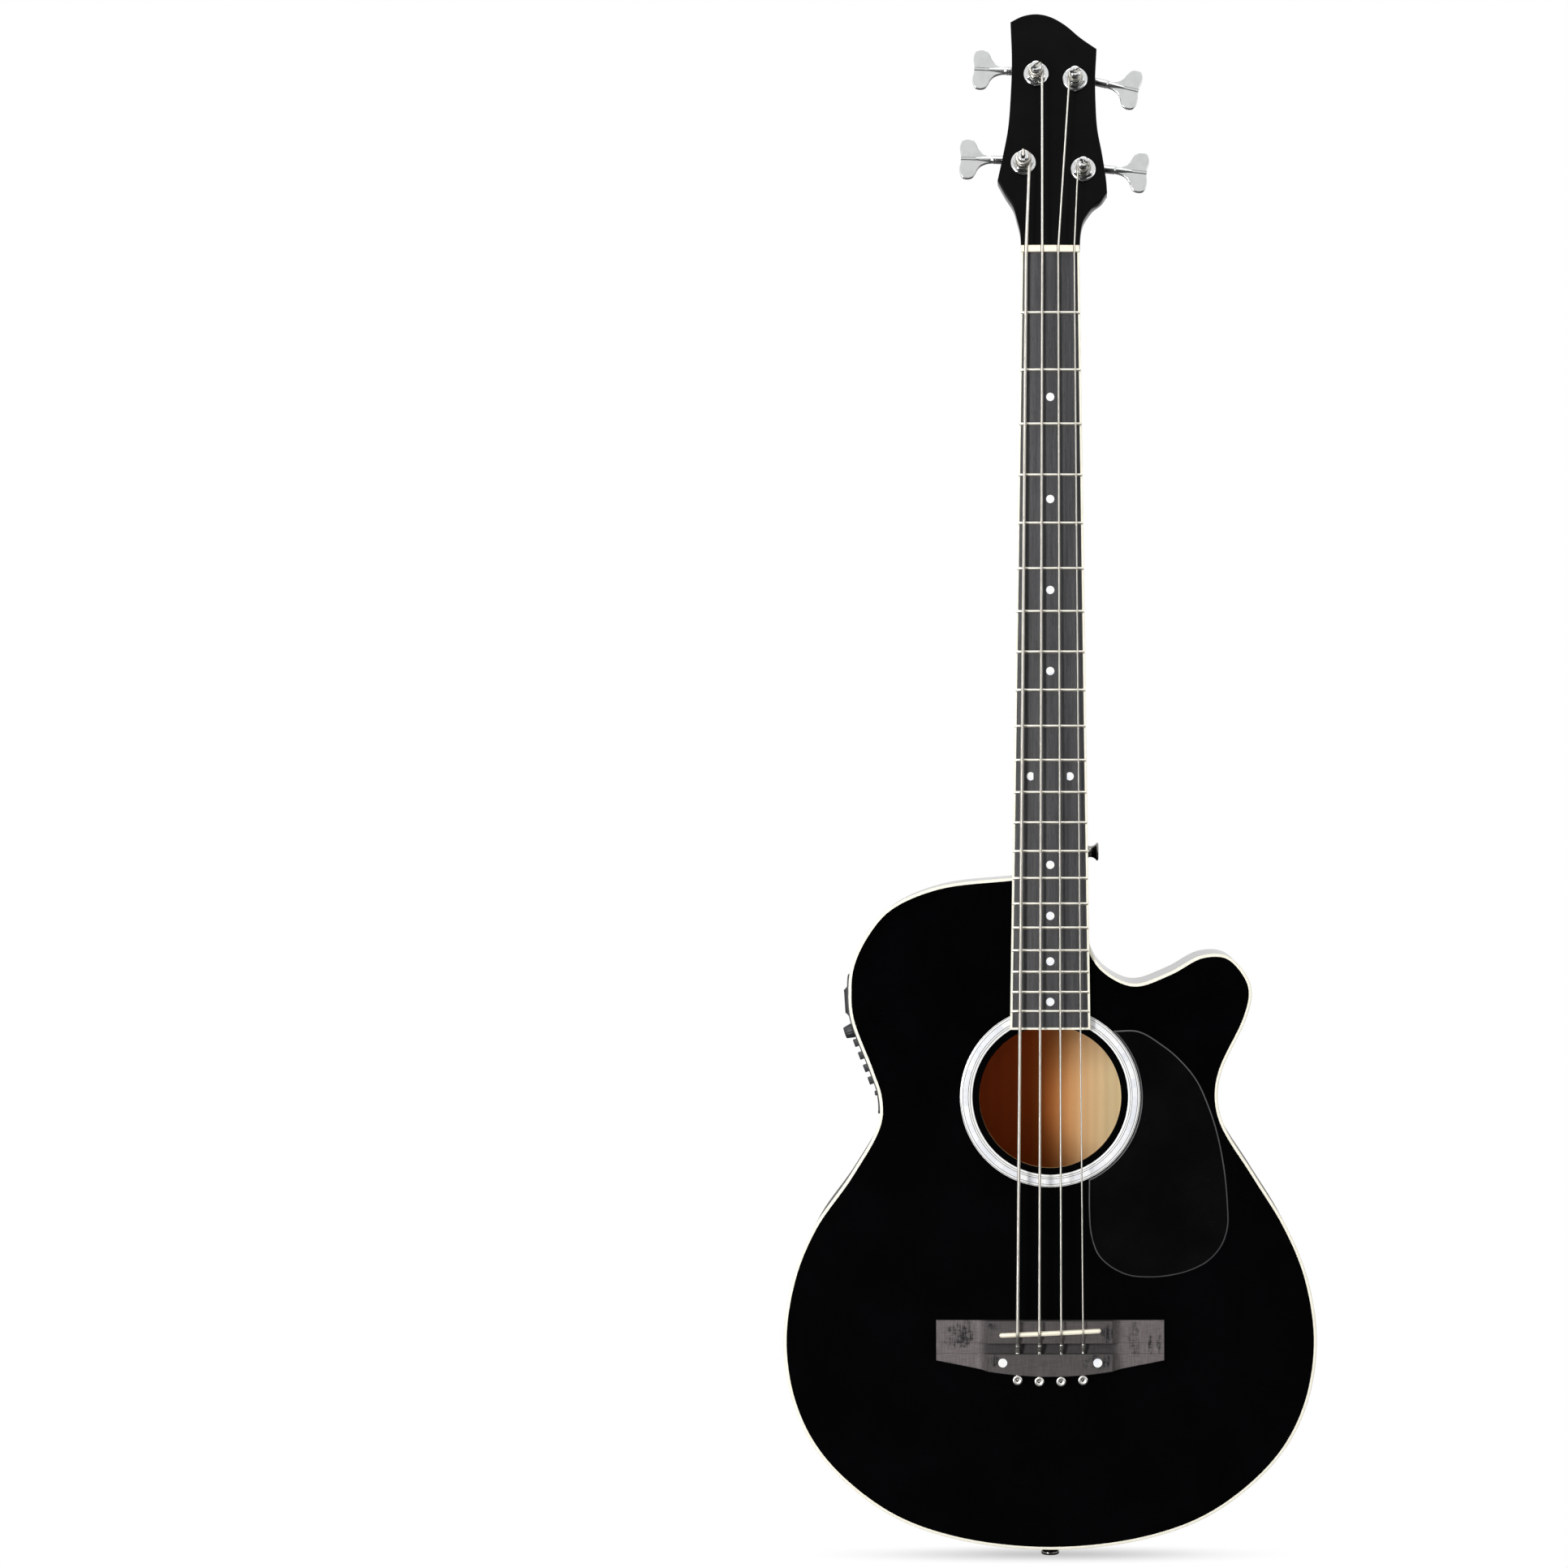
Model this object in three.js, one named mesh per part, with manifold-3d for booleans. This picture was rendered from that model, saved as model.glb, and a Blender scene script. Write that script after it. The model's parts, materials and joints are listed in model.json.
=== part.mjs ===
// Acoustic bass guitar with a cutaway, in millimetres.
// +Z runs up along the neck, +X is the treble side, and the soundboard looks towards -Y.
// Inside this file Y is the depth behind the front face of the soundboard, and Z the height above the lowest
// point. The whole guitar is then moved so that its origin is where a hanger's yoke holds the neck.
import * as THREE from 'three';
import { mergeVertices } from 'three/addons/utils/BufferGeometryUtils.js';
import Module from 'manifold-3d';

const wasm = await Module();
wasm.setup();

// Fits
const seat = 0.3;            // gap between two pieces that are glued or seated
const running = 0.4;         // gap round a piece that turns or slides
const overrun = 3;           // how far a cutter runs past what it cuts
const weldDistance = 0.0001; // vertices nearer than this are one vertex

// Strings
const scaleLength = 812.8;
const stringDiameters = { e: 2.5, a: 2.0, d: 1.5, g: 1.1 };
const nutSpread = 36;        // outer string to outer string at the nut
const saddleSpread = 49.2;   // the same at the saddle
const stringSides = 6;
const firstFretAction = 0.6; // string above the first fret
const ballDiameter = 7;
const ballWidth = 4;
const ballBore = 2.4;

// Body
const bodyLength = 507;
const bodyWidth = 402;
const tailDepth = 96;        // depth of the edge at the tail
const heelDepth = 84;        // depth of the edge at the neck
const backArch = 5;          // rise of the middle of the back over its edges
const topThickness = 3;
const backThickness = 3;
const sideThickness = 2.2;
const bindingHeight = 6;
const liningWidth = 5.5;
const liningHeight = 14;
const archSteps = 8;

// Soundhole and rosette
const soundholeDiameter = 107;
const soundholeDrop = 165.5; // from the top of the body down to its middle
const saddleDrop = 176.8;    // from the middle of the soundhole down to the saddle
const rosetteMargin = 5.25;  // from the soundhole's edge
const rosetteWidth = 9.25;
const rosetteThickness = 1.2;
const roundSteps = 32;

// Pickguard
const pickguardWidth = 134;  // from the middle of the soundhole outwards
const pickguardDrop = 136;   // from the middle of the soundhole downwards
const pickguardThickness = 1.2;
const pickguardMargin = 0.8; // from the rosette
const pickguardStartDegrees = 46.5; // round the rosette, from the treble side
const pickguardEndDegrees = -65;

// Bracing and blocks
const braceWidth = 8;
const braceHeight = 12;
const braceCrossing = 84.8;  // above the saddle
const braceSpread = 88;      // degrees between the two arms
const backBraceHeight = 13;
const backBraceWidth = 10;
const upperBackBraceDrop = 14.4; // below the floor of the cutaway
const lowerBackBraceDrop = 284.5; // below the top of the body
const bridgePlateWidth = 92;
const bridgePlateLength = 46;
const bridgePlateThickness = 2.5;
const neckBlockLength = 58;
const neckBlockWidth = 62;
const tailBlockLength = 20;
const tailBlockWidth = 84;

// Neck
const nutWidth = 44;
const boardEndWidth = 60.5;
const boardThickness = 7;
const boardCamber = 400;     // radius across the fingerboard
const boardMargin = 2.5;     // from the fingerboard's end to the edge of the soundhole
const boardBinding = 1.7;
const nutThickness = 5;
const nutRise = 3;           // nut above the fingerboard
const neckDepth = 16;        // neck below the fingerboard at the nut
const neckHeelDepth = 18;    // and where the heel starts
const heelLength = 78;
const heelProud = 1;         // heel behind the edge of the body
const neckSteps = 8;

// Frets
const fretHeight = 1.1;
const fretWidth = 2.4;
const fretCrown = 1.2;

// Truss rod
const rodDiameter = 5;
const rodTopGap = 35;        // from the nut to the upper end
const rodNutDiameter = 8;
const rodNutLength = 24;
const rodKeySize = 4;        // across the flats of the socket
const rodKeyDepth = 12;
const rodOverlap = 14;       // of the rod into the neck block

// Headstock
const headLength = 183;
const headWidth = 86;
const headThickness = 15;
const headTilt = 9;          // degrees
const headBlend = 20;        // over which the neck runs into the headstock

// Tuners
const gearModule = 0.75;
const wheelTeeth = 16;
const wheelWidth = 5;
const wormPitchRadius = 2.6;
const wormLength = 6;
const wormSteps = 8;
const toothClearance = 0.2;
const postRadius = 4.2;      // in the bushing and at the slotted tip
const postWaistRadius = 3.2; // where the string winds
const postTipLength = 3.5;
const postSlotWidth = 2.8;
const postSlotDepth = 3;
const windingFloor = 7.3;    // lowest the windings lie in front of the headstock
const washerDiameter = 19.3;
const washerThickness = 2;
const hexSize = 13.4;
const hexHeight = 3.7;
const sleeveWall = 1.2;
const housingWall = 1.5;
const housingWidth = 17;
const keyStemRadius = 3.5;
const keyShaftRadius = 2;
const keyRingRadius = 4.3;
const keyRingWidth = 1.6;
const keyInner = 23;         // from the post to the near edge of the key
const keyLength = 25.8;
const keyWidth = 31.8;
const keyThickness = 3.6;
const keyBevel = 1;

// Windings
const windingGap = 0.5;
const loopSteps = 24;
const turnSteps = 12;        // sides of a small turned piece
const shaftSteps = 8;        // sides of a thin shaft
const windingTurns = { e: 1, a: 1, d: 1.25, g: 1.5 };
const fixedTurn = 285;       // degrees of the last turn that hold still

// Bridge
const bridgeWidth = 171.8;
const bridgeBlockWidth = 93.4;
const bridgeEndLength = 30.2;
const bridgeShoulderLength = 37.9;
const bridgeLength = 41.8;
const bridgeFront = 8.8;     // from the saddle to the front edge
const wingHeight = 3.2;
const blockHeight = 9.2;
const scoopLength = 9;
const scoopSteps = 4;
const channelStart = 8;      // from the saddle to the string channel
const channelLength = 8;
const channelFloor = 3.5;
const stringHoleHeight = 6.6;
const stringHoleGap = 0.4;
const saddleLength = 76.6;
const saddleThickness = 3.2;
const saddleRise = 13.6;     // above the soundboard
const saddleEase = 1.2;      // fall of the rounded top towards the strings' holes
const saddleSlant = 2.6;     // degrees
const saddleSlotFloor = 3.5;
const pickupThickness = 1.2;
const pickupWidth = 2.4;
const pickupLength = 70;

// Preamp in the bass side
const preampDrop = 74.9;     // below the top of the body
const preampLength = 105.3;
const preampDepth = 44;      // middle, behind the soundboard's front
const bezelWidth = 44;
const bezelThickness = 2;
const caseWidth = 35;
const caseDepth = 28;
const caseMargin = 4;        // bezel beyond the case at both ends
const drawerPlace = 19.9;    // below the top of the bezel, as the next four
const knobPlace = 41.4;
const firstSliderPlace = 50.8;
const buttonPlace = 90.3;
const sliderPitch = 9.6;
const sliderCount = 4;
const sliderTravel = 14;
const sliderCapWidth = 6;
const sliderCapLength = 5;
const sliderCapHeight = 4;
const sliderStem = 1.6;
const sliderStemDepth = 4;
const knobDiameter = 11;
const knobTopDiameter = 8;
const knobHeight = 7.5;
const knobShaftRadius = 2.8;
const knobShaftDepth = 6;
const knobForward = 7;       // nearer the soundboard than the sliders
const knobRibs = 18;
const knobRibDepth = 0.4;
const buttonDiameter = 3.7;
const buttonHeight = 2.5;
const buttonDepth = 4;
const buttonTravel = 1;
const drawerFaceLength = 22.5;
const drawerFaceWidth = 32;
const drawerFaceProud = 3;
const batteryLength = 48.5;
const batteryWidth = 26.5;
const batteryThickness = 17.5;
const trayWall = 1.2;
const caseWall = 1.5;
const drawerFaceDepth = 3;   // of the drawer's face behind the side's surface
const batteryTerminal = 2;

// Strap buttons and output jack
const buttonFlange = 13.7;
const flangeThickness = 2.5;
const strapNeckDiameter = 8.5;
const strapButtonLength = 10.7;
const strapBaseDiameter = 11;
const strapScrewRadius = 2;
const strapScrewLength = 18;
const strapSeatSink = 2.4;   // of the button into the heel's round side
const strapButtonRise = 19;  // above the top of the body
const strapButtonDepth = 25;
const jackProud = 12.2;
const jackBarrelRadius = 5.2;
const jackBarrelLength = 33;
const jackBoreRadius = 3.4;
const jackBoreDepth = 40;
const jackDepth = 50;

// Lowest point of the cutaway, as a share of the body's length
const cutawayFloorShare = 0.842;

// Outline of the body, as shares of half the width and of the length, from the cutaway round to the neck
const outlineShares = [
  [0.14, 0.925], [0.154, 0.892], [0.203, 0.863], [0.313, cutawayFloorShare], [0.447, 0.859],
  [0.569, 0.884],
  [0.666, 0.883], [0.739, 0.852], [0.756, 0.827], [0.734, 0.789], [0.643, 0.712], [0.628, 0.673],
  [0.649, 0.634], [0.768, 0.557], [0.887, 0.48], [0.966, 0.403], [1, 0.305], [0.957, 0.209],
  [0.847, 0.132], [0.616, 0.055], [0.363, 0.0164], [0, 0], [-0.363, 0.0164], [-0.616, 0.055],
  [-0.847, 0.132], [-0.957, 0.209], [-1, 0.305], [-0.966, 0.403], [-0.886, 0.48], [-0.751, 0.557],
  [-0.645, 0.634], [-0.643, 0.673], [-0.675, 0.712], [-0.748, 0.789], [-0.757, 0.827], [-0.748, 0.866],
  [-0.698, 0.911], [-0.607, 0.954], [-0.424, 0.986], [-0.134, 1],
];
const neckCornerShare = 0.134;
const stepsPerShare = 2;

// Headstock, as shares of half its width and of its length, up the bass side, over the top and down
const headShares = [
  [[-0.515, 0], [-0.53, 0.06], [-0.585, 0.115], [-0.655, 0.17], [-0.8, 0.226], [-0.928, 0.282]],
  [[-0.928, 0.282], [-0.83, 0.393], [-0.745, 0.505], [-0.7, 0.645], [-0.68, 0.8], [-0.705, 0.965]],
  [[-0.705, 0.965], [-0.5, 0.99], [-0.25, 1], [0, 0.988], [0.26, 0.953], [0.53, 0.898], [0.82, 0.849]],
  [[0.82, 0.849], [0.795, 0.73], [0.8, 0.62], [0.83, 0.505], [0.915, 0.393], [0.985, 0.282], [1, 0.232]],
  [[1, 0.232], [0.9, 0.198], [0.755, 0.171], [0.66, 0.142], [0.58, 0.108], [0.535, 0.06], [0.52, 0]],
];

// Pickguard's free edge, as shares of its width and its drop, from the top round to the bottom
const pickguardShares = [
  [0.498, 0.365], [0.633, 0.288], [0.722, 0.216], [0.822, 0.099], [0.886, -0.034], [0.941, -0.198],
  [0.982, -0.405], [1, -0.6], [1, -0.72], [0.963, -0.828], [0.886, -0.912], [0.776, -0.966],
  [0.644, -0.995], [0.534, -1], [0.434, -0.9875], [0.334, -0.939], [0.267, -0.873], [0.228, -0.765],
  [0.217, -0.635],
];

// Heel seen from the side: share of its length, and share of its extra depth there
const heelShares = [[0, 1], [0.1, 0.965], [0.22, 0.84], [0.36, 0.62], [0.52, 0.38], [0.7, 0.17],
  [0.86, 0.05], [1, 0]];

// Key seen from the front: share of its length, and share of half its width
const keyShares = [
  [0, 0.17], [0.18, 0.21], [0.34, 0.32], [0.45, 0.5], [0.53, 0.76], [0.62, 0.94], [0.76, 1],
  [0.9, 0.95], [0.985, 0.72], [1, 0.4],
];

// Tuners: shares of half the headstock's width and of its length, side of the key, and cant in degrees
const tunerShares = [
  { string: 'e', across: -0.474, along: 0.355, side: -1, cant: 1.5 },
  { string: 'a', across: -0.249, along: 0.737, side: -1, cant: 3 },
  { string: 'd', across: 0.437, along: 0.715, side: 1, cant: 13 },
  { string: 'g', across: 0.579, along: 0.327, side: 1, cant: 6 },
];

// Values that follow from the sizes
const radians = THREE.MathUtils.degToRad;
const tailHeight = jackProud + seat;
const halfWidth = bodyWidth / 2;
const bodyTop = tailHeight + bodyLength;
const cutawayFloor = tailHeight + cutawayFloorShare * bodyLength;
const soundholeHeight = bodyTop - soundholeDrop;
const saddleHeight = soundholeHeight - saddleDrop;
const rosetteInner = soundholeDiameter + 2 * rosetteMargin;
const rosetteOuter = rosetteInner + 2 * rosetteWidth;
const boardEnd = soundholeHeight + soundholeDiameter / 2 - boardMargin;
const heelReach = heelDepth + heelProud;
const strapButtonHeight = bodyTop + strapButtonRise;
const preampTop = bodyTop - preampDrop;
const nutFront = saddleHeight + scaleLength;
const nutBack = nutFront + nutThickness;
const boardTop = seat + boardThickness;
const headStart = nutBack + seat;
const rodDepth = bindingHeight + seat + running + rodDiameter / 2; // clears the binding
const yokeHeight = headStart + headBlend / 2;
const yokeDepth = neckDepth / 2;
const wheelRadius = gearModule * wheelTeeth / 2;
const lead = Math.PI * gearModule;
const gearSpacing = wheelRadius + wormPitchRadius;
const wormTip = wormPitchRadius + gearModule * 0.8;
const wormRoot = wormPitchRadius - gearModule;
const gearDepth = headThickness + seat + housingWall + running + wormTip;
const sleeveRadius = postRadius + running + sleeveWall;
const windingHeights = Object.entries(stringDiameters).map(([name, diameter]) => (
  diameter + (diameter + windingGap) * (windingTurns[name] + 1)));
const waistTop = windingFloor + seat + Math.max(...windingHeights) + running;
const postLength = waistTop + postTipLength; // in front of the headstock

const tunerPlaces = tunerShares.map(({ across, along, ...rest }) => (
  { ...rest, across: across * headWidth / 2, along: along * headLength }));

// Colours
const finishes = {
  gloss: { color: 0x0c0c0e, roughness: 0.25, metalness: 0 },
  headGloss: { color: 0x151517, roughness: 0.3, metalness: 0 },
  ivory: { color: 0xf0eee1, roughness: 0.45, metalness: 0 },
  bone: { color: 0xfbf1da, roughness: 0.4, metalness: 0 },
  darkWood: { color: 0x3f3a3a, roughness: 0.55, metalness: 0 },
  paleWood: { color: 0xc9a06a, roughness: 0.65, metalness: 0 },
  pearl: { color: 0xd9dadd, roughness: 0.3, metalness: 0 },
  plastic: { color: 0x17171a, roughness: 0.45, metalness: 0 },
  chrome: { color: 0xe1e4e4, roughness: 0.12, metalness: 1 },
  nickel: { color: 0x6c6a66, roughness: 0.3, metalness: 1 },
  steel: { color: 0x9b9c9e, roughness: 0.4, metalness: 1 },
  brass: { color: 0xc9a45a, roughness: 0.35, metalness: 1 },
  windings: { color: 0xcfccc2, roughness: 0.35, metalness: 1 },
  label: { color: 0x30343c, roughness: 0.5, metalness: 0 },
};

// One closed surface with shared vertices and its faces pointing out
function weld(geometry) {
  const plain = geometry.index ? geometry.toNonIndexed() : geometry.clone();
  for (const name of Object.keys(plain.attributes)) if (name !== 'position') plain.deleteAttribute(name);
  const merged = mergeVertices(plain, weldDistance);
  const place = merged.attributes.position;
  const index = [];
  for (let i = 0; i < merged.index.count; i += 3) {
    const [a, b, c] = [merged.index.getX(i), merged.index.getX(i + 1), merged.index.getX(i + 2)];
    if (a !== b && b !== c && c !== a) index.push(a, b, c);
  }
  const corner = [new THREE.Vector3(), new THREE.Vector3(), new THREE.Vector3()];
  let volume = 0;
  for (let i = 0; i < index.length; i += 3) {
    corner.forEach((point, k) => point.fromBufferAttribute(place, index[i + k]));
    volume += corner[0].dot(corner[1].clone().cross(corner[2]));
  }
  if (volume < 0) index.reverse();
  merged.setIndex(index);
  return merged;
}

function toSolid(geometry) {
  const welded = weld(geometry);
  return new wasm.Manifold(new wasm.Mesh({
    numProp: 3,
    vertProperties: new Float32Array(welded.attributes.position.array),
    triVerts: new Uint32Array(welded.index.array),
  }));
}

function toGeometry(solid) {
  const mesh = solid.getMesh();
  const geometry = new THREE.BufferGeometry();
  geometry.setAttribute('position', new THREE.BufferAttribute(mesh.vertProperties, 3));
  geometry.setIndex(new THREE.BufferAttribute(mesh.triVerts, 1));
  return geometry;
}

function cut(geometry, ...tools) {
  return toGeometry(tools.reduce((left, tool) => left.subtract(toSolid(tool)), toSolid(geometry)));
}

function join(geometry, ...others) {
  return toGeometry(others.reduce((sum, other) => sum.add(toSolid(other)), toSolid(geometry)));
}

function common(geometry, ...others) {
  return toGeometry(others.reduce((sum, other) => sum.intersect(toSolid(other)), toSolid(geometry)));
}

const anticlockwise = (points) => (THREE.ShapeUtils.isClockWise(points) ? [...points].reverse() : points);

// Extrusions: an outline seen from the front, from the side or from above
function frontPlate(points, nearY, farY, holes = []) {
  const shape = new THREE.Shape(anticlockwise(points));
  holes.forEach((hole) => shape.holes.push(new THREE.Path(hole)));
  const geometry = new THREE.ExtrudeGeometry(shape, { depth: farY - nearY, bevelEnabled: false });
  return geometry.rotateX(Math.PI / 2).translate(0, farY, 0);
}

function sidePlate(points, lowX, highX) {
  const geometry = new THREE.ExtrudeGeometry(new THREE.Shape(points),
    { depth: highX - lowX, bevelEnabled: false });
  const turn = new THREE.Matrix4().makeBasis(
    new THREE.Vector3(0, 1, 0), new THREE.Vector3(0, 0, 1), new THREE.Vector3(1, 0, 0));
  return geometry.applyMatrix4(turn).translate(lowX, 0, 0);
}

function plan(points, lowZ, highZ) {
  const geometry = new THREE.ExtrudeGeometry(new THREE.Shape(points),
    { depth: highZ - lowZ, bevelEnabled: false });
  return geometry.translate(0, 0, lowZ);
}

function block(lowX, highX, nearY, farY, lowZ, highZ) {
  return new THREE.BoxGeometry(highX - lowX, farY - nearY, highZ - lowZ)
    .translate((lowX + highX) / 2, (nearY + farY) / 2, (lowZ + highZ) / 2);
}

// A turned piece: the profile holds [radius, place along the axis], and axis is 'x', 'y' or 'z'
function turned(profile, axis, steps) {
  const geometry = new THREE.LatheGeometry(profile.map(([r, h]) => new THREE.Vector2(r, h)), steps);
  if (axis === 'x') geometry.rotateZ(-Math.PI / 2);
  if (axis === 'z') geometry.rotateX(Math.PI / 2);
  return geometry;
}

function rod(radius, low, high, axis, steps) {
  return turned([[0, low], [radius, low], [radius, high], [0, high]], axis, steps);
}

// A skin over rings of equally many points, closed by a flat end at both ends
function loft(rings) {
  const count = rings[0].length;
  const position = rings.flat().flatMap((point) => [point.x, point.y, point.z]);
  const index = [];
  for (let i = 0; i + 1 < rings.length; i += 1) {
    for (let j = 0; j < count; j += 1) {
      const [a, b] = [i * count + j, i * count + (j + 1) % count];
      index.push(a, b, b + count, a, b + count, a + count);
    }
  }
  const last = (rings.length - 1) * count;
  for (let j = 1; j + 1 < count; j += 1) index.push(0, j + 1, j, last, last + j, last + j + 1);
  const geometry = new THREE.BufferGeometry();
  geometry.setAttribute('position', new THREE.Float32BufferAttribute(position, 3));
  geometry.setIndex(index);
  return geometry;
}

// A tube of even radius whose rings stand square to the run of its points
function tube(points, radius, sides) {
  const direction = points.map((point, i) => {
    const before = points[Math.max(i - 1, 0)];
    const after = points[Math.min(i + 1, points.length - 1)];
    return point.clone().sub(before).normalize().add(after.clone().sub(point).normalize()).normalize();
  });
  const start = Math.abs(direction[0].y) < 0.9 ? new THREE.Vector3(0, 1, 0) : new THREE.Vector3(1, 0, 0);
  let across = start.cross(direction[0]).normalize();
  return loft(points.map((point, i) => {
    across = across.clone().addScaledVector(direction[i], -across.dot(direction[i])).normalize();
    const upward = direction[i].clone().cross(across);
    return Array.from({ length: sides }, (_, j) => {
      const angle = 2 * Math.PI * j / sides;
      return point.clone().addScaledVector(across, radius * Math.cos(angle))
        .addScaledVector(upward, radius * Math.sin(angle));
    });
  }));
}

function arc(centreX, centreY, radius, from, to, steps) {
  return Array.from({ length: steps + 1 }, (_, i) => {
    const angle = radians(from + (to - from) * i / steps);
    return new THREE.Vector2(centreX + radius * Math.cos(angle), centreY + radius * Math.sin(angle));
  });
}

function smooth(points, steps) {
  const curve = new THREE.CatmullRomCurve3(points.map(([x, y]) => new THREE.Vector3(x, y, 0)), false,
    'centripetal');
  return curve.getPoints((points.length - 1) * steps).map((point) => new THREE.Vector2(point.x, point.y));
}

// The outline moved inwards (or outwards, below 0) by an even distance
function inset(points, distance) {
  return points.map((point, i) => {
    const before = point.clone().sub(points.at(i - 1)).normalize();
    const after = points[(i + 1) % points.length].clone().sub(point).normalize();
    const inward = new THREE.Vector2(before.y + after.y, -before.x - after.x).normalize();
    return point.clone().addScaledVector(inward,
      distance / Math.max(inward.dot(new THREE.Vector2(before.y, -before.x)), 0.5));
  });
}

// Body outline, clockwise from the cutaway
const outline = [
  ...smooth(outlineShares.map(([x, z]) => [x * halfWidth, tailHeight + z * bodyLength]), stepsPerShare),
  new THREE.Vector2(neckCornerShare * halfWidth, bodyTop),
];

function ring(outside, inside, nearY, farY) {
  return frontPlate(inset(outline, outside), nearY, farY, [inset(outline, inside)]);
}

// Everything behind the arched, leaning outer face of the back, moved by an offset
function behindBack(offset) {
  const reach = halfWidth + overrun;
  const far = 3 * tailDepth;
  const face = Array.from({ length: archSteps + 1 }, (_, i) => {
    const x = reach * (2 * i / archSteps - 1);
    return new THREE.Vector2(x, tailDepth + backArch * (1 - (x / reach) ** 2) + offset);
  });
  const slope = (heelDepth - tailDepth) / bodyLength;
  const solid = plan([...face, new THREE.Vector2(reach, far), new THREE.Vector2(-reach, far)], -overrun,
    bodyLength + overrun);
  return solid.applyMatrix4(new THREE.Matrix4().makeShear(0, 0, 0, 0, 0, slope))
    .translate(0, 0, tailHeight);
}

// Inner places that several pieces share
const innerFace = sideThickness + seat;
const liningInner = innerFace + liningWidth;
const belowTop = topThickness + seat;
const aboveBack = -backThickness - seat;

function soundboard() {
  const hole = arc(0, soundholeHeight, soundholeDiameter / 2, 0, 360, roundSteps).slice(0, -1);
  const groove = (diameter, gap) => arc(0, soundholeHeight, diameter / 2 + gap, 0, 360, roundSteps)
    .slice(0, -1);
  const plate = frontPlate(inset(outline, innerFace), 0, topThickness, [hole]);
  return cut(plate, frontPlate(groove(rosetteOuter, seat), -overrun, rosetteThickness + seat,
    [groove(rosetteInner, -seat)]));
}

function rosette() {
  const circle = (diameter) => arc(0, soundholeHeight, diameter / 2, 0, 360, roundSteps).slice(0, -1);
  return frontPlate(circle(rosetteOuter), 0, rosetteThickness, [circle(rosetteInner)]);
}

function back() {
  const plate = frontPlate(inset(outline, innerFace), 0, 2 * tailDepth - overrun);
  return cut(common(plate, behindBack(-backThickness)), behindBack(0));
}

function backBinding() {
  return cut(common(ring(0, sideThickness, 0, 2 * tailDepth - overrun), behindBack(-bindingHeight)),
    behindBack(0));
}

function sides() {
  const wall = cut(ring(0, sideThickness, bindingHeight + seat, 2 * tailDepth - overrun),
    behindBack(-bindingHeight - seat));
  const jackHole = rod(jackBarrelRadius + running, tailHeight - overrun, tailHeight + overrun * 2, 'z',
    loopSteps).translate(0, jackDepth, 0);
  return cut(wall, caseWindow(), jackHole, rodBore());
}

// Opening in the side that the preamp case fills
function caseWindow() {
  const { low, high, inward } = caseLine();
  const past = high.clone().sub(low).setLength(running);
  const [bottom, top] = [low.sub(past), high.add(past)];
  const corner = (end, share) => end.clone().addScaledVector(inward, share);
  return frontPlate([corner(bottom, -1), corner(top, -1), corner(top, 1), corner(bottom, 1)],
    preampDepth - caseWidth / 2 - running, preampDepth + caseWidth / 2 + running);
}

function topLining() {
  return cut(ring(innerFace, liningInner, belowTop, belowTop + liningHeight), rodBore());
}

function backLining() {
  const strip = ring(innerFace, liningInner, 0, 2 * tailDepth - overrun);
  return cut(common(strip, behindBack(aboveBack - liningHeight)), behindBack(aboveBack));
}

// A block in the space between top and back, notched round both linings
function innerBlock(lowX, highX, lowZ, highZ) {
  const blank = common(block(lowX, highX, belowTop, 2 * tailDepth, lowZ, highZ),
    frontPlate(inset(outline, innerFace), belowTop, 2 * tailDepth - overrun));
  const notch = ring(innerFace - overrun / 2, liningInner + seat, 0, belowTop + liningHeight + seat);
  const backNotch = common(ring(innerFace - overrun / 2, liningInner + seat, 0, 2 * tailDepth - overrun),
    behindBack(aboveBack - liningHeight - seat));
  return cut(blank, notch, backNotch, behindBack(aboveBack));
}

// Bore of the truss rod through what lies between the body and the heel
function rodBore() {
  return rod(rodDiameter / 2 + running, bodyTop - neckBlockLength, bodyTop + overrun, 'z', turnSteps)
    .translate(0, rodDepth, 0);
}

function neckBlock() {
  const solid = innerBlock(-neckBlockWidth / 2, neckBlockWidth / 2, bodyTop - neckBlockLength, bodyTop);
  const wide = rod(rodNutDiameter / 2 + running, bodyTop - neckBlockLength - overrun,
    bodyTop - rodOverlap + overrun, 'z', turnSteps);
  return cut(solid, wide.translate(0, rodDepth, 0), rodBore());
}

function tailBlock() {
  const solid = innerBlock(-tailBlockWidth / 2, tailBlockWidth / 2, tailHeight,
    tailHeight + tailBlockLength);
  return cut(solid, rod(jackBarrelRadius + running, 0, tailHeight + tailBlockLength + overrun, 'z',
    loopSteps)
    .translate(0, jackDepth, 0));
}

function insideBody(nearY, farY) {
  return frontPlate(inset(outline, liningInner + seat), nearY, farY);
}

function xBrace() {
  const centre = saddleHeight + braceCrossing;
  const arm = (angle) => block(-bodyWidth, bodyWidth, belowTop, belowTop + braceHeight, -braceWidth / 2,
    braceWidth / 2)
    .rotateY(radians(angle)).translate(0, 0, centre);
  const both = join(arm(90 - braceSpread / 2), arm(braceSpread / 2 - 90));
  const upper = soundholeHeight + soundholeDiameter / 2;
  const lower = tailHeight + tailBlockLength + seat;
  return common(both, insideBody(belowTop, belowTop + braceHeight),
    block(-halfWidth, halfWidth, 0, tailDepth, lower, upper));
}

function backBrace(height) {
  const bar = block(-halfWidth, halfWidth, 0, 2 * tailDepth - overrun, height - backBraceWidth / 2,
    height + backBraceWidth / 2);
  const trimmed = common(bar, insideBody(0, 2 * tailDepth - overrun),
    behindBack(aboveBack - backBraceHeight));
  return cut(trimmed, behindBack(aboveBack));
}

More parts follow.
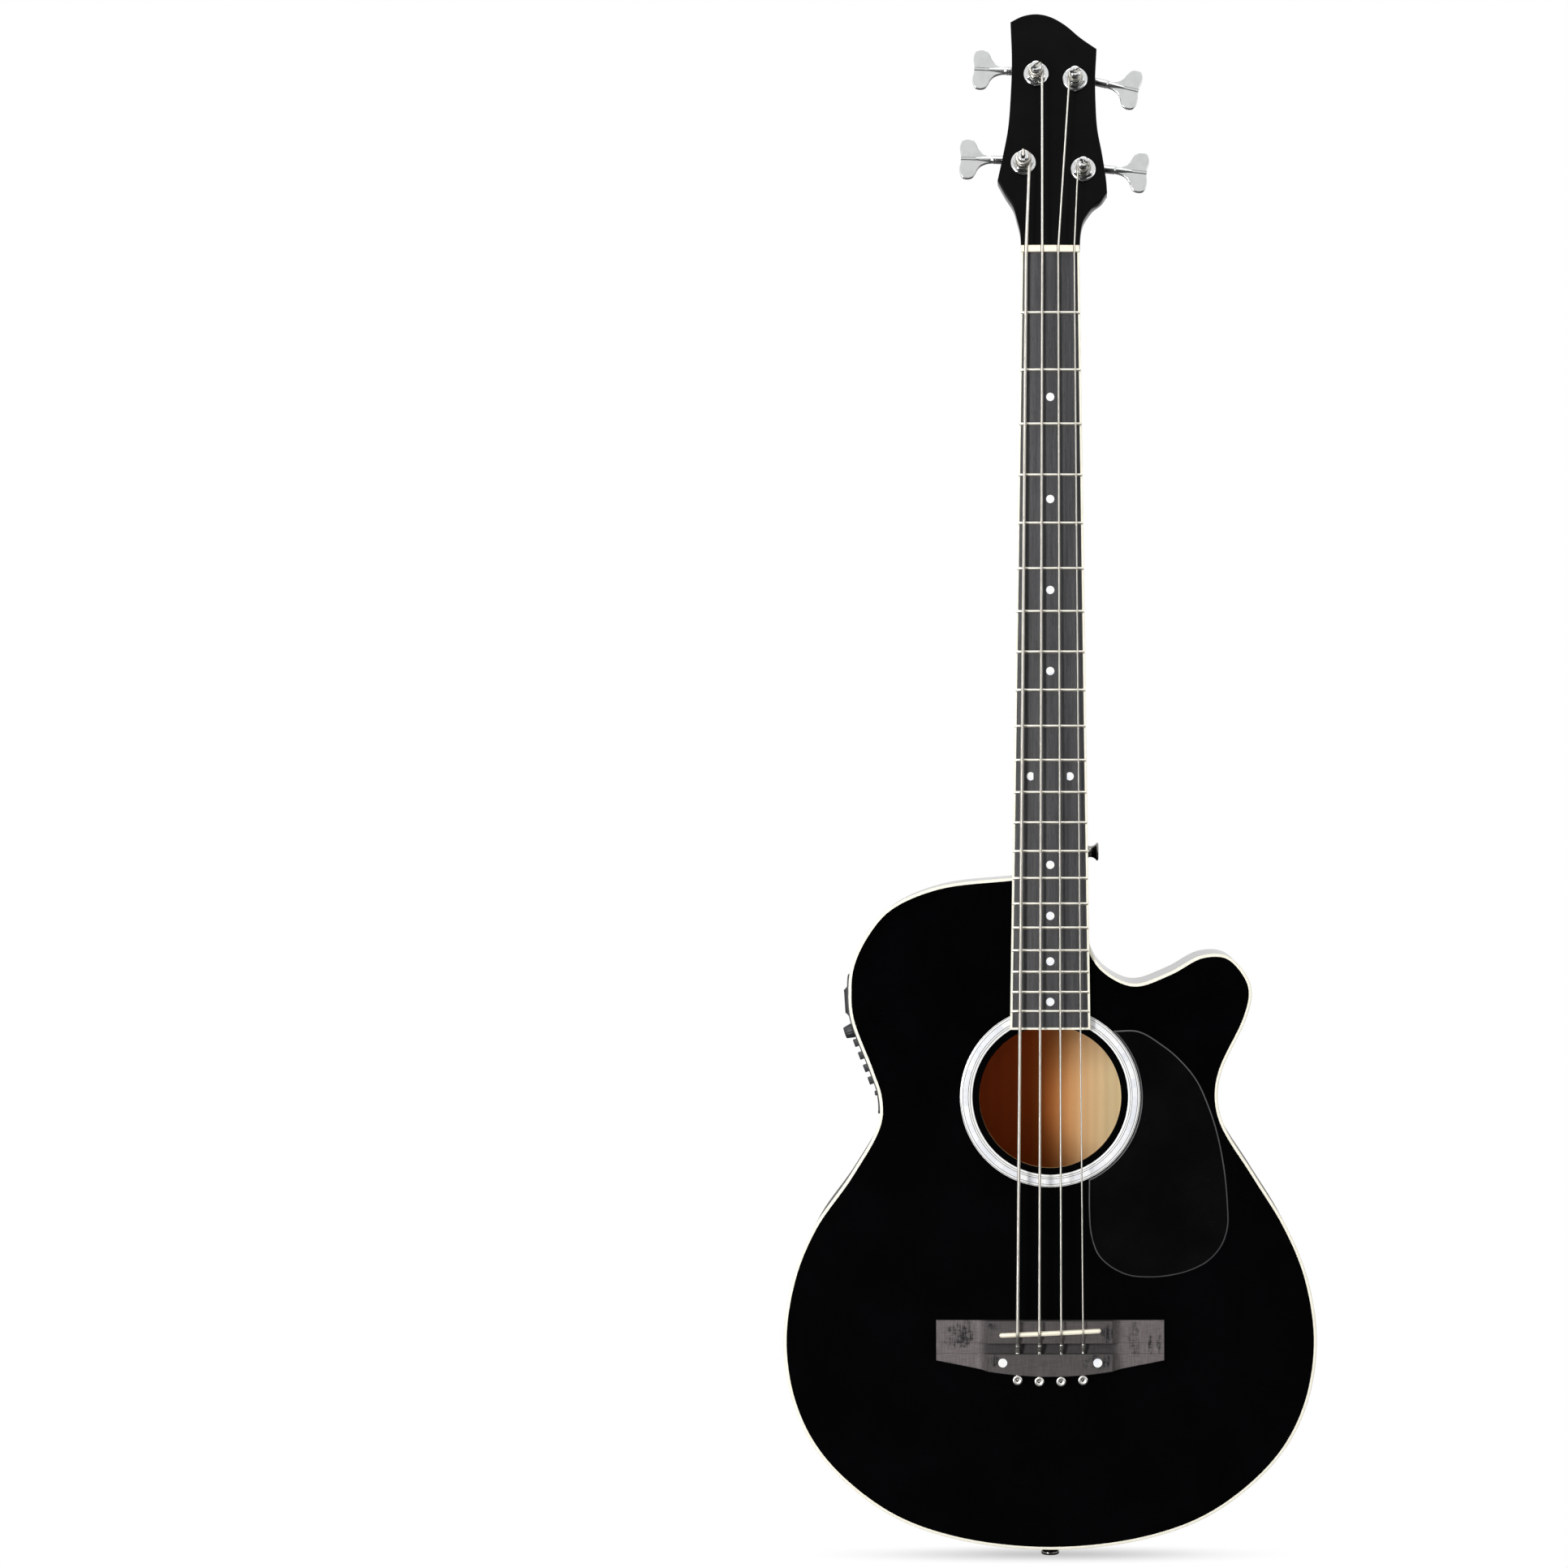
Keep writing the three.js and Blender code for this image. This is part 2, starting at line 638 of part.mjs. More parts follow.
function bridgePlate() {
  return block(-bridgePlateWidth / 2, bridgePlateWidth / 2, belowTop, belowTop + bridgePlateThickness,
    saddleHeight - bridgePlateLength + bridgeFront * 2, saddleHeight + bridgeFront * 2);
}

function pickguard() {
  const radius = rosetteOuter / 2 + pickguardMargin;
  const onRing = (angle) => [radius * Math.cos(radians(angle)), radius * Math.sin(radians(angle))];
  const edge = smooth([onRing(pickguardStartDegrees),
    ...pickguardShares.map(([x, z]) => [x * pickguardWidth, z * pickguardDrop]),
    onRing(pickguardEndDegrees)], stepsPerShare);
  const inner = arc(0, 0, radius, pickguardEndDegrees, pickguardStartDegrees,
    roundSteps / 4);
  const points = [...edge, ...inner.slice(1, -1)];
  return frontPlate(points, -seat - pickguardThickness, -seat).translate(0, 0, soundholeHeight);
}

// Neck, from the body to the headstock
const boardHalf = (z) => THREE.MathUtils.mapLinear(z, boardEnd, nutFront, boardEndWidth / 2, nutWidth / 2);
const headFrame = new THREE.Matrix4().makeRotationX(radians(-headTilt)).setPosition(0, 0, headStart);

function headOutline() {
  const points = headShares.map((run) => run.map(([x, u]) => new THREE.Vector2(x * headWidth / 2,
    u * headLength)));
  return points.flatMap((run) => run.slice(0, -1)).concat(points.at(-1).at(-1));
}

function neckRing(z, top, depth, half) {
  return Array.from({ length: neckSteps + 1 }, (_, i) => {
    const angle = Math.PI * i / neckSteps;
    return new THREE.Vector3(half * Math.cos(angle), top + depth * Math.sin(angle), z);
  });
}

function neck() {
  const heelFoot = bodyTop + seat;
  const rings = heelShares.map(([along, extra]) => {
    const z = heelFoot + along * heelLength;
    return neckRing(z, 0, neckHeelDepth + extra * (heelReach - neckHeelDepth), boardHalf(z));
  });
  rings.push(neckRing(nutFront, 0, neckDepth, nutWidth / 2),
    neckRing(headStart, 0, neckDepth, nutWidth / 2));
  const rise = headBlend * Math.tan(radians(headTilt));
  rings.push(neckRing(headStart + headBlend, rise + seat, headThickness - seat, nutWidth / 2));
  const plate = frontPlate(headOutline(), 0, headThickness).applyMatrix4(headFrame);
  const channel = block(-rodDiameter / 2 - running, rodDiameter / 2 + running, -overrun,
    rodDepth + rodDiameter / 2 + running,
    heelFoot - overrun, nutFront - rodTopGap + running);
  const seatX = boardHalf(strapButtonHeight) - strapSeatSink;
  const strapSeat = rod(strapBaseDiameter / 2 + running, seatX, seatX + overrun * 3, 'x', turnSteps);
  const screwHole = rod(strapScrewRadius + running, seatX - strapScrewLength - running, seatX + overrun,
    'x', stringSides * 2);
  const holes = tunerPlaces.map(({ across, along }) => rod(sleeveRadius + seat, -overrun,
    headThickness + overrun, 'y', turnSteps)
    .translate(across, 0, along).applyMatrix4(headFrame));
  const strap = [strapSeat, screwHole].map((tool) => tool.translate(0, strapButtonDepth,
    strapButtonHeight));
  return cut(join(loft(rings), plate), channel, ...strap, ...holes);
}

function fingerboard() {
  const low = boardEnd + boardBinding + seat;
  const fretPlace = (n) => saddleHeight + scaleLength * 2 ** (-n / 12);
  const fretPlaces = [];
  for (let n = 1; fretPlace(n) - fretWidth / 2 > low; n += 1) fretPlaces.push(fretPlace(n));
  const stations = [[nutFront - seat, 0]];
  for (const z of fretPlaces) {
    stations.push([z + fretWidth / 2, 0], [z + fretCrown / 2, fretHeight], [z - fretCrown / 2, fretHeight],
      [z - fretWidth / 2, 0]);
  }
  stations.push([low, 0]);
  const acrossShares = [1, 0, -1];
  return loft(stations.map(([z, rise]) => {
    const half = boardHalf(z) - boardBinding - seat;
    const top = acrossShares.map((share) => new THREE.Vector3(share * half,
      -boardTop - rise + (share * half) ** 2 / 2 / boardCamber, z));
    return [...top, new THREE.Vector3(-half, -seat, z), new THREE.Vector3(half, -seat, z)];
  }));
}

function fingerboardBinding() {
  const [low, high] = [boardEnd, nutFront - seat];
  const inner = (z) => boardHalf(z) - boardBinding;
  const points = [
    [boardHalf(high), high], [boardHalf(low), low], [-boardHalf(low), low], [-boardHalf(high), high],
    [-inner(high), high], [-inner(low), low + boardBinding], [inner(low), low + boardBinding],
    [inner(high), high],
  ].map(([x, z]) => new THREE.Vector2(x, z));
  const drop = (nutWidth / 2) ** 2 / 2 / boardCamber;
  return frontPlate(points, -boardTop + drop, -seat);
}

function trussRod() {
  return rod(rodDiameter / 2, bodyTop - rodOverlap, nutFront - rodTopGap, 'z', loopSteps / 2)
    .translate(0, rodDepth, 0);
}

function trussRodNut() {
  const top = bodyTop - rodOverlap - seat;
  const body = rod(rodNutDiameter / 2, top - rodNutLength, top, 'z', loopSteps);
  const socket = rod(rodKeySize / 2 / Math.cos(Math.PI / 6), top - rodNutLength - overrun,
    top - rodNutLength + rodKeyDepth, 'z', 6);
  return cut(body, socket).translate(0, rodDepth, 0);
}

// Strings: every route runs from the ball over saddle and nut to the post, and round it
const names = Object.keys(stringDiameters);
const camber = (x) => x ** 2 / 2 / boardCamber;

function stringRoute(name) {
  const i = names.indexOf(name);
  const radius = stringDiameters[name] / 2;
  const place = tunerPlaces.find((tuner) => tuner.string === name);
  const share = i / (names.length - 1) - 1 / 2;
  const [nutX, saddleX] = [nutSpread * share, saddleSpread * share];
  const bridgeTail = saddleHeight + bridgeFront - bridgeTailLength(saddleX);
  const ball = new THREE.Vector3(saddleX, -stringHoleHeight, bridgeTail - seat - ballDiameter / 2);
  const channel = new THREE.Vector3(saddleX, -stringHoleHeight,
    saddleHeight - channelStart - channelLength);
  const overSaddle = new THREE.Vector3(saddleX, camber(saddleX) - saddleRise - seat - radius,
    saddleHeight + saddleX * Math.tan(radians(saddleSlant)));
  const overNut = new THREE.Vector3(nutX, camber(nutX) - boardTop - fretHeight - firstFretAction - radius,
    nutFront + nutThickness / 2);
  const turn = postWaistRadius + seat + radius;
  const level = -(windingFloor + seat + radius);
  const head = headFrame.clone().invert();
  const nutInHead = overNut.clone().applyMatrix4(head);
  const [dx, dz] = [nutInHead.x - place.across, nutInHead.z - place.along];
  const touch = Math.atan2(dz, dx) - place.side * Math.acos(turn / Math.hypot(dx, dz));
  const sweep = -place.side;
  const onPost = (angle, y) => new THREE.Vector3(place.across + turn * Math.cos(angle), y,
    place.along + turn * Math.sin(angle));
  return { radius, place, ball, channel, overSaddle, overNut, touch, sweep, turn, level, onPost };
}

function guitarString(name) {
  const route = stringRoute(name);
  const steps = Math.round(loopSteps * fixedTurn / 360);
  const lastTurn = Array.from({ length: steps + 1 }, (_, i) => {
    const angle = route.touch + route.sweep * radians(fixedTurn) * i / steps;
    return route.onPost(angle, route.level).applyMatrix4(headFrame);
  });
  const wire = tube([route.ball, route.channel, route.overSaddle, route.overNut, ...lastTurn], route.radius,
    stringSides);
  const ball = rod(ballDiameter / 2, -ballWidth / 2, ballWidth / 2, 'y', shaftSteps);
  const bore = rod(ballBore / 2, -ballWidth, ballWidth, 'y', stringSides);
  return cut(join(wire, ball.translate(...route.ball)), bore.translate(...route.ball));
}

// The turns above it, which go round with the post: a helix with a straight end at both ends
function winding(name) {
  const route = stringRoute(name);
  const diameter = 2 * route.radius;
  const pitch = diameter + windingGap;
  const turns = windingTurns[name];
  const steps = Math.round(loopSteps * turns);
  const start = route.touch + route.sweep * radians(fixedTurn);
  const first = route.level - pitch;
  const helix = Array.from({ length: steps + 1 }, (_, i) => {
    const angle = start + route.sweep * 2 * Math.PI * turns * i / steps;
    return route.onPost(angle, first - pitch * turns * i / steps);
  });
  const lower = helix[0].clone().sub(helix[1]).normalize().multiplyScalar(diameter).add(helix[0]);
  const upper = helix.at(-1).clone().sub(helix.at(-2)).normalize().multiplyScalar(diameter)
    .add(helix.at(-1));
  const points = [lower, ...helix, upper];
  reportGap(name, points, diameter);
  return tube(points.map((point) => point.applyMatrix4(headFrame)), route.radius, stringSides);
}

function reportGap(name, points, diameter) {
  let least = Infinity;
  const apart = loopSteps / 2;
  for (let i = 0; i < points.length; i += 1) {
    for (let j = i + apart; j < points.length; j += 1) least = Math.min(least,
      points[i].distanceTo(points[j]) - diameter);
  }
  console.log(`winding ${name}: least gap to itself ${least.toFixed(2)} mm`);
}

function nut() {
  const half = nutWidth / 2;
  const face = [
    new THREE.Vector2(-half, 0), new THREE.Vector2(half, 0),
    ...[1, 0.5, 0, -0.5, -1].map((share) => new THREE.Vector2(share * half,
      -boardTop - nutRise + camber(share * half))),
  ];
  const blank = plan(face.map((point) => point.setY(Math.min(point.y, -seat))), nutFront, nutBack);
  const slots = names.map((name) => {
    const { overNut, overSaddle, onPost, touch, level, radius } = stringRoute(name);
    const towardPost = onPost(touch, level).applyMatrix4(headFrame).sub(overNut).normalize();
    const towardSaddle = overSaddle.clone().sub(overNut).normalize();
    const run = [towardSaddle, null, towardPost].map((way) => (
      way ? overNut.clone().addScaledVector(way, nutThickness + overrun) : overNut));
    const width = radius + seat;
    const floor = run.map((point) => [point.y + width, point.z]);
    const open = [...floor, [-boardTop - nutRise - overrun * 2, run[2].z],
      [-boardTop - nutRise - overrun * 2, run[0].z]];
    const slot = sidePlate(open.map(([y, z]) => new THREE.Vector2(y, z)), -width, width);
    return slot.translate(overNut.x, 0, 0);
  });
  return cut(blank, ...slots);
}

// Bridge
function bridgeTailLength(x) {
  const share = Math.min(Math.abs(x) / (bridgeBlockWidth / 2), 1);
  return bridgeLength - (bridgeLength - bridgeShoulderLength) * share ** 2;
}

const bridgeTop = saddleHeight + bridgeFront;

function bridge() {
  const half = bridgeWidth / 2;
  const blockHalf = bridgeBlockWidth / 2;
  const tail = Array.from({ length: neckSteps + 1 }, (_, i) => {
    const x = blockHalf * (1 - 2 * i / neckSteps);
    return new THREE.Vector2(x, bridgeTop - bridgeTailLength(x));
  });
  const face = [
    new THREE.Vector2(-half, bridgeTop), new THREE.Vector2(half, bridgeTop),
    new THREE.Vector2(half, bridgeTop - bridgeEndLength),
    ...tail, new THREE.Vector2(-half, bridgeTop - bridgeEndLength),
  ];
  const scoop = (sign) => Array.from({ length: scoopSteps + 1 }, (_, i) => {
    const share = sign > 0 ? i / scoopSteps : 1 - i / scoopSteps;
    const rise = blockHeight - (blockHeight - wingHeight) * Math.sin(share * Math.PI / 2);
    return new THREE.Vector2(sign * (blockHalf + scoopLength * share), -rise);
  });
  const section = [
    ...scoop(-1), ...scoop(1), new THREE.Vector2(half + overrun, -wingHeight),
    new THREE.Vector2(half + overrun, -seat),
    new THREE.Vector2(-half - overrun, -seat), new THREE.Vector2(-half - overrun, -wingHeight),
  ];
  const solid = common(frontPlate(face, -blockHeight - overrun, 0),
    plan(section, bridgeTop - bridgeLength - overrun, bridgeTop + overrun));
  const channelHalf = blockHalf + scoopLength;
  const channel = block(-channelHalf, channelHalf, -blockHeight - overrun, -channelFloor,
    saddleHeight - channelStart - channelLength, saddleHeight - channelStart);
  const slot = block(-saddleLength / 2 - seat, saddleLength / 2 + seat, -blockHeight - overrun,
    -saddleSlotFloor,
    -saddleThickness / 2 - seat, saddleThickness / 2 + seat).rotateY(radians(-saddleSlant))
      .translate(0, 0, saddleHeight);
  const holes = names.map((name) => {
    const { channel: start, radius } = stringRoute(name);
    return rod(radius + stringHoleGap, start.z - bridgeLength, start.z + overrun, 'z', loopSteps / 2)
      .translate(start.x, start.y, 0);
  });
  return cut(solid, channel, slot, ...holes);
}

const pickupTop = saddleSlotFloor + seat + pickupThickness;

// The saddle's crown follows the strings' camber, and its rear falls away under them
function saddle() {
  const half = saddleThickness / 2;
  const foot = -pickupTop - seat;
  const stationShares = [1, 0.75, 0.5, 0.25, 0, -0.25, -0.5, -0.75, -1];
  return loft(stationShares.map((share) => {
    const x = share * saddleLength / 2;
    const crown = camber(x) - saddleRise;
    return [[foot, half], [crown + saddleEase / 2, half], [crown, half / 3], [crown, -half / 6],
      [crown + saddleEase, -half], [foot, -half]]
      .map(([y, z]) => new THREE.Vector3(x, y, z));
  }));
}

function piezoPickup() {
  return block(-pickupLength / 2, pickupLength / 2, -pickupTop, -saddleSlotFloor - seat, -pickupWidth / 2,
    pickupWidth / 2);
}

// Tuners, each in its own frame: the post stands on the origin and points towards -Y
function housing(side) {
  const low = headThickness + seat;
  const high = gearDepth + wormTip + running + housingWall;
  const half = housingWidth / 2;
  const foot = -wheelRadius - gearModule - running - housingWall;
  const top = gearSpacing + wormTip + running + housingWall;
  const corner = housingWall * 2;
  const shell = frontPlate([
    ...arc(half - corner, foot + corner, corner, -90, 0, 3),
    ...arc(half - corner, top - corner, corner, 0, 90, 3),
    ...arc(corner - half, top - corner, corner, 90, 180, 3),
    ...arc(corner - half, foot + corner, corner, 180, 270, 3),
  ], low, high);
  const wheelRoom = rod(wheelRadius + gearModule + running, gearDepth - wheelWidth / 2 - running,
    gearDepth + wheelWidth / 2 + running, 'y', turnSteps);
  const wormRoom = rod(wormTip + running, -wormLength / 2 - running, wormLength / 2 + running, 'x',
    shaftSteps)
    .translate(0, gearDepth, gearSpacing);
  const postHole = rod(postRadius + running, low - overrun, gearDepth, 'y', turnSteps);
  const shaftHole = rod(keyShaftRadius + running, 0, half + overrun, 'x', shaftSteps);
  if (side < 0) shaftHole.rotateZ(Math.PI);
  return cut(shell, wheelRoom, wormRoom, postHole, shaftHole.translate(0, gearDepth, gearSpacing));
}

function bushing() {
  const washer = washerDiameter / 2;
  const bore = postRadius + running;
  const body = turned([
    [bore, headThickness - seat * 3], [bore, -seat - washerThickness],
    [washer - washerThickness, -seat - washerThickness],
    [washer, -seat - washerThickness / 3], [washer, -seat], [sleeveRadius, -seat],
    [sleeveRadius, headThickness - seat * 3],
    [bore, headThickness - seat * 3],
  ], 'y', turnSteps);
  const hexFace = -seat - washerThickness - hexHeight;
  const hex = turned([[0, -washerThickness], [hexSize / 2 / Math.cos(Math.PI / 6), -washerThickness],
    [hexSize / 2 / Math.cos(Math.PI / 6), hexFace + hexHeight / 5], [hexSize / 2, hexFace], [0, hexFace]],
      'y', 6);
  return cut(join(body, hex), rod(bore, hexFace - overrun, 0, 'y', turnSteps));
}

function tunerPost() {
  const back = gearDepth + wheelWidth / 2;
  const flare = postRadius - postWaistRadius;
  const shaft = turned([
    [0, back], [postRadius, back], [postRadius, -windingFloor + flare], [postWaistRadius, -windingFloor],
    [postWaistRadius, -waistTop], [postRadius, -waistTop - flare],
    [postRadius, -postLength], [0, -postLength],
  ], 'y', turnSteps);
  const slot = block(-postSlotWidth / 2, postSlotWidth / 2, -postLength - overrun,
    -postLength + postSlotDepth, -postRadius - overrun, postRadius + overrun);
  return cut(join(shaft, wormWheel()), slot);
}

// Wheel whose teeth lean by the worm's lead angle, with a gap facing the worm
function wormWheel() {
  const tip = wheelRadius + gearModule * 0.8;
  const root = wheelRadius - gearModule;
  const half = (lead / 4 - toothClearance) / wheelRadius;
  const level = (y) => {
    const lean = (y - gearDepth) * lead / (2 * Math.PI * wormPitchRadius) / wheelRadius;
    const points = [];
    for (let k = 0; k < wheelTeeth; k += 1) {
      const middle = (k + 1 / 2) * 2 * Math.PI / wheelTeeth + lean;
      for (const [radius, share] of [[root, -1.7], [tip, -0.6], [tip, 0.6], [root, 1.7]]) {
        const angle = middle + share * half;
        points.push(new THREE.Vector3(radius * Math.sin(angle), y, radius * Math.cos(angle)));
      }
    }
    return points;
  };
  return toothRing([level(gearDepth - wheelWidth / 2), level(gearDepth + wheelWidth / 2)]);
}

// The ring of teeth is a loft whose ends are fans round the axis
function toothRing([near, far]) {
  const count = near.length;
  const centre = [near, far].map((ringPoints) => new THREE.Vector3(0, ringPoints[0].y, 0));
  const points = [...near, ...far, ...centre];
  const index = [];
  for (let j = 0; j < count; j += 1) {
    const next = (j + 1) % count;
    index.push(j, next, count + next, j, count + next, count + j);
    index.push(2 * count, next, j, 2 * count + 1, count + j, count + next);
  }
  const geometry = new THREE.BufferGeometry();
  geometry.setAttribute('position',
    new THREE.Float32BufferAttribute(points.flatMap((p) => [p.x, p.y, p.z]), 3));
  geometry.setIndex(index);
  return geometry;
}

// Right-hand thread round the X axis whose ridge crosses the wheel's side at the origin
function wormThread() {
  const turns = wormLength / lead + 1;
  const steps = Math.round(turns * wormSteps);
  const tipHalf = lead * 0.09;
  const rootHalf = lead / 4 + gearModule * 0.1;
  const rings = Array.from({ length: steps + 1 }, (_, i) => {
    const turn = turns * (i / steps - 1 / 2);
    const angle = 2 * Math.PI * turn - Math.PI / 2;
    const at = (radius, shift) => new THREE.Vector3(lead * turn + shift, radius * Math.cos(angle),
      radius * Math.sin(angle));
    return [at(wormRoot / 2, -rootHalf), at(wormTip, -tipHalf), at(wormTip, tipHalf),
      at(wormRoot / 2, rootHalf)];
  });
  const room = rod(wormTip + overrun, -wormLength / 2, wormLength / 2, 'x', loopSteps / 2);
  return common(loft(rings), room);
}

function tunerKey(side) {
  const stemStart = housingWidth / 2 + running;
  const core = rod(wormRoot, -wormLength / 2, wormLength / 2, 'x', shaftSteps);
  const stem = turned([
    [0, 0], [wormRoot, 0], [wormRoot, wormLength / 2 - seat], [keyShaftRadius, wormLength / 2 - seat],
    [keyShaftRadius, stemStart],
    [keyStemRadius, stemStart], [keyStemRadius, keyInner - keyRingWidth],
    [keyRingRadius, keyInner - keyRingWidth],
    [keyRingRadius, keyInner], [keyShaftRadius * 1.4, keyInner + keyBevel * 2],
    [keyBevel, keyInner + keyLength * 0.7],
    [0, keyInner + keyLength * 0.7],
  ], 'x', shaftSteps);
  const half = keyWidth / 2 - keyBevel;
  const edge = keyShares.map(([along, out]) => [keyInner + keyBevel + along * (keyLength - 2 * keyBevel),
    out * half]);
  const upper = edge.map(([x, z]) => new THREE.Vector2(x, z));
  const lower = edge.map(([x, z]) => new THREE.Vector2(x, -z)).reverse();
  const paddle = new THREE.ExtrudeGeometry(new THREE.Shape([...upper, ...lower]), {
    depth: keyThickness - 2 * keyBevel, bevelThickness: keyBevel, bevelSize: keyBevel, bevelSegments: 1,
  }).rotateX(Math.PI / 2).translate(0, (keyThickness - 2 * keyBevel) / 2, 0);
  const handle = toGeometry(toSolid(stem).add(toSolid(paddle)));
  if (side < 0) handle.rotateZ(Math.PI);
  return join(handle, core, wormThread());
}

// Preamp: the side's own curve carries the bezel and the case
const caseTop = preampTop - caseMargin;
const caseBottom = preampTop - preampLength + caseMargin;
const bassSide = outline.slice(outlineShares.length, -1);

// Point of the bass side at a height
function sidePoint(z) {
  const i = bassSide.findIndex((point,
    k) => k + 1 < bassSide.length && bassSide[k + 1].y >= z && point.y < z && point.x < 0);
  const [low, high] = [bassSide[i], bassSide[i + 1]];
  return low.clone().lerp(high, (z - low.y) / (high.y - low.y));
}

// The side's line between two heights, from the lower end up
function sideLine(top, bottom) {
  const between = bassSide.filter((point) => point.y > bottom && point.y < top && point.x < -halfWidth / 2);
  return [bottom, ...between.map((point) => point.y), top].map(sidePoint);
}

function sideStrip(top, bottom, outer, inner) {
  const line = sideLine(top, bottom);
  const outward = line.map((point, i) => {
    const run = line[Math.min(i + 1, line.length - 1)].clone().sub(line[Math.max(i - 1, 0)]).normalize();
    return new THREE.Vector2(-run.y, run.x);
  });
  const moved = (distance) => line.map((point, i) => point.clone().addScaledVector(outward[i], distance));
  return [...moved(outer), ...moved(inner).reverse()];
}

// Frame of a control: X out of the side, Y to the front, Z up along the side, level over the control's length
function controlFrame(below, depth, length) {
  const low = sidePoint(preampTop - below - length / 2);
  const high = sidePoint(preampTop - below + length / 2);
  const run = high.clone().sub(low).normalize();
  const point = low.lerp(high, 0.5);
  return new THREE.Matrix4().makeBasis(new THREE.Vector3(-run.y, 0, run.x), new THREE.Vector3(0, -1, 0),
    new THREE.Vector3(run.x, 0, run.y)).setPosition(point.x, depth, point.y);
}

const drawerFrame = controlFrame(drawerPlace, preampDepth, drawerFaceLength);
const knobFrame = controlFrame(knobPlace, preampDepth - knobForward, knobDiameter);
const buttonFrame = controlFrame(buttonPlace, preampDepth, buttonDiameter);
const sliderFrames = Array.from({ length: sliderCount },
  (_, i) => controlFrame(firstSliderPlace + i * sliderPitch, preampDepth, sliderCapWidth));
const bezelFace = seat + bezelThickness;
const trayHalfZ = batteryThickness / 2 + running + trayWall;
const trayHalfY = batteryWidth / 2 + running + trayWall;
const trayBack = -(batteryLength + 2 * running + trayWall + drawerFaceDepth);

function sliderRoom(frame, depth) {
  const half = (sliderTravel + sliderStem) / 2 + running;
  return block(-depth, bezelFace + overrun, -half, half, -sliderStem / 2 - running,
    sliderStem / 2 + running).applyMatrix4(frame);
}

function preampBezel() {
  const plate = frontPlate(sideStrip(preampTop, preampTop - preampLength, bezelFace, seat),
    preampDepth - bezelWidth / 2, preampDepth + bezelWidth / 2);
  const window = block(-overrun, bezelFace + overrun, -drawerFaceWidth / 2 - running,
    drawerFaceWidth / 2 + running,
    -drawerFaceLength / 2 - running, drawerFaceLength / 2 + running).applyMatrix4(drawerFrame);
  const knobHole = rod(knobShaftRadius + running, -overrun, bezelFace + overrun, 'x',
    loopSteps / 2).applyMatrix4(knobFrame);
  const buttonHole = rod(buttonDiameter / 2 + running, -overrun, bezelFace + overrun, 'x',
    loopSteps / 2).applyMatrix4(buttonFrame);
  return cut(plate, window, knobHole, buttonHole,
    ...sliderFrames.map((frame) => sliderRoom(frame, overrun)));
}

// The case's outer line with its two ends, and the way square to them from its face to its flat back
function caseLine() {
  const line = sideLine(caseTop, caseBottom);
  const [low, high] = [line[0], line.at(-1)];
  return { line, low, high, inward: new THREE.Vector2(high.y - low.y, low.x - high.x).setLength(caseDepth) };
}

function preampCase() {
  const [near, far] = [preampDepth - caseWidth / 2, preampDepth + caseWidth / 2];
  const { line, low, high, inward } = caseLine();
  const shell = frontPlate([...line, high.clone().add(inward), low.clone().add(inward)], near, far);
  const bayHalf = trayHalfZ + running + caseWall;
  const bay = block(trayBack - running - caseWall, -drawerFaceDepth, -caseWidth / 2, caseWidth / 2,
    -bayHalf, bayHalf).applyMatrix4(drawerFrame);
  const room = block(trayBack - running, overrun, -trayHalfY - running, trayHalfY + running,
    -trayHalfZ - running, trayHalfZ + running)
    .applyMatrix4(drawerFrame);
  const mouth = block(-drawerFaceDepth - running, overrun, -drawerFaceWidth / 2 - running,
    drawerFaceWidth / 2 + running,
    -drawerFaceLength / 2 - running, drawerFaceLength / 2 + running).applyMatrix4(drawerFrame);
  const knobHole = rod(knobShaftRadius + running, -knobShaftDepth - running, overrun, 'x',
    loopSteps / 2).applyMatrix4(knobFrame);
  const buttonHole = rod(buttonDiameter / 2 + running, -buttonDepth - buttonTravel - running, overrun, 'x',
    loopSteps / 2)
    .applyMatrix4(buttonFrame);
  return cut(join(shell, bay), room, mouth, knobHole, buttonHole,
    ...sliderFrames.map((frame) => sliderRoom(frame, sliderStemDepth + running)));
}

function batteryDrawer() {
  const face = block(-drawerFaceDepth, bezelFace + drawerFaceProud, -drawerFaceWidth / 2,
    drawerFaceWidth / 2, -drawerFaceLength / 2, drawerFaceLength / 2);
  const grip = rod(drawerFaceProud / 2, -drawerFaceWidth / 2 - overrun, drawerFaceWidth / 2 + overrun, 'y',
    loopSteps / 2)
    .translate(bezelFace + drawerFaceProud, 0, drawerFaceLength / 4);
  const tray = block(trayBack, -drawerFaceDepth / 2, -trayHalfY, trayHalfY, -trayHalfZ, trayHalfZ);
  const pocket = block(trayBack + trayWall, -drawerFaceDepth, -trayHalfY + trayWall, trayHalfY - trayWall,
    -trayHalfZ + trayWall, trayHalfZ + overrun);
  return cut(join(face, tray), grip, pocket);
}

function battery() {
  const start = trayBack + trayWall + running;
  const body = block(start, start + batteryLength - batteryTerminal, -batteryWidth / 2, batteryWidth / 2,
    -batteryThickness / 2, batteryThickness / 2);
  const terminal = (y) => rod(batteryTerminal * 1.5, start + batteryLength - batteryTerminal * 2,
    start + batteryLength, 'x', stringSides * 2)
    .translate(0, y, 0);
  return join(body, terminal(-batteryWidth / 4), terminal(batteryWidth / 4));
}

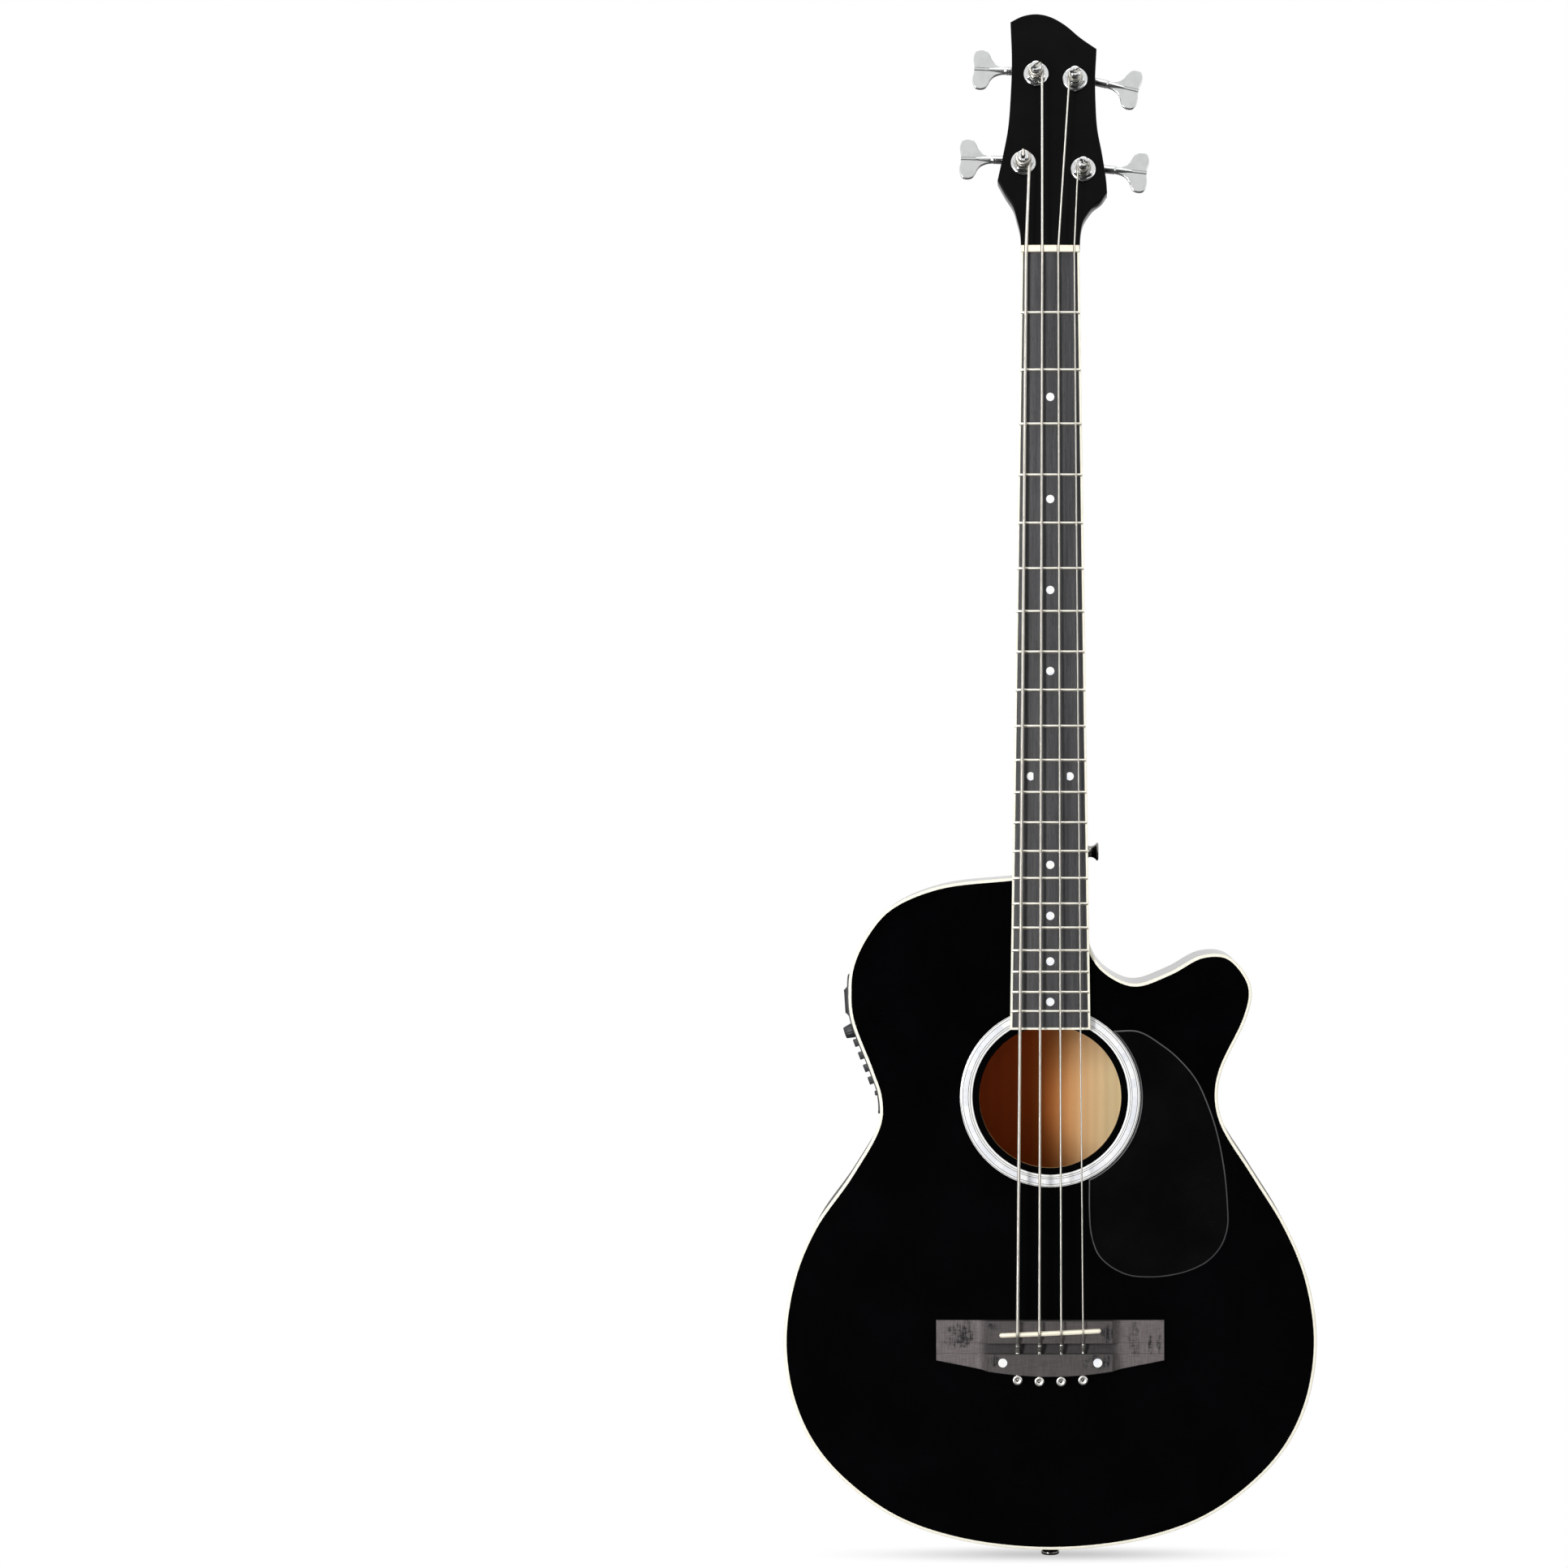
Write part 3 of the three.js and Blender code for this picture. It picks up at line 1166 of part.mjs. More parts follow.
function volumeKnob() {
  const level = (x, diameter) => Array.from({ length: knobRibs * 2 }, (_, i) => {
    const angle = Math.PI * i / knobRibs;
    const radius = diameter / 2 - (i % 2) * knobRibDepth;
    return new THREE.Vector3(x, radius * Math.cos(angle), radius * Math.sin(angle));
  });
  const foot = bezelFace + running;
  const cap = loft([level(foot, knobDiameter), level(foot + knobHeight / 4, knobDiameter),
    level(foot + knobHeight, knobTopDiameter)]);
  return join(cap, rod(knobShaftRadius, -knobShaftDepth, foot + running, 'x', loopSteps / 2));
}

function sliderCap() {
  const foot = bezelFace + running;
  const half = sliderCapWidth / 2;
  const cap = new THREE.ExtrudeGeometry(new THREE.Shape([
    new THREE.Vector2(foot, -sliderCapLength / 2),
    new THREE.Vector2(foot + sliderCapHeight, -sliderCapLength / 4),
    new THREE.Vector2(foot + sliderCapHeight - sliderCapHeight / 5, 0),
    new THREE.Vector2(foot + sliderCapHeight, sliderCapLength / 4),
    new THREE.Vector2(foot, sliderCapLength / 2),
  ]), { depth: sliderCapWidth, bevelEnabled: false }).translate(0, 0, -half);
  return join(cap, block(-sliderStemDepth, foot + running, -sliderStem / 2, sliderStem / 2, -sliderStem / 2,
    sliderStem / 2));
}

function checkButton() {
  const radius = buttonDiameter / 2;
  const top = bezelFace + buttonHeight;
  return turned([[0, -buttonDepth], [radius, -buttonDepth], [radius, top - radius / 3],
    [radius * 2 / 3, top], [0, top]], 'x', loopSteps / 2);
}

// Strap button on the heel, and the output jack that serves as the lower one
function strapButton() {
  const [base, neckRadius, flange] = [strapBaseDiameter / 2, strapNeckDiameter / 2, buttonFlange / 2];
  return turned([
    [0, -strapScrewLength], [strapScrewRadius, -strapScrewLength], [strapScrewRadius, seat], [base, seat],
    [base, seat + flangeThickness / 2],
    [neckRadius, flangeThickness * 1.4], [neckRadius, strapButtonLength - flangeThickness * 1.6],
    [flange, strapButtonLength - flangeThickness],
    [flange, strapButtonLength - flangeThickness / 3], [flange - flangeThickness / 3, strapButtonLength],
    [0, strapButtonLength],
  ], 'x', turnSteps);
}

function endPinJack() {
  const [neckRadius, flange] = [strapNeckDiameter / 2 + jackBoreRadius / 4, buttonFlange / 2];
  const top = jackProud + jackBarrelLength;
  return turned([
    [jackBoreRadius, 0], [flange - flangeThickness / 3, 0], [flange, flangeThickness / 3],
    [flange, flangeThickness],
    [neckRadius, flangeThickness * 1.6], [neckRadius, jackProud - flangeThickness * 1.6],
    [flange, jackProud - flangeThickness],
    [flange, jackProud], [jackBarrelRadius, jackProud], [jackBarrelRadius, top], [0, top],
    [0, jackBoreDepth], [jackBoreRadius, jackBoreDepth],
    [jackBoreRadius, 0],
  ], 'z', turnSteps).translate(0, jackDepth, 0);
}

// Assembly
const materials = Object.fromEntries(Object.entries(finishes)
  .map(([name, look]) => [name, new THREE.MeshStandardMaterial(look)]));

function piece(name, geometry, finish) {
  const mesh = new THREE.Mesh(weld(geometry), materials[finish]);
  mesh.name = name;
  return mesh;
}

function placed(matrix, ...children) {
  const frame = new THREE.Group();
  matrix.decompose(frame.position, frame.quaternion, frame.scale);
  frame.add(...children);
  return frame;
}

function tuner({ string, across, along, side, cant }) {
  const frame = new THREE.Group();
  frame.position.set(across, 0, along);
  frame.rotation.y = radians(cant);
  const key = new THREE.Group();
  key.position.set(0, gearDepth, gearSpacing);
  key.add(piece(`tuner_key_${string}`, tunerKey(side), 'chrome'));
  frame.add(
    piece(`tuner_housing_${string}`, housing(side), 'chrome'),
    piece(`tuner_bushing_${string}`, bushing(), 'chrome'),
    piece(`tuner_post_${string}`, tunerPost(), 'chrome'), key);
  return frame;
}

const guitar = new THREE.Group();
guitar.position.set(0, -yokeDepth, -yokeHeight);
guitar.add(
  piece('soundboard', soundboard(), 'gloss'), piece('back', back(), 'gloss'),
  piece('sides', sides(), 'gloss'),
  piece('top_binding', ring(0, sideThickness, 0, bindingHeight), 'ivory'),
  piece('back_binding', backBinding(), 'ivory'),
  piece('rosette', rosette(), 'pearl'), piece('pickguard', pickguard(), 'plastic'),
  piece('top_lining', topLining(), 'paleWood'), piece('back_lining', backLining(), 'paleWood'),
  piece('neck_block', neckBlock(), 'paleWood'), piece('tail_block', tailBlock(), 'paleWood'),
  piece('x_brace', xBrace(), 'paleWood'), piece('bridge_plate', bridgePlate(), 'darkWood'),
  piece('back_brace_upper', backBrace(cutawayFloor - upperBackBraceDrop), 'paleWood'),
  piece('back_brace_lower', backBrace(bodyTop - lowerBackBraceDrop), 'paleWood'),
  piece('neck', neck(), 'headGloss'), piece('fingerboard', fingerboard(), 'darkWood'),
  piece('fingerboard_binding', fingerboardBinding(), 'ivory'), piece('truss_rod', trussRod(), 'steel'),
  piece('truss_rod_nut', trussRodNut(), 'brass'), piece('nut', nut(), 'bone'),
  piece('bridge', bridge(), 'darkWood'),
  piece('end_pin_jack', endPinJack(), 'nickel'));

const saddleFrame = new THREE.Matrix4().makeRotationY(radians(-saddleSlant))
  .setPosition(0, 0, saddleHeight);
guitar.add(placed(saddleFrame, piece('saddle', saddle(), 'bone'),
  piece('piezo_pickup', piezoPickup(), 'brass')));

const strapFrame = new THREE.Matrix4()
  .setPosition(boardHalf(strapButtonHeight) - strapSeatSink, strapButtonDepth, strapButtonHeight);
guitar.add(placed(strapFrame, piece('heel_strap_button', strapButton(), 'nickel')));

for (const name of names) {
  guitar.add(piece(`string_${name}`, guitarString(name), 'windings'),
    piece(`winding_${name}`, winding(name), 'windings'));
}
guitar.add(placed(headFrame, ...tunerPlaces.map(tuner)));

guitar.add(piece('preamp_bezel', preampBezel(), 'plastic'), piece('preamp_case', preampCase(), 'plastic'));
guitar.add(placed(drawerFrame, piece('battery_drawer', batteryDrawer(), 'plastic'),
  piece('battery', battery(), 'label')));
guitar.add(placed(knobFrame, piece('volume_knob', volumeKnob(), 'plastic')));
guitar.add(placed(buttonFrame, piece('check_button', checkButton(), 'plastic')));
const sliderNames = ['tone_slider_low', 'tone_slider_low_mid', 'tone_slider_high_mid', 'tone_slider_high'];
sliderFrames.forEach((frame, i) => guitar.add(placed(frame,
  piece(sliderNames[i] ?? `tone_slider_${i}`, sliderCap(), 'plastic'))));

export default guitar;
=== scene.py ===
"""Looks of an acoustic bass guitar with a cutaway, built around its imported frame.

Lengths are in millimetres on the bench, where X is the treble side, Y the depth behind the front of the
soundboard and Z the height above the lowest point. Shape.build turns them into metres in the frame.
"""

import json
import logging
import math
from dataclasses import dataclass, field
from enum import Enum
from functools import lru_cache
from typing import Any, Callable, Mapping, Optional, Sequence, Union

import bmesh
import bpy
from mathutils import Matrix, Vector
from mathutils.geometry import tessellate_polygon


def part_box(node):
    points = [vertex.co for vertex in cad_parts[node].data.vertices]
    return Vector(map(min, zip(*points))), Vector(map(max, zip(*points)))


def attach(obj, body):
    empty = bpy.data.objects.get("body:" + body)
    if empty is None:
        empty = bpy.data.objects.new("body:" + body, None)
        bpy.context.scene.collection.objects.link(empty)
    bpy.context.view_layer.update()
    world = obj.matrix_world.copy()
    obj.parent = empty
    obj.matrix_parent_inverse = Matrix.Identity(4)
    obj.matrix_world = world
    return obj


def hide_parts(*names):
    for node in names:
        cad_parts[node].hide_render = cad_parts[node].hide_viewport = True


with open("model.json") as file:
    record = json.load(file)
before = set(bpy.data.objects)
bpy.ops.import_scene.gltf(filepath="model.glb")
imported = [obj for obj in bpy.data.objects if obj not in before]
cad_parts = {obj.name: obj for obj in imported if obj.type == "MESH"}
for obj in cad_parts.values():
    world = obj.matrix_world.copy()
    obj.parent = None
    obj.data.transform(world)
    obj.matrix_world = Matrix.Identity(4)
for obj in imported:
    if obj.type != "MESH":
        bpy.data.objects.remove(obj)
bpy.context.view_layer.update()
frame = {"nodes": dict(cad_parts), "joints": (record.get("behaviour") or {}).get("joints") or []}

log = logging.getLogger("bass")

Triple = tuple[float, float, float]
Colour = Triple
Stops = Sequence[tuple[float, Colour]]
Profile = Sequence[tuple[float, float]]
Loop = list[Vector]

# WELD, in metres, is how near two points are joined. SHARP_EDGE, in degrees, is the angle above which an
# edge shows. In millimetres, SEAT is the gap that a piece keeps to what it lies on, and PROUD is how far a
# dot stands out.
MM = 0.001
WELD = 1e-7
SHARP_EDGE = 32.0
SEAT = 0.3
PROUD = 0.06
EVEN: Triple = (1.0, 1.0, 1.0)

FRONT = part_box("soundboard")[0].y
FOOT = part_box("end_pin_jack")[0].z
BENCH = Matrix.Translation((0.0, FRONT, FOOT)) @ Matrix.Scale(MM, 4)
SADDLE_HEIGHT = 177.2
HOLE_HEIGHT = 354.0
HEAD_THICKNESS = 15.0
HEAD_START = 995.3
HEAD_TILT = 9.0
HEAD = Matrix.Translation((0.0, 0.0, HEAD_START)) @ Matrix.Rotation(math.radians(-HEAD_TILT), 4, "X")


class Axis(Enum):
    """The axis that a turned piece stands on."""

    X = "X"
    Y = "Y"
    Z = "Z"


# Shader maths


def operator(operation: str, swapped: bool = False) -> Callable[["Link", Any], "Link"]:
    """A method of links that adds one Math node.

    Args:
        operation: the node's operation.
        swapped: whether the link stands on the right.

    Returns:
        The method.
    """
    def method(link: "Link", other: Any = 0.0) -> "Link":
        """The operation's result."""
        first, second = (other, link) if swapped else (link, other)
        return link.graph.node("Math", {"operation": operation}, {0: first, 1: second})

    return method


class Link:
    """A value in a material's nodes that can be added to, multiplied and compared."""

    def __init__(self, graph: "Graph", socket: Any) -> None:
        """Keeps the socket and the graph that it is in."""
        self.graph = graph
        self.socket = socket

    __add__ = __radd__ = operator("ADD")
    __sub__, __rsub__ = operator("SUBTRACT"), operator("SUBTRACT", swapped=True)
    __mul__ = __rmul__ = operator("MULTIPLY")
    __truediv__, __pow__ = operator("DIVIDE"), operator("POWER")
    __gt__, __lt__ = operator("GREATER_THAN"), operator("LESS_THAN")
    __abs__, sine, floor = operator("ABSOLUTE"), operator("SINE"), operator("FLOOR")
    angle_to = operator("ARCTAN2")

    def span(self, low: float, high: float) -> "Link":
        """The value mapped from low..high to 0..1 with soft ends."""
        settings = {"interpolation_type": "SMOOTHSTEP"}
        return self.graph.node("MapRange", settings, {0: self, 1: low, 2: high, 3: 0.0, 4: 1.0})


class Graph:
    """The nodes of one material or of the world."""

    def __init__(self, tree: Any) -> None:
        """Empties the tree."""
        self.tree = tree
        tree.nodes.clear()

    def node(self, kind: str, settings: Optional[Mapping[str, Any]] = None,
             sockets: Optional[Mapping[Union[int, str], Any]] = None, result: Union[int, str] = 0) -> Link:
        """Adds a node of any type.

        Args:
            kind: the node's type, without ShaderNode before it.
            settings: properties that are set first; stops are a ramp's places and colours.
            sockets: values or links of its inputs.
            result: name or number of the output that is returned.

        Returns:
            The chosen output.
        """
        made = self.tree.nodes.new("ShaderNode" + kind)
        for name, value in (settings or {}).items():
            if name == "stops":
                ramp = made.color_ramp.elements
                while len(ramp) < len(value):
                    ramp.new(1.0)
                for stop, (place, colour) in zip(ramp, value):
                    stop.position = place
                    stop.color = (*colour, 1.0)
            else:
                setattr(made, name, value)
        for name, value in (sockets or {}).items():
            if isinstance(value, Link):
                self.tree.links.new(value.socket, made.inputs[name])
            elif isinstance(value, tuple) and len(value) == 3 and made.inputs[name].type == "RGBA":
                made.inputs[name].default_value = (*value, 1.0)
            else:
                made.inputs[name].default_value = value
        output = made.outputs[result] if len(made.outputs) else None
        return Link(self, output)

    def place(self, stretch: Triple = EVEN) -> Link:
        """The point on the piece in millimetres, with each axis stretched."""
        spot = self.node("TexCoord", result="Object")
        scale = tuple(share / MM for share in stretch)
        return self.node("VectorMath", {"operation": "MULTIPLY"}, {0: spot, 1: scale})

    def parts(self, vector: Link) -> tuple[Link, ...]:
        """The three parts of a vector."""
        made = self.tree.nodes.new("ShaderNodeSeparateXYZ")
        self.tree.links.new(vector.socket, made.inputs[0])
        return tuple(Link(self, output) for output in made.outputs)

    def noise(self, size: float, stretch: Triple = EVEN, detail: float = 3.0, rough: float = 0.55) -> Link:
        """Noise in patches of a size in millimetres; stretch below 1 draws them out along an axis."""
        sockets = {"Vector": self.place(stretch), "Scale": 1.0 / size, "Detail": detail, "Roughness": rough}
        return self.node("TexNoise", {}, sockets)

    def blend(self, share: Union[Link, float], first: Any, second: Any) -> Link:
        """Mixes two colours: share 0 gives the first, 1 the second."""
        return self.node("Mix", {"data_type": "RGBA"}, {0: share, 6: first, 7: second}, 2)

    def tone(self, first: Any, second: Any) -> Link:
        """Multiplies two colours."""
        settings = {"data_type": "RGBA", "blend_type": "MULTIPLY"}
        return self.node("Mix", settings, {0: 1.0, 6: first, 7: second}, 2)

    def ramp(self, share: Link, stops: Stops) -> Link:
        """A colour that runs through the stops while the share goes from 0 to 1."""
        return self.node("ValToRGB", {"stops": stops}, {0: share})

    def bump(self, height: Link, depth: float, strength: float) -> Link:
        """A normal from a height of 0 to 1 that stands for a depth in millimetres."""
        sockets = {"Strength": strength, "Distance": depth * MM, "Height": height}
        return self.node("Bump", {}, sockets)


# Finishes


def shade(colour: Colour, factor: float) -> Colour:
    """A colour made darker, or lighter above 1."""
    return tuple(min(part * factor, 1.0) for part in colour)


@dataclass(frozen=True)
class Finish:
    """A surface finish. Each kind paints its own nodes."""

    name: str

    def paint(self, graph: Graph) -> dict[str, Any]:
        """What goes into the shader; every finish has its own.

        Args:
            graph: the nodes of the finish's material.

        Returns:
            The shader's sockets by name.
        """
        raise NotImplementedError

    @lru_cache(maxsize=None)
    def material(self) -> bpy.types.Material:
        """The material of this finish, made once."""
        made = bpy.data.materials.new(self.name)
        made.use_nodes = True
        graph = Graph(made.node_tree)
        shader = graph.node("BsdfPrincipled", {}, self.paint(graph))
        graph.node("OutputMaterial", {}, {"Surface": shader})
        return made


@dataclass(frozen=True)
class Lacquer(Finish):
    """Black lacquer, polished, with faint orange peel and polishing haze."""

    colour: Colour = (0.0006, 0.0006, 0.0008)
    gloss: float = 0.06
    specular: float = 0.12

    def paint(self, graph: Graph) -> dict[str, Any]:
        """Deep black with a shallow ripple and rough patches."""
        ripple = graph.noise(7.0, detail=1.0)
        haze = graph.noise(45.0, detail=4.0)
        scuffs = graph.noise(2.2, (1.0, 1.0, 0.12), detail=2.0).span(0.62, 0.86)
        return {
            "Base Color": graph.blend(haze.span(0.3, 0.8), self.colour, shade(self.colour, 1.9)),
            "Roughness": self.gloss + haze * 0.045 + scuffs * 0.05,
            "Specular IOR Level": self.specular,
            "Normal": graph.bump(ripple, 0.02, 0.35),
        }


@dataclass(frozen=True)
class Celluloid(Finish):
    """Ivory celluloid with fine streaks that run along it."""

    colour: Colour = (0.86, 0.84, 0.74)
    streak: Colour = (0.8, 0.76, 0.62)
    gloss: float = 0.28

    def paint(self, graph: Graph) -> dict[str, Any]:
        """Cream with warm streaks and a soft shine."""
        streaks = graph.noise(1.6, (1.0, 1.0, 0.08), detail=3.0)
        age = graph.noise(60.0, detail=2.0)
        tint = graph.blend(streaks.span(0.35, 0.75), self.colour, self.streak)
        return {
            "Base Color": graph.blend(age * 0.25, tint, self.streak),
            "Roughness": self.gloss + streaks * 0.12,
            "Normal": graph.bump(streaks, 0.02, 0.3),
        }


@dataclass(frozen=True)
class Bone(Finish):
    """Polished bone with pale pores."""

    colour: Colour = (0.92, 0.85, 0.7)

    def paint(self, graph: Graph) -> dict[str, Any]:
        """Warm white, mottled, with short pores."""
        mottle = graph.noise(4.0, (0.3, 1.0, 1.0))
        pores = graph.noise(0.7, (0.15, 1.0, 1.0), detail=2.0).span(0.66, 0.8)
        tint = graph.blend(mottle.span(0.3, 0.7), self.colour, shade(self.colour, 0.93))
        return {
            "Base Color": graph.blend(pores * 0.5, tint, (0.7, 0.58, 0.4)),
            "Roughness": 0.3 + mottle * 0.15,
            "Subsurface Weight": 0.08,
            "Subsurface Scale": 0.004,
            "Normal": graph.bump(pores, 0.03, 0.4),
        }


@dataclass(frozen=True)
class Board(Finish):
    """Dark oiled fingerboard with pale streaks and open pores along the neck."""

    dark: Colour = (0.0175, 0.0175, 0.019)
    light: Colour = (0.059, 0.058, 0.062)

    def paint(self, graph: Graph) -> dict[str, Any]:
        """Streaks of two widths, pores and finger wear."""
        wide = graph.noise(5.0, (1.0, 1.0, 0.02), detail=2.0)
        fine = graph.noise(0.9, (1.0, 1.0, 0.035), detail=3.0, rough=0.7)
        pores = graph.noise(0.5, (1.0, 1.0, 0.09), detail=1.0).span(0.6, 0.72)
        wear = graph.noise(30.0, (1.0, 1.0, 0.6), detail=2.0)
        streaks = (wide * 0.55 + fine * 0.65 - 0.1).span(0.28, 0.72)
        tint = graph.blend(streaks, self.dark, self.light)
        return {
            "Base Color": graph.blend(pores * 0.75, tint, (0.012, 0.012, 0.013)),
            "Roughness": 0.36 + wear * 0.14 + pores * 0.2,
            "Normal": graph.bump(fine - pores * 0.9, 0.06, 0.5),
        }


@dataclass(frozen=True)
class WornWood(Finish):
    """Grey-brown dyed wood of the bridge, with upright grain and black spots where the dye is thick."""

    block: Colour = (0.062, 0.055, 0.055)
    wing: Colour = (0.125, 0.108, 0.11)
    half_block: float = 50.0
    # Depth beyond which the block counts as the channel, where shade is painted.
    channel: float = -5.0
    spots: tuple[tuple[float, float, float, float], ...] = (
        (-70.0, -2.0, 12.0, 10.0), (-62.5, 0.0, 4.0, 12.0), (-41.5, 5.0, 6.0, 2.6), (42.5, -1.0, 5.0, 8.0),
        (-42.0, -21.0, 6.0, 4.5), (36.0, -22.0, 13.0, 6.0), (63.0, -6.0, 5.0, 15.0), (75.5, -10.0, 2.0, 9.0),
        (82.0, -6.0, 2.0, 13.0),
    )

    def paint(self, graph: Graph) -> dict[str, Any]:
        """Lighter wings, painted shade in the channel, lines of grain, and streaks of black in the spots."""
        across, depth, up = graph.parts(graph.place())
        rise = up - (SADDLE_HEIGHT + FOOT / MM)
        outer = abs(across).span(self.half_block - 4.0, self.half_block + 6.0)
        grain = graph.noise(0.8, (1.0, 0.5, 0.07), detail=3.0, rough=0.65)
        cross = graph.noise(0.7, (0.06, 0.5, 1.0), detail=2.0)
        # Painted shade: the block's channel floor is blended towards black, for the shade in that recess.
        low = (depth - FRONT / MM).span(self.channel - 0.4, self.channel + 0.4) * (1 - outer)
        base = graph.blend(outer, graph.blend(low * 0.6, self.block, (0.008, 0.008, 0.008)), self.wing)
        lines = (grain * 0.6 + cross * 0.4).span(0.35, 0.7)
        grained = graph.tone(base, graph.blend(lines, (0.62, 0.6, 0.6), (1.2, 1.16, 1.14)))
        thick = graph.noise(16.0, (1.0, 0.3, 1.0), detail=2.0).span(0.62, 0.8) * 0.4
        ragged = (graph.noise(5.0, detail=3.0, rough=0.7) - 0.5) * 2.6
        for x, z, reach, height in self.spots:
            away = ((across - x) / reach) ** 2 + ((rise - z) / height) ** 2
            thick = thick + (1 - (away + ragged).span(0.0, 1.5)) * 0.9
        upright = graph.noise(1.3, (1.0, 0.5, 0.13), detail=4.0, rough=0.75)
        level = graph.noise(1.1, (0.22, 0.5, 1.0), detail=3.0, rough=0.7)
        flecks = (upright * 0.62 + level * 0.4 + thick * 0.07).span(0.5, 0.66)
        worn = thick.span(0.0, 0.7) * flecks
        return {
            "Base Color": graph.blend(worn * 0.95, grained, (0.004, 0.004, 0.004)),
            "Roughness": 0.5 + grain * 0.15 - worn * 0.2,
            "Normal": graph.bump(grain * 0.6 + cross * 0.3 - worn * 0.5, 0.08, 0.55),
        }


@dataclass(frozen=True)
class RawWood(Finish):
    """Bare planed wood with growth lines along the body."""

    early: Colour = (0.52, 0.3, 0.135)
    late: Colour = (0.4, 0.2, 0.075)
    line: float = 6.8

    def paint(self, graph: Graph) -> dict[str, Any]:
        """Growth lines that wander, small flecks and a dry surface."""
        across, depth, _ = graph.parts(graph.place())
        wander = graph.noise(70.0, (1.0, 1.0, 0.16), detail=2.0)
        lines = ((across + depth * 0.7 + wander * 26.0) * (math.tau / self.line)).sine() * 0.5 + 0.5
        fibre = graph.noise(0.6, (1.0, 1.0, 0.04), detail=3.0)
        cloud = graph.noise(28.0, (1.0, 1.0, 0.3), detail=3.0)
        ray = graph.noise(2.0, (0.5, 1.0, 0.5), detail=2.0).span(0.62, 0.75)
        tint = graph.blend(lines * 0.3 + fibre * 0.35 + cloud * 0.35, self.early, self.late)
        return {
            "Base Color": graph.blend(ray * 0.18, tint, shade(self.early, 1.3)),
            "Roughness": 0.52 + fibre * 0.2,
            "Normal": graph.bump(fibre, 0.05, 0.4),
        }


@dataclass(frozen=True)
class PaintedLightWood(RawWood):
    """Bare wood with painted light and shade across it: a deep orange, painted shade, on the bass side,
    running to pale, a painted pool of lamp light through the soundhole, on the treble side.
    """

    reach: float = 50.0
    wood_and_light_tones: tuple[tuple[float, Colour], ...] = (
        (-42.0, (0.42, 0.066, 0.006)), (-15.0, (0.45, 0.08, 0.005)), (-2.0, (0.6, 0.18, 0.036)),
        (14.0, (0.76, 0.37, 0.14)), (28.0, (0.95, 0.62, 0.32)), (47.0, (0.98, 0.78, 0.45)),
    )

    def paint(self, graph: Graph) -> dict[str, Any]:
        """The bare wood's own pattern, times a ramp across that gives the wood's colour and the painted light
        and shade.
        """
        sockets = super().paint(graph)
        across, _, _ = graph.parts(graph.place())
        stops = [(x / (2 * self.reach) + 0.5, colour) for x, colour in self.wood_and_light_tones]
        # Painted light and shade: the ramp is dark on the bass side and pale where lamp light through the
        # soundhole falls.
        wood_and_light = graph.ramp(across / (2 * self.reach) + 0.5, stops)
        return {**sockets, "Base Color": graph.tone(sockets["Base Color"], wood_and_light), "Specular IOR Level": 0.12}


@dataclass(frozen=True)
class Pearl(Finish):
    """Mother of pearl: cells of slightly different silver, pink and green."""

    cell: float = 3.0
    stops: Stops = (
        (0.0, (0.56, 0.6, 0.66)), (0.35, (0.78, 0.8, 0.84)), (0.6, (0.86, 0.85, 0.82)),
        (1.0, (0.72, 0.78, 0.78)),
    )

    def paint(self, graph: Graph) -> dict[str, Any]:
        """Cloudy silver cells under a clear shine."""
        patch = graph.node("TexVoronoi", {}, {"Vector": graph.place(), "Scale": 1.0 / self.cell}, 1)
        level = graph.node("RGBToBW", {}, {0: patch})
        cloud = graph.noise(2.0)
        return {
            "Base Color": graph.ramp(level * 0.6 + cloud * 0.4, self.stops),
            "Roughness": 0.16 + cloud * 0.12,
            "Coat Weight": 0.4,
            "Coat Roughness": 0.05,
        }


@dataclass(frozen=True)
class Mosaic(Finish):
    """The rosette: purfling lines round a band of pearl blocks, by distance from the soundhole's middle."""

    band: tuple[float, float] = (62.0, 65.75)
    lines: tuple[tuple[float, float], ...] = ((60.25, 60.6), (61.65, 62.0), (65.75, 66.1), (67.25, 67.6))
    blocks: int = 58
    stops: Stops = (
        (0.0, (0.58, 0.59, 0.63)), (0.3, (0.7, 0.71, 0.75)), (0.65, (0.8, 0.8, 0.81)),
        (1.0, (0.9, 0.89, 0.86)),
    )

    def paint(self, graph: Graph) -> dict[str, Any]:
        """White ground, thin black lines and shimmering blocks in the band."""
        across, _, up = graph.parts(graph.place())
        rise = up - (HOLE_HEIGHT + FOOT / MM)
        radius = (across * across + rise * rise) ** 0.5
        cell = (rise.angle_to(across) * (self.blocks / math.tau)).floor()
        pick = graph.node("TexWhiteNoise", {"noise_dimensions": "1D"}, {"W": cell})
        cloud = graph.noise(2.6)
        shimmer = graph.ramp(pick * 0.55 + cloud * 0.5, self.stops)
        in_band = (radius > self.band[0]) * (radius < self.band[1])
        black = sum(((radius > low) * (radius < high) for low, high in self.lines), start=0.0 * radius)
        ground = graph.blend(in_band, (0.8, 0.8, 0.79), shimmer)
        return {
            "Base Color": graph.blend(black, ground, (0.01, 0.01, 0.012)),
            "Roughness": 0.14 + cloud * 0.1,
            "Coat Weight": 0.3,
            "Coat Roughness": 0.05,
        }


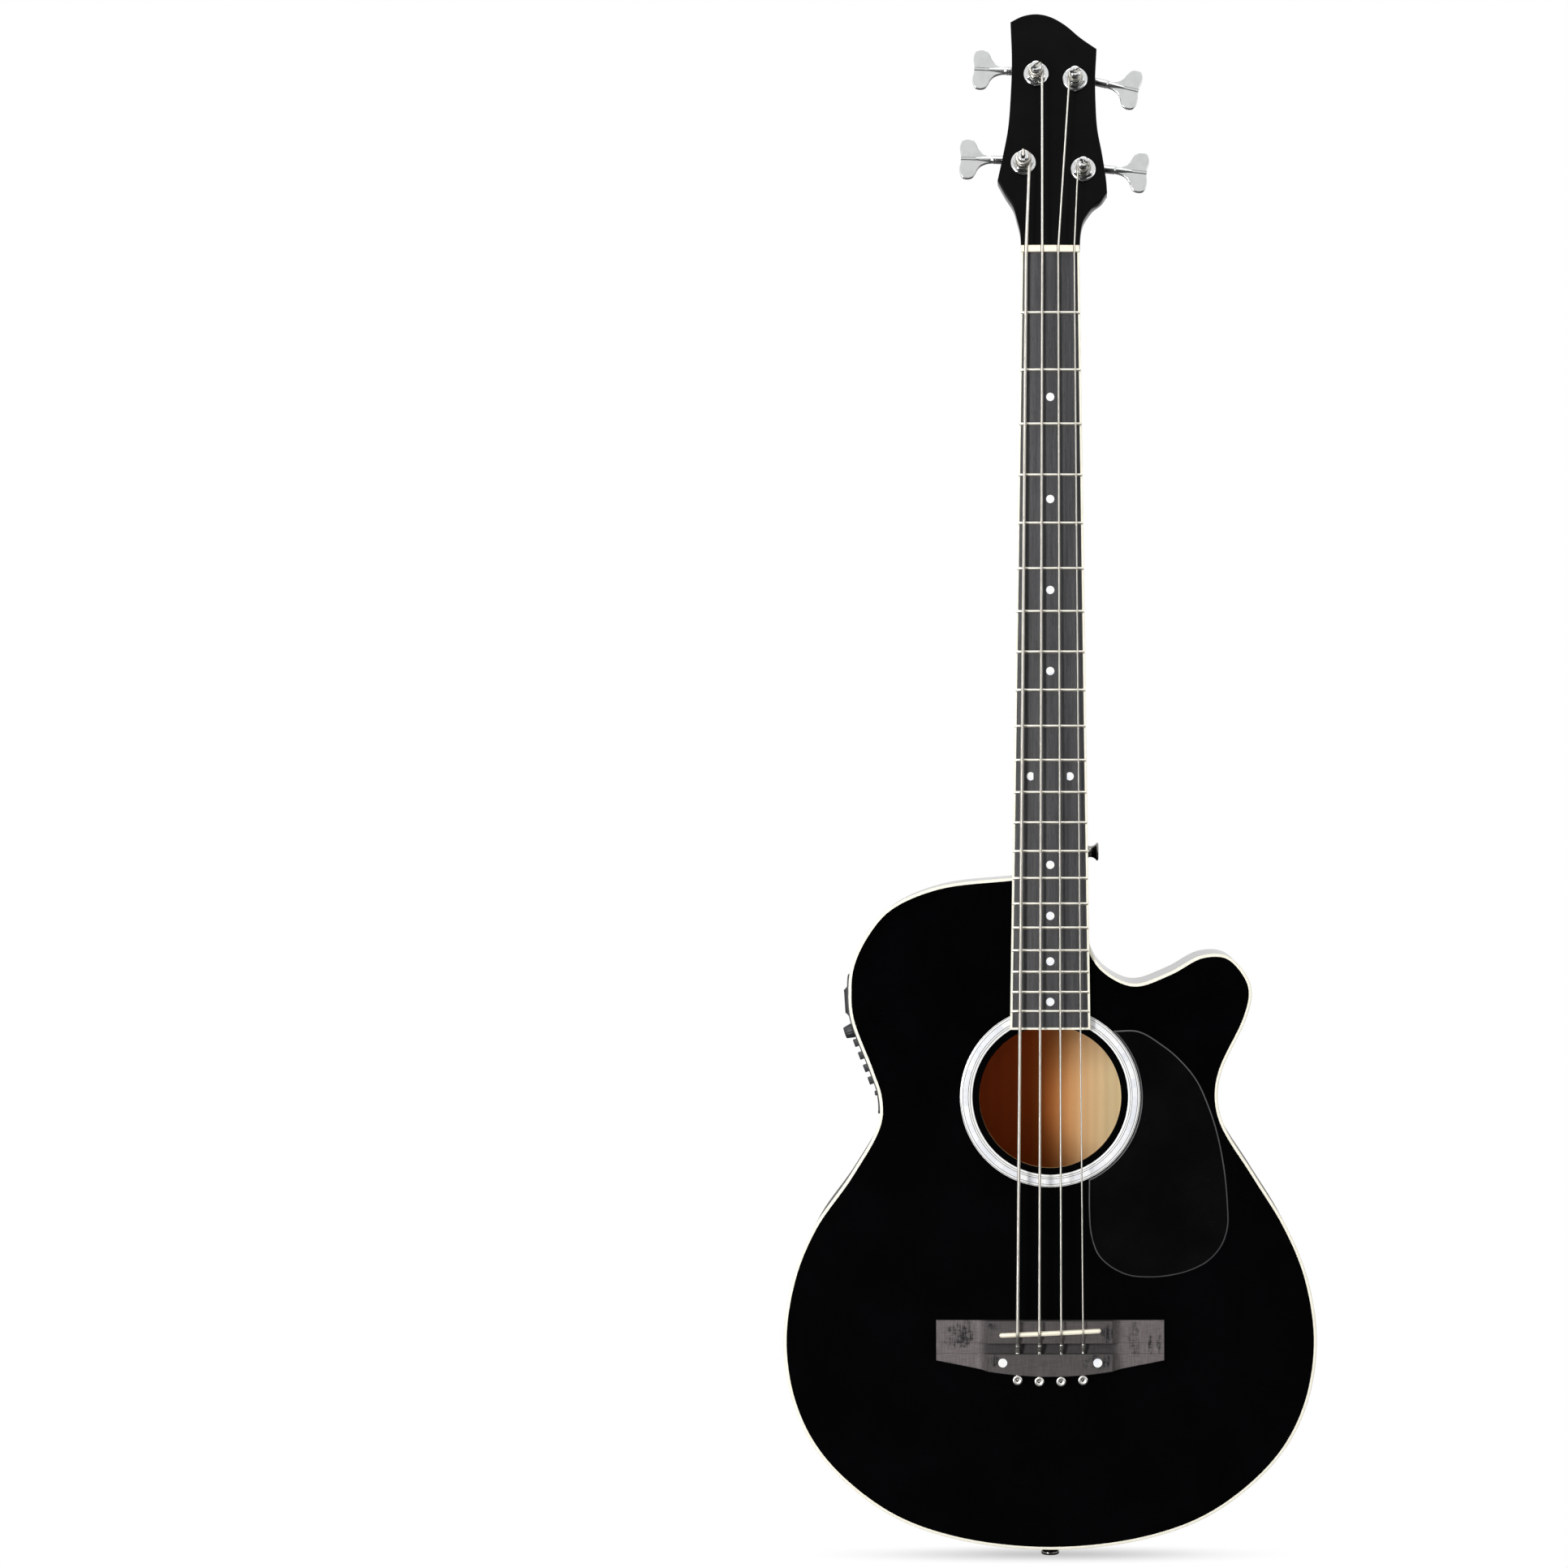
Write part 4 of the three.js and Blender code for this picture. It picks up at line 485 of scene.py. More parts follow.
@dataclass(frozen=True)
class Metal(Finish):
    """Plated or bare metal with fine scratches and finger haze."""

    colour: Colour = (0.8, 0.81, 0.81)
    gloss: float = 0.1
    haze: float = 0.08

    def paint(self, graph: Graph) -> dict[str, Any]:
        """Even metal, hazy in patches, with hairline scratches."""
        patch = graph.noise(9.0, detail=3.0)
        hair = graph.noise(0.5, (0.08, 1.0, 1.0), detail=2.0)
        return {
            "Base Color": graph.blend(patch.span(0.3, 0.8), self.colour, shade(self.colour, 0.92)),
            "Metallic": 1.0,
            "Roughness": self.gloss + patch.span(0.45, 0.8) * self.haze + hair * 0.03,
            "Normal": graph.bump(hair, 0.004, 0.25),
        }


@dataclass(frozen=True)
class Wrap(Finish):
    """Round wire wound on a string's core."""

    colour: Colour = (0.78, 0.75, 0.68)
    pitch: float = 0.45

    def paint(self, graph: Graph) -> dict[str, Any]:
        """Fine rings across the string, with painted shade darkening the grooves."""
        _, _, along = graph.parts(graph.place())
        rings = (along * (math.tau / self.pitch)).sine() * 0.5 + 0.5
        patch = graph.noise(12.0, detail=2.0)
        # Painted shade: the base colour is darker in the grooves between the turns.
        groove_shaded = graph.blend(rings.span(0.0, 0.45), shade(self.colour, 0.62), self.colour)
        return {
            "Base Color": graph.blend(patch * 0.25, groove_shaded, shade(self.colour, 0.85)),
            "Metallic": 1.0,
            "Roughness": 0.3 + patch * 0.1,
            "Normal": graph.bump(rings, 0.1, 0.5),
        }


@dataclass(frozen=True)
class Moulded(Finish):
    """Moulded plastic with spark texture."""

    colour: Colour = (0.028, 0.029, 0.032)
    rough: float = 0.42
    grain: float = 0.4

    def paint(self, graph: Graph) -> dict[str, Any]:
        """Even plastic with a fine grain and worn, lighter patches."""
        spark = graph.noise(self.grain, detail=2.0)
        patch = graph.noise(14.0, detail=3.0)
        return {
            "Base Color": graph.blend(patch.span(0.35, 0.8), self.colour, shade(self.colour, 1.35)),
            "Roughness": self.rough + spark * 0.14,
            "Normal": graph.bump(spark, 0.03, 0.35),
        }


BLACK = Lacquer("black_lacquer")
HEAD_BLACK = Lacquer("headstock_lacquer", (0.0018, 0.0018, 0.002), 0.12, 0.06)
IVORY = Celluloid("ivory_celluloid")
BONE = Bone("polished_bone")
FINGERBOARD = Board("fingerboard_wood")
BRIDGE_WOOD = WornWood("bridge_wood")
# The inside of back and sides, with painted light and shade across it from the bass side to the treble side.
BACK_INSIDE_PAINTED_LIGHT = PaintedLightWood("back_inside_painted_light", (1.0, 1.0, 1.0), (0.84, 0.79, 0.72), 9.6)
SPRUCE = RawWood("bare_spruce", (0.62, 0.43, 0.22), (0.5, 0.3, 0.12), 5.2)
MAHOGANY = RawWood("bare_mahogany", (0.36, 0.18, 0.09), (0.25, 0.1, 0.045), 12.0)
PEARL = Pearl("pearl_dots")
ROSETTE = Mosaic("rosette_mosaic")
CHROME = Metal("chrome", (0.82, 0.83, 0.83), 0.05, 0.07)
SATIN_CHROME = Metal("key_chrome", (0.76, 0.77, 0.77), 0.16, 0.08)
NICKEL = Metal("hazy_nickel", (0.3, 0.29, 0.27), 0.18, 0.1)
FRET = Metal("fret_metal", (0.93, 0.9, 0.8), 0.38, 0.1)
STEEL = Metal("plain_steel", (0.52, 0.52, 0.53), 0.3, 0.12)
BRASS = Metal("bare_brass", (0.68, 0.48, 0.2), 0.25, 0.12)
WIRE = Wrap("string_wrap")
TWIST = Wrap("string_twist", (0.88, 0.86, 0.8), 1.1)
PLASTIC = Moulded("case_plastic")
# Near-black plastic as painted shade on cut faces: inside slots, holes, the window, the finger grip and the
# tray's pocket.
RECESS_SHADE_PLASTIC = Moulded("recess_shade_plastic", (0.008, 0.008, 0.009), 0.5, 0.6)
RUBBER = Moulded("knob_plastic", (0.02, 0.0215, 0.0245), 0.36, 0.5)
MARK = Moulded("pale_mark", (0.5, 0.5, 0.48), 0.5, 0.8)
GUARD = Lacquer("guard_plastic", (0.0017, 0.0017, 0.0018), 0.12, 0.1)
GUARD_EDGE = Moulded("pickguard_edge", (0.05, 0.05, 0.053), 0.35, 0.8)
BALL_METAL = Metal("ball_metal", (0.93, 0.91, 0.87), 0.36, 0.1)
# Near-black metal as painted shade: on the cut faces of each post's slot and hollow, and in strips beside
# each key's rib.
PAINTED_SHADE_METAL = Metal("painted_shade_metal", (0.1, 0.1, 0.1), 0.25, 0.1)
CELL = Moulded("cell_casing", (0.05, 0.06, 0.09), 0.3, 1.0)


# Shapes


def spline(points: Sequence[Vector], steps: int) -> Loop:
    """A smooth line through points, centripetal so that it doesn't overshoot.

    Args:
        points: places that the line passes.
        steps: stretches between two places.

    Returns:
        The points of the line, ends included.
    """
    ends = [points[0] * 2 - points[1], *points, points[-1] * 2 - points[-2]]
    line: Loop = []
    for before, first, second, after in zip(ends, ends[1:], ends[2:], ends[3:]):
        legs = ((before, first), (first, second), (second, after))
        spans = [max((b - a).length ** 0.5, 1e-6) for a, b in legs]
        leave = ((first - before) / spans[0] - (second - before) / (spans[0] + spans[1])
                 + (second - first) / spans[1]) * spans[1]
        reach = ((second - first) / spans[1] - (after - first) / (spans[1] + spans[2])
                 + (after - second) / spans[2]) * spans[1]
        for i in range(steps):
            t = i / steps
            line.append(first + leave * t + (second * 3 - first * 3 - leave * 2 - reach) * t * t
                        + (first * 2 - second * 2 + leave + reach) * t ** 3)
    return [*line, points[-1].copy()]


def inset(loop: Sequence[Vector], distance: float) -> Loop:
    """A flat loop in X and Z with its line moved inwards.

    Args:
        loop: the points in order.
        distance: how far it moves; below 0 it moves outwards.

    Returns:
        The moved points.
    """
    area = sum(a.x * b.z - b.x * a.z for a, b in zip(loop, [*loop[1:], loop[0]]))
    sign = 1.0 if area > 0 else -1.0
    moved: Loop = []
    for i, point in enumerate(loop):
        before = (point - loop[i - 1]).normalized()
        after = (loop[(i + 1) % len(loop)] - point).normalized()
        inward = Vector((-(before.z + after.z), 0.0, before.x + after.x)).normalized() * sign
        lean = max(inward.dot(Vector((-before.z, 0.0, before.x)) * sign), 0.5)
        moved.append(point + inward * (distance / lean))
    return moved


def at_depth(loop: Sequence[Vector], depth: float) -> Loop:
    """A loop in X and Z laid at one depth."""
    return [Vector((p.x, depth, p.z)) for p in loop]


def circle(radius: float, height: float, steps: int) -> Loop:
    """A circle in X and Z round a height."""
    angles = [math.tau * i / steps for i in range(steps)]
    return [Vector((radius * math.cos(a), 0.0, height + radius * math.sin(a))) for a in angles]


def rounded_box(half: float, low: float, high: float, corner: float, steps: int) -> Loop:
    """A rectangle in X and Z with round corners.

    Args:
        half: half its width.
        low: its lower edge.
        high: its upper edge.
        corner: radius of the corners.
        steps: stretches in a corner.

    Returns:
        The points of the loop.
    """
    loop: Loop = []
    for x, z, start in ((half - corner, low + corner, -90), (half - corner, high - corner, 0),
                        (corner - half, high - corner, 90), (corner - half, low + corner, 180)):
        for i in range(steps + 1):
            angle = math.radians(start + 90 * i / steps)
            loop.append(Vector((x + corner * math.cos(angle), 0.0, z + corner * math.sin(angle))))
    return loop


def rounded(path: Sequence[Vector], radius: float, steps: int = 5) -> Loop:
    """A path whose corners are drawn as short arcs.

    Args:
        path: corner points.
        radius: how far from a corner its arc starts.
        steps: stretches in an arc.

    Returns:
        The points of the path.
    """
    line: Loop = [path[0].copy()]
    for before, corner, after in zip(path, path[1:], path[2:]):
        reach = min(radius, (corner - before).length / 2.2, (after - corner).length / 2.2)
        start = corner + (before - corner).normalized() * reach
        end = corner + (after - corner).normalized() * reach
        for i in range(steps + 1):
            t = i / steps
            line.append(start * (1 - t) ** 2 + corner * 2 * t * (1 - t) + end * t * t)
    return [*line, path[-1].copy()]


class Shape:
    """Faces gathered in millimetres before they become one mesh.

    An end face lies within one more ring, a little inside the rim, so that it shades flat: at cap_share of
    the rim's radius on a turned piece, and cap_inset further in on a plate.
    """

    cap_share = 0.96
    cap_inset = 0.12

    def __init__(self) -> None:
        """Starts empty."""
        self.points: Loop = []
        self.faces: list[tuple[int, ...]] = []
        self.tints: list[int] = []

    def add(self, points: Sequence[Vector]) -> list[int]:
        """Adds points and returns their numbers."""
        start = len(self.points)
        self.points.extend(Vector(point) for point in points)
        return list(range(start, len(self.points)))

    def face(self, corners: Sequence[int], tint: int = 0) -> None:
        """Adds one face with its finish's number."""
        self.faces.append(tuple(corners))
        self.tints.append(tint)

    def skin(self, rings: Sequence[Sequence[Vector]], along: bool = False, tint: int = 0) -> "Shape":
        """A skin over closed rings of equally many points, with flat ends.

        Args:
            rings: the rings in order.
            along: whether the last ring meets the first, instead of flat ends.
            tint: number of the finish.

        Returns:
            The shape itself.
        """
        rows = [self.add(ring) for ring in rings]
        pairs = list(zip(rows, rows[1:])) + ([(rows[-1], rows[0])] if along else [])
        for low, high in pairs:
            count = len(low)
            for j in range(count):
                k = (j + 1) % count
                self.face((low[j], low[k], high[k], high[j]), tint)
        if not along:
            self.face(rows[0][::-1], tint)
            self.face(rows[-1], tint)
        return self

    def block(self, low: Sequence[float], high: Sequence[float], tint: int = 0) -> "Shape":
        """A plain block between two corners."""
        (left, front, foot), (right, rear, head) = low, high
        corners = ((left, front), (right, front), (right, rear), (left, rear))
        return self.skin([[Vector((x, y, z)) for x, y in corners] for z in (foot, head)], tint=tint)

    def turned(self, profile: Profile, steps: int, axis: Axis = Axis.Y, centre: Vector = Vector(),
               tint: int = 0, trim: Optional[Callable[[float, float], float]] = None,
               closed: bool = False) -> "Shape":
        """A turned piece.

        Args:
            profile: radius and place along the axis of each ring.
            steps: sides.
            axis: the axis that it stands on.
            centre: where the axis's zero lies.
            tint: number of the finish.
            trim: changes a radius by the angle, as for a hexagon.
            closed: whether the profile's end meets its start, as for a ring.

        Returns:
            The shape itself.
        """
        rings = []
        first, last = ((radius * self.cap_share, place) for radius, place in (profile[0], profile[-1]))
        for radius, place in profile if closed else (first, *profile, last):
            ring = []
            for i in range(steps):
                angle = math.tau * i / steps
                reach = trim(radius, angle) if trim else radius
                a, b = reach * math.cos(angle), reach * math.sin(angle)
                ring.append(centre + {Axis.X: Vector((place, a, b)), Axis.Y: Vector((a, place, b)),
                                      Axis.Z: Vector((a, b, place))}[axis])
            rings.append(ring)
        return self.skin(rings, along=closed, tint=tint)

    def dot(self, across: float, face: float, up: float, radius: float, sunk: float, rim: float) -> None:
        """An inlaid dot by the place of its face, how deep it goes and how far its edge is rounded."""
        profile = [(radius, face + sunk), (radius, face + 0.05), (radius - rim, face)]
        self.turned(profile, 40, Axis.Y, Vector((across, 0.0, up)))

    def tube(self, path: Sequence[Vector], radii: Union[float, Sequence[float]], sides: int,
             tint: int = 0) -> "Shape":
        """A tube along a path.

        Args:
            path: the points of its middle line.
            radii: one radius, or one for each point.
            sides: number of sides.
            tint: number of the finish.

        Returns:
            The shape itself.
        """
        sizes = list(radii) if isinstance(radii, (list, tuple)) else [radii] * len(path)
        ends = zip([path[0], *path[:-1]], [*path[1:], path[-1]])
        runs = [(after - before).normalized() for before, after in ends]
        start = Vector((0, 1, 0)) if abs(runs[0].y) < 0.9 else Vector((1, 0, 0))
        across = start.cross(runs[0]).normalized()
        angles = [math.tau * j / sides for j in range(sides)]
        rings = []
        for point, run, size in zip(path, runs, sizes):
            across = (across - run * across.dot(run)).normalized()
            up = run.cross(across)
            rings.append([point + (across * math.cos(a) + up * math.sin(a)) * size for a in angles])
        return self.skin(rings, tint=tint)

    def plate(self, loop: Sequence[Vector], edge: Profile, rim_tint: int = 0) -> "Shape":
        """A plate with shaped edges: rings of an outline, each inset and at its own depth.

        Args:
            loop: the outline.
            edge: inset and depth of each ring, from one face to the other.
            rim_tint: number of the edge's finish; both faces have finish 0.

        Returns:
            The shape itself.
        """
        first, last = ((inward + self.cap_inset, depth) for inward, depth in (edge[0], edge[-1]))
        levels = (first, *edge, last)
        self.skin([at_depth(inset(loop, inward), depth) for inward, depth in levels], tint=rim_tint)
        self.tints[-2:] = [0, 0]
        return self

    def build(self, name: str, place: Matrix, *finishes: Finish,
              sharp: float = SHARP_EDGE) -> bpy.types.Object:
        """Makes the Blender object.

        Args:
            name: the piece's name.
            place: takes the shape's millimetres to the frame's metres.
            finishes: one for each tint number.
            sharp: angle in degrees above which an edge stays sharp.

        Returns:
            The object.
        """
        mesh = bpy.data.meshes.new(name)
        mesh.from_pydata([place @ point for point in self.points], [], self.faces)
        for finish in finishes:
            mesh.materials.append(finish.material())
        mesh.polygons.foreach_set("material_index", self.tints)
        work = bmesh.new()
        work.from_mesh(mesh)
        bmesh.ops.remove_doubles(work, verts=work.verts, dist=WELD)
        bmesh.ops.dissolve_degenerate(work, dist=WELD, edges=work.edges)
        bmesh.ops.recalc_face_normals(work, faces=work.faces)
        work.to_mesh(mesh)
        work.free()
        mesh.polygons.foreach_set("use_smooth", [True] * len(mesh.polygons))
        mesh.set_sharp_from_angle(angle=math.radians(sharp))
        mesh.update()
        made = bpy.data.objects.new(name, mesh)
        bpy.context.scene.collection.objects.link(made)
        return made


def deliver(piece: bpy.types.Object, body: str, slot: str, *nodes: str) -> bpy.types.Object:
    """Hands a piece over to the frame.

    Args:
        piece: the finished object.
        body: the body that it rides on.
        slot: the slot of its material; not used.
        nodes: the CAD nodes that it stands for.

    Returns:
        The piece.
    """
    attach(piece, body)
    if nodes:
        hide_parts(*nodes)
    log.info("%s rides on %s", piece.name, body)
    return piece


def coat(finish: Finish, *nodes: str) -> None:
    """Gives CAD nodes a finish.

    Args:
        finish: the finish.
        nodes: the nodes' names.
    """
    for name in nodes:
        mesh = frame["nodes"][name].data
        mesh.materials.clear()
        mesh.materials.append(finish.material())
        log.info("%s has the finish %s", name, finish.name)


def joint(name: str) -> dict[str, Any]:
    """The joint of that name."""
    return next(found for found in frame["joints"] if found["name"] == name)


def carve(piece: bpy.types.Object, finish: Finish, *cuts: tuple[Shape, Matrix]) -> None:
    """Cuts shapes out of a piece.

    Args:
        piece: the object that is cut.
        finish: the finish of the cut faces.
        cuts: the shapes with their places.
    """
    cutters = [shape.build("cutter", place, finish) for shape, place in cuts]
    for cutter in cutters:
        cut = piece.modifiers.new("cut", "BOOLEAN")
        cut.operation = "DIFFERENCE"
        cut.solver = "EXACT"
        cut.object = cutter
    bpy.context.view_layer.update()
    shaped = bpy.data.meshes.new_from_object(piece.evaluated_get(bpy.context.evaluated_depsgraph_get()))
    shaped.set_sharp_from_angle(angle=math.radians(SHARP_EDGE))
    piece.modifiers.clear()
    piece.data = shaped
    for cutter in cutters:
        bpy.data.objects.remove(cutter)


# Studio


@dataclass
class Studio:
    """Camera, floor, backdrop and lamps. The camera looks straight at the soundboard.

    The camera's sizes are in millimetres. The floor's and the lamps' are in metres, in the frame. A lamp has
    its name, its place, its width and height and its power.
    """

    distance: float = 3000.0
    eye: float = 589.9
    view_width: float = 1182.0
    side_step: float = -200.7
    sensor: float = 36.0
    floor_reach: float = 5.0
    floor_gap: float = 0.0004
    floor_fade: float = 0.5
    floor_grey: Colour = (0.86, 0.86, 0.86)
    floor_glow: float = 0.05
    far_glow: float = 0.1
    floor_share: float = 0.97
    shadow: tuple[float, float] = (205.0, 42.0)
    shadow_depth: float = 50.0
    shadow_share: float = 0.47
    glow: float = 0.45
    mirror: float = 0.9
    mirror_drop: float = 0.875
    dark_ahead: tuple[float, float] = (0.86, 0.965)
    dark_up: tuple[float, float] = (0.3, 0.46)
    lamp_aim: Triple = (0.0, 0.0, -0.5)
    lamp_base: Triple = (0.0, 0.0, -0.65)
    lamps: tuple[tuple[str, Triple, tuple[float, float], float], ...] = (
        ("key", (-1.95, -3.25, 0.35), (0.7, 2.0), 124.0),
        ("fill", (2.6, -2.4, 0.9), (1.6, 1.8), 9.0),
        ("top", (-0.2, -0.7, 2.6), (1.8, 1.0), 12.0),
        ("rear", (0.5, 3.0, 1.2), (2.4, 2.0), 40.0),
    )

    def camera(self) -> None:
        """Places the camera at the photograph's angle."""
        data = bpy.data.cameras.new("camera")
        data.sensor_width = self.sensor
        data.lens = self.sensor * self.distance / self.view_width
        data.shift_x = self.side_step / self.view_width
        made = bpy.data.objects.new("camera", data)
        made.location = BENCH @ Vector((0.0, -self.distance, self.eye))
        made.rotation_euler = (math.radians(90.0), 0.0, 0.0)
        bpy.context.scene.collection.objects.link(made)
        bpy.context.scene.camera = made

    def build(self) -> None:
        """Makes the floor, the white surroundings and the lamps."""
        bpy.context.scene.view_settings.view_transform = "Standard"
        self._floor()
        self._surroundings()
        self._lamps()

    @staticmethod
    def _seen(graph: Graph) -> tuple[Link, Link]:
        """What kind of ray looks.

        Args:
            graph: the nodes that ask.

        Returns:
            Whether it comes from the camera or through glass, and whether it is a reflection.
        """
        path = graph.tree.nodes.new("ShaderNodeLightPath")
        camera = Link(graph, path.outputs["Is Camera Ray"])
        through = Link(graph, path.outputs["Is Transmission Ray"])
        return camera + through * (1 - camera), Link(graph, path.outputs["Is Glossy Ray"])

    def _floor(self) -> None:
        """A pale round floor that keeps the shadow and fades into the white behind it."""
        shape = Shape()
        rings = [circle(self.floor_reach * share, 0.0, 72) for share in (0.02, 0.25, 1.0)]
        shape.skin([[Vector((p.x, p.z, 0.0)) for p in ring] for ring in rings])
        shape.faces.pop()
        shape.tints.pop()
        floor = shape.build("floor", Matrix.Translation((0.0, 0.0, FOOT - self.floor_gap)))
        material = bpy.data.materials.new("pale_floor")
        material.use_nodes = True
        graph = Graph(material.node_tree)
        camera, glossy = self._seen(graph)
        across, back, _ = graph.parts(graph.place())
        middle = FRONT / MM + self.shadow_depth
        away = (across / self.shadow[0]) ** 2 + ((back - middle) / self.shadow[1]) ** 2
        under = 1 - (away ** 0.5).span(0.0, 1.0)
        behind = (back * MM).span(0.0, self.floor_fade)
        glow = camera + (1 - camera) * glossy * (behind * self.far_glow + self.floor_glow)
        light = graph.node("Emission", {}, {"Color": EVEN, "Strength": glow})
        matt = graph.node("BsdfDiffuse", {}, {"Color": self.floor_grey})
        share = camera * (1 - under * self.shadow_share) + (1 - camera) * glossy * self.floor_share
        mixed = graph.node("MixShader", {}, {0: share, 1: matt, 2: light})
        graph.node("OutputMaterial", {}, {"Surface": mixed})
        floor.data.materials.append(material)

    def _surroundings(self) -> None:
        """White behind the guitar, and a darker studio in front of it for the gloss to show."""
        world = bpy.data.worlds.new("studio")
        bpy.context.scene.world = world
        world.use_nodes = True
        graph = Graph(world.node_tree)
        camera, glossy = self._seen(graph)
        _, back, upward = graph.parts(graph.node("TexCoord", result="Generated"))
        dark = (0.0 - back).span(*self.dark_ahead) * (1 - upward.span(*self.dark_up))
        mirror = self.mirror - dark * self.mirror_drop
        strength = camera + (1 - camera) * (glossy * mirror + (1 - glossy) * self.glow)
        light = graph.node("Background", {}, {"Color": EVEN, "Strength": strength})
        graph.node("OutputWorld", {}, {"Surface": light})

    def _lamps(self) -> None:
        """Soft rectangular lamps that face the middle of the guitar; gloss doesn't show the rear one."""
        for name, spot, size, power in self.lamps:
            data = bpy.data.lights.new(name, "AREA")
            data.shape = "RECTANGLE"
            data.size, data.size_y = size
            data.energy = power
            made = bpy.data.objects.new(name, data)
            made.location = Vector(spot) + Vector(self.lamp_base)
            aim = Vector(self.lamp_aim) - made.location
            made.rotation_euler = aim.to_track_quat("-Z", "Y").to_euler()
            made.visible_glossy = name != "rear"
            bpy.context.scene.collection.objects.link(made)


# Body

OUTLINE_SHARES = (
    (0.14, 0.925), (0.154, 0.892), (0.203, 0.863), (0.313, 0.842), (0.447, 0.859), (0.569, 0.884),
    (0.666, 0.883), (0.739, 0.852), (0.756, 0.827), (0.734, 0.789), (0.643, 0.712), (0.628, 0.673),
    (0.649, 0.634), (0.768, 0.557), (0.887, 0.48), (0.966, 0.403), (1, 0.305), (0.957, 0.209),
    (0.847, 0.132), (0.616, 0.055), (0.363, 0.0164), (0, 0), (-0.363, 0.0164), (-0.616, 0.055),
    (-0.847, 0.132), (-0.957, 0.209), (-1, 0.305), (-0.966, 0.403), (-0.886, 0.48), (-0.751, 0.557),
    (-0.645, 0.634), (-0.643, 0.673), (-0.675, 0.712), (-0.748, 0.789), (-0.757, 0.827), (-0.748, 0.866),
    (-0.698, 0.911), (-0.607, 0.954), (-0.424, 0.986), (-0.134, 1),
)


@dataclass
class Body:
    """Soundboard, sides, back and their bindings."""

    length: float = 507.0
    width: float = 402.0
    tail_height: float = 12.5
    tail_depth: float = 96.0
    heel_depth: float = 84.0
    arch: float = 5.0
    arch_margin: float = 3.0
    side: float = 2.2
    top: float = 3.0
    back: float = 3.0
    binding: float = 6.0
    edge: float = 0.9
    hole: float = 107.0
    hole_steps: int = 96
    neck_corner: float = 0.134
    steps: int = 8
    bands: int = 24
    sides: bpy.types.Object = field(init=False)

    def outline(self, steps: Optional[int] = None) -> Loop:
        """The outline seen from the front, from the cutaway round to the neck.

        Args:
            steps: stretches between two of its places, if not the body's own number.

        Returns:
            The points of the loop.
        """
        half = self.width / 2
        shares = [Vector((x * half, 0.0, self.tail_height + z * self.length)) for x, z in OUTLINE_SHARES]
        corner = Vector((self.neck_corner * half, 0.0, self.tail_height + self.length))
        return [*spline(shares, steps or self.steps), corner]

    def at_back(self, loop: Sequence[Vector], inward: float = 0.0) -> Loop:
        """A loop in X and Z laid on the arched back's outer face.

        Args:
            loop: the points in order.
            inward: how much further in it lies.

        Returns:
            The points as laid.
        """
        reach = self.width / 2 + self.arch_margin
        slope = (self.heel_depth - self.tail_depth) / self.length
        laid: Loop = []
        for p in loop:
            depth = self.tail_depth + self.arch * (1 - (p.x / reach) ** 2) + slope * (p.z - self.tail_height)
            laid.append(Vector((p.x, depth - inward, p.z)))
        return laid

    def _binding(self, lay: Callable[[Loop, float], Loop]) -> Shape:
        """A binding with a rounded outer edge.

        Args:
            lay: lays a loop at a distance from the front or from the back.

        Returns:
            The binding's shape.
        """
        bend = [(self.edge * (1 - math.sin(a)), self.edge * (1 - math.cos(a)))
                for a in (math.radians(18.0 * i) for i in range(6))]
        section = [(self.side, 0.0), *bend, (0.0, self.binding), (self.side, self.binding)]
        loop = self.outline()
        return Shape().skin([lay(inset(loop, inward), distance) for inward, distance in section], along=True)

    def soundboard(self) -> None:
        """The lacquered top with its soundhole, bare inside and at the hole's edge."""
        shape = Shape()
        outer = inset(self.outline(), self.side)
        hole = circle(self.hole / 2, HOLE_HEIGHT, self.hole_steps)
        triangles = tessellate_polygon([outer, hole])
        lift = Vector((0.0, self.top, 0.0))
        near = shape.add([*outer, *hole])
        far = shape.add([p + lift for p in (*outer, *hole)])
        for a, b, c in triangles:
            shape.face((near[a], near[b], near[c]))
            shape.face((far[c], far[b], far[a]), 1)
        count = len(outer)
        for start, total, tint in ((0, count, 0), (count, len(hole), 1)):
            for i in range(total):
                j, k = start + i, start + (i + 1) % total
                shape.face((near[j], near[k], far[k], far[j]), tint)
        made = shape.build("lacquered_top", BENCH, BLACK, SPRUCE)
        deliver(made, "body", "black_gloss_lacquer", "soundboard")

    def back_plate(self) -> None:
        """The arched back: lacquer outside, bare wood inside."""
        work = bmesh.new()
        loop = inset(self.outline(), self.side)
        work.faces.new([work.verts.new(point) for point in loop])
        for i in range(1, self.bands):
            x = self.width * (i / self.bands - 0.5)
            parts = [*work.verts, *work.edges, *work.faces]
            bmesh.ops.bisect_plane(work, geom=parts, plane_co=(x, 0, 0), plane_no=(1, 0, 0))
        bmesh.ops.triangulate(work, faces=work.faces)
        work.verts.ensure_lookup_table()
        flat = [vert.co.copy() for vert in work.verts]
        edges = [edge for edge in work.edges if len(edge.link_faces) == 1]
        shape = Shape()
        outside = shape.add(self.at_back(flat))
        inside = shape.add(self.at_back(flat, self.back))
        for face in work.faces:
            corners = [vert.index for vert in face.verts]
            shape.face([outside[i] for i in corners])
            shape.face([inside[i] for i in reversed(corners)], 1)
        for edge in edges:
            a, b = edge.verts[0].index, edge.verts[1].index
            shape.face((outside[a], outside[b], inside[b], inside[a]))
        work.free()
        deliver(shape.build("arched_back", BENCH, BLACK, BACK_INSIDE_PAINTED_LIGHT), "body", "back_wood", "back")

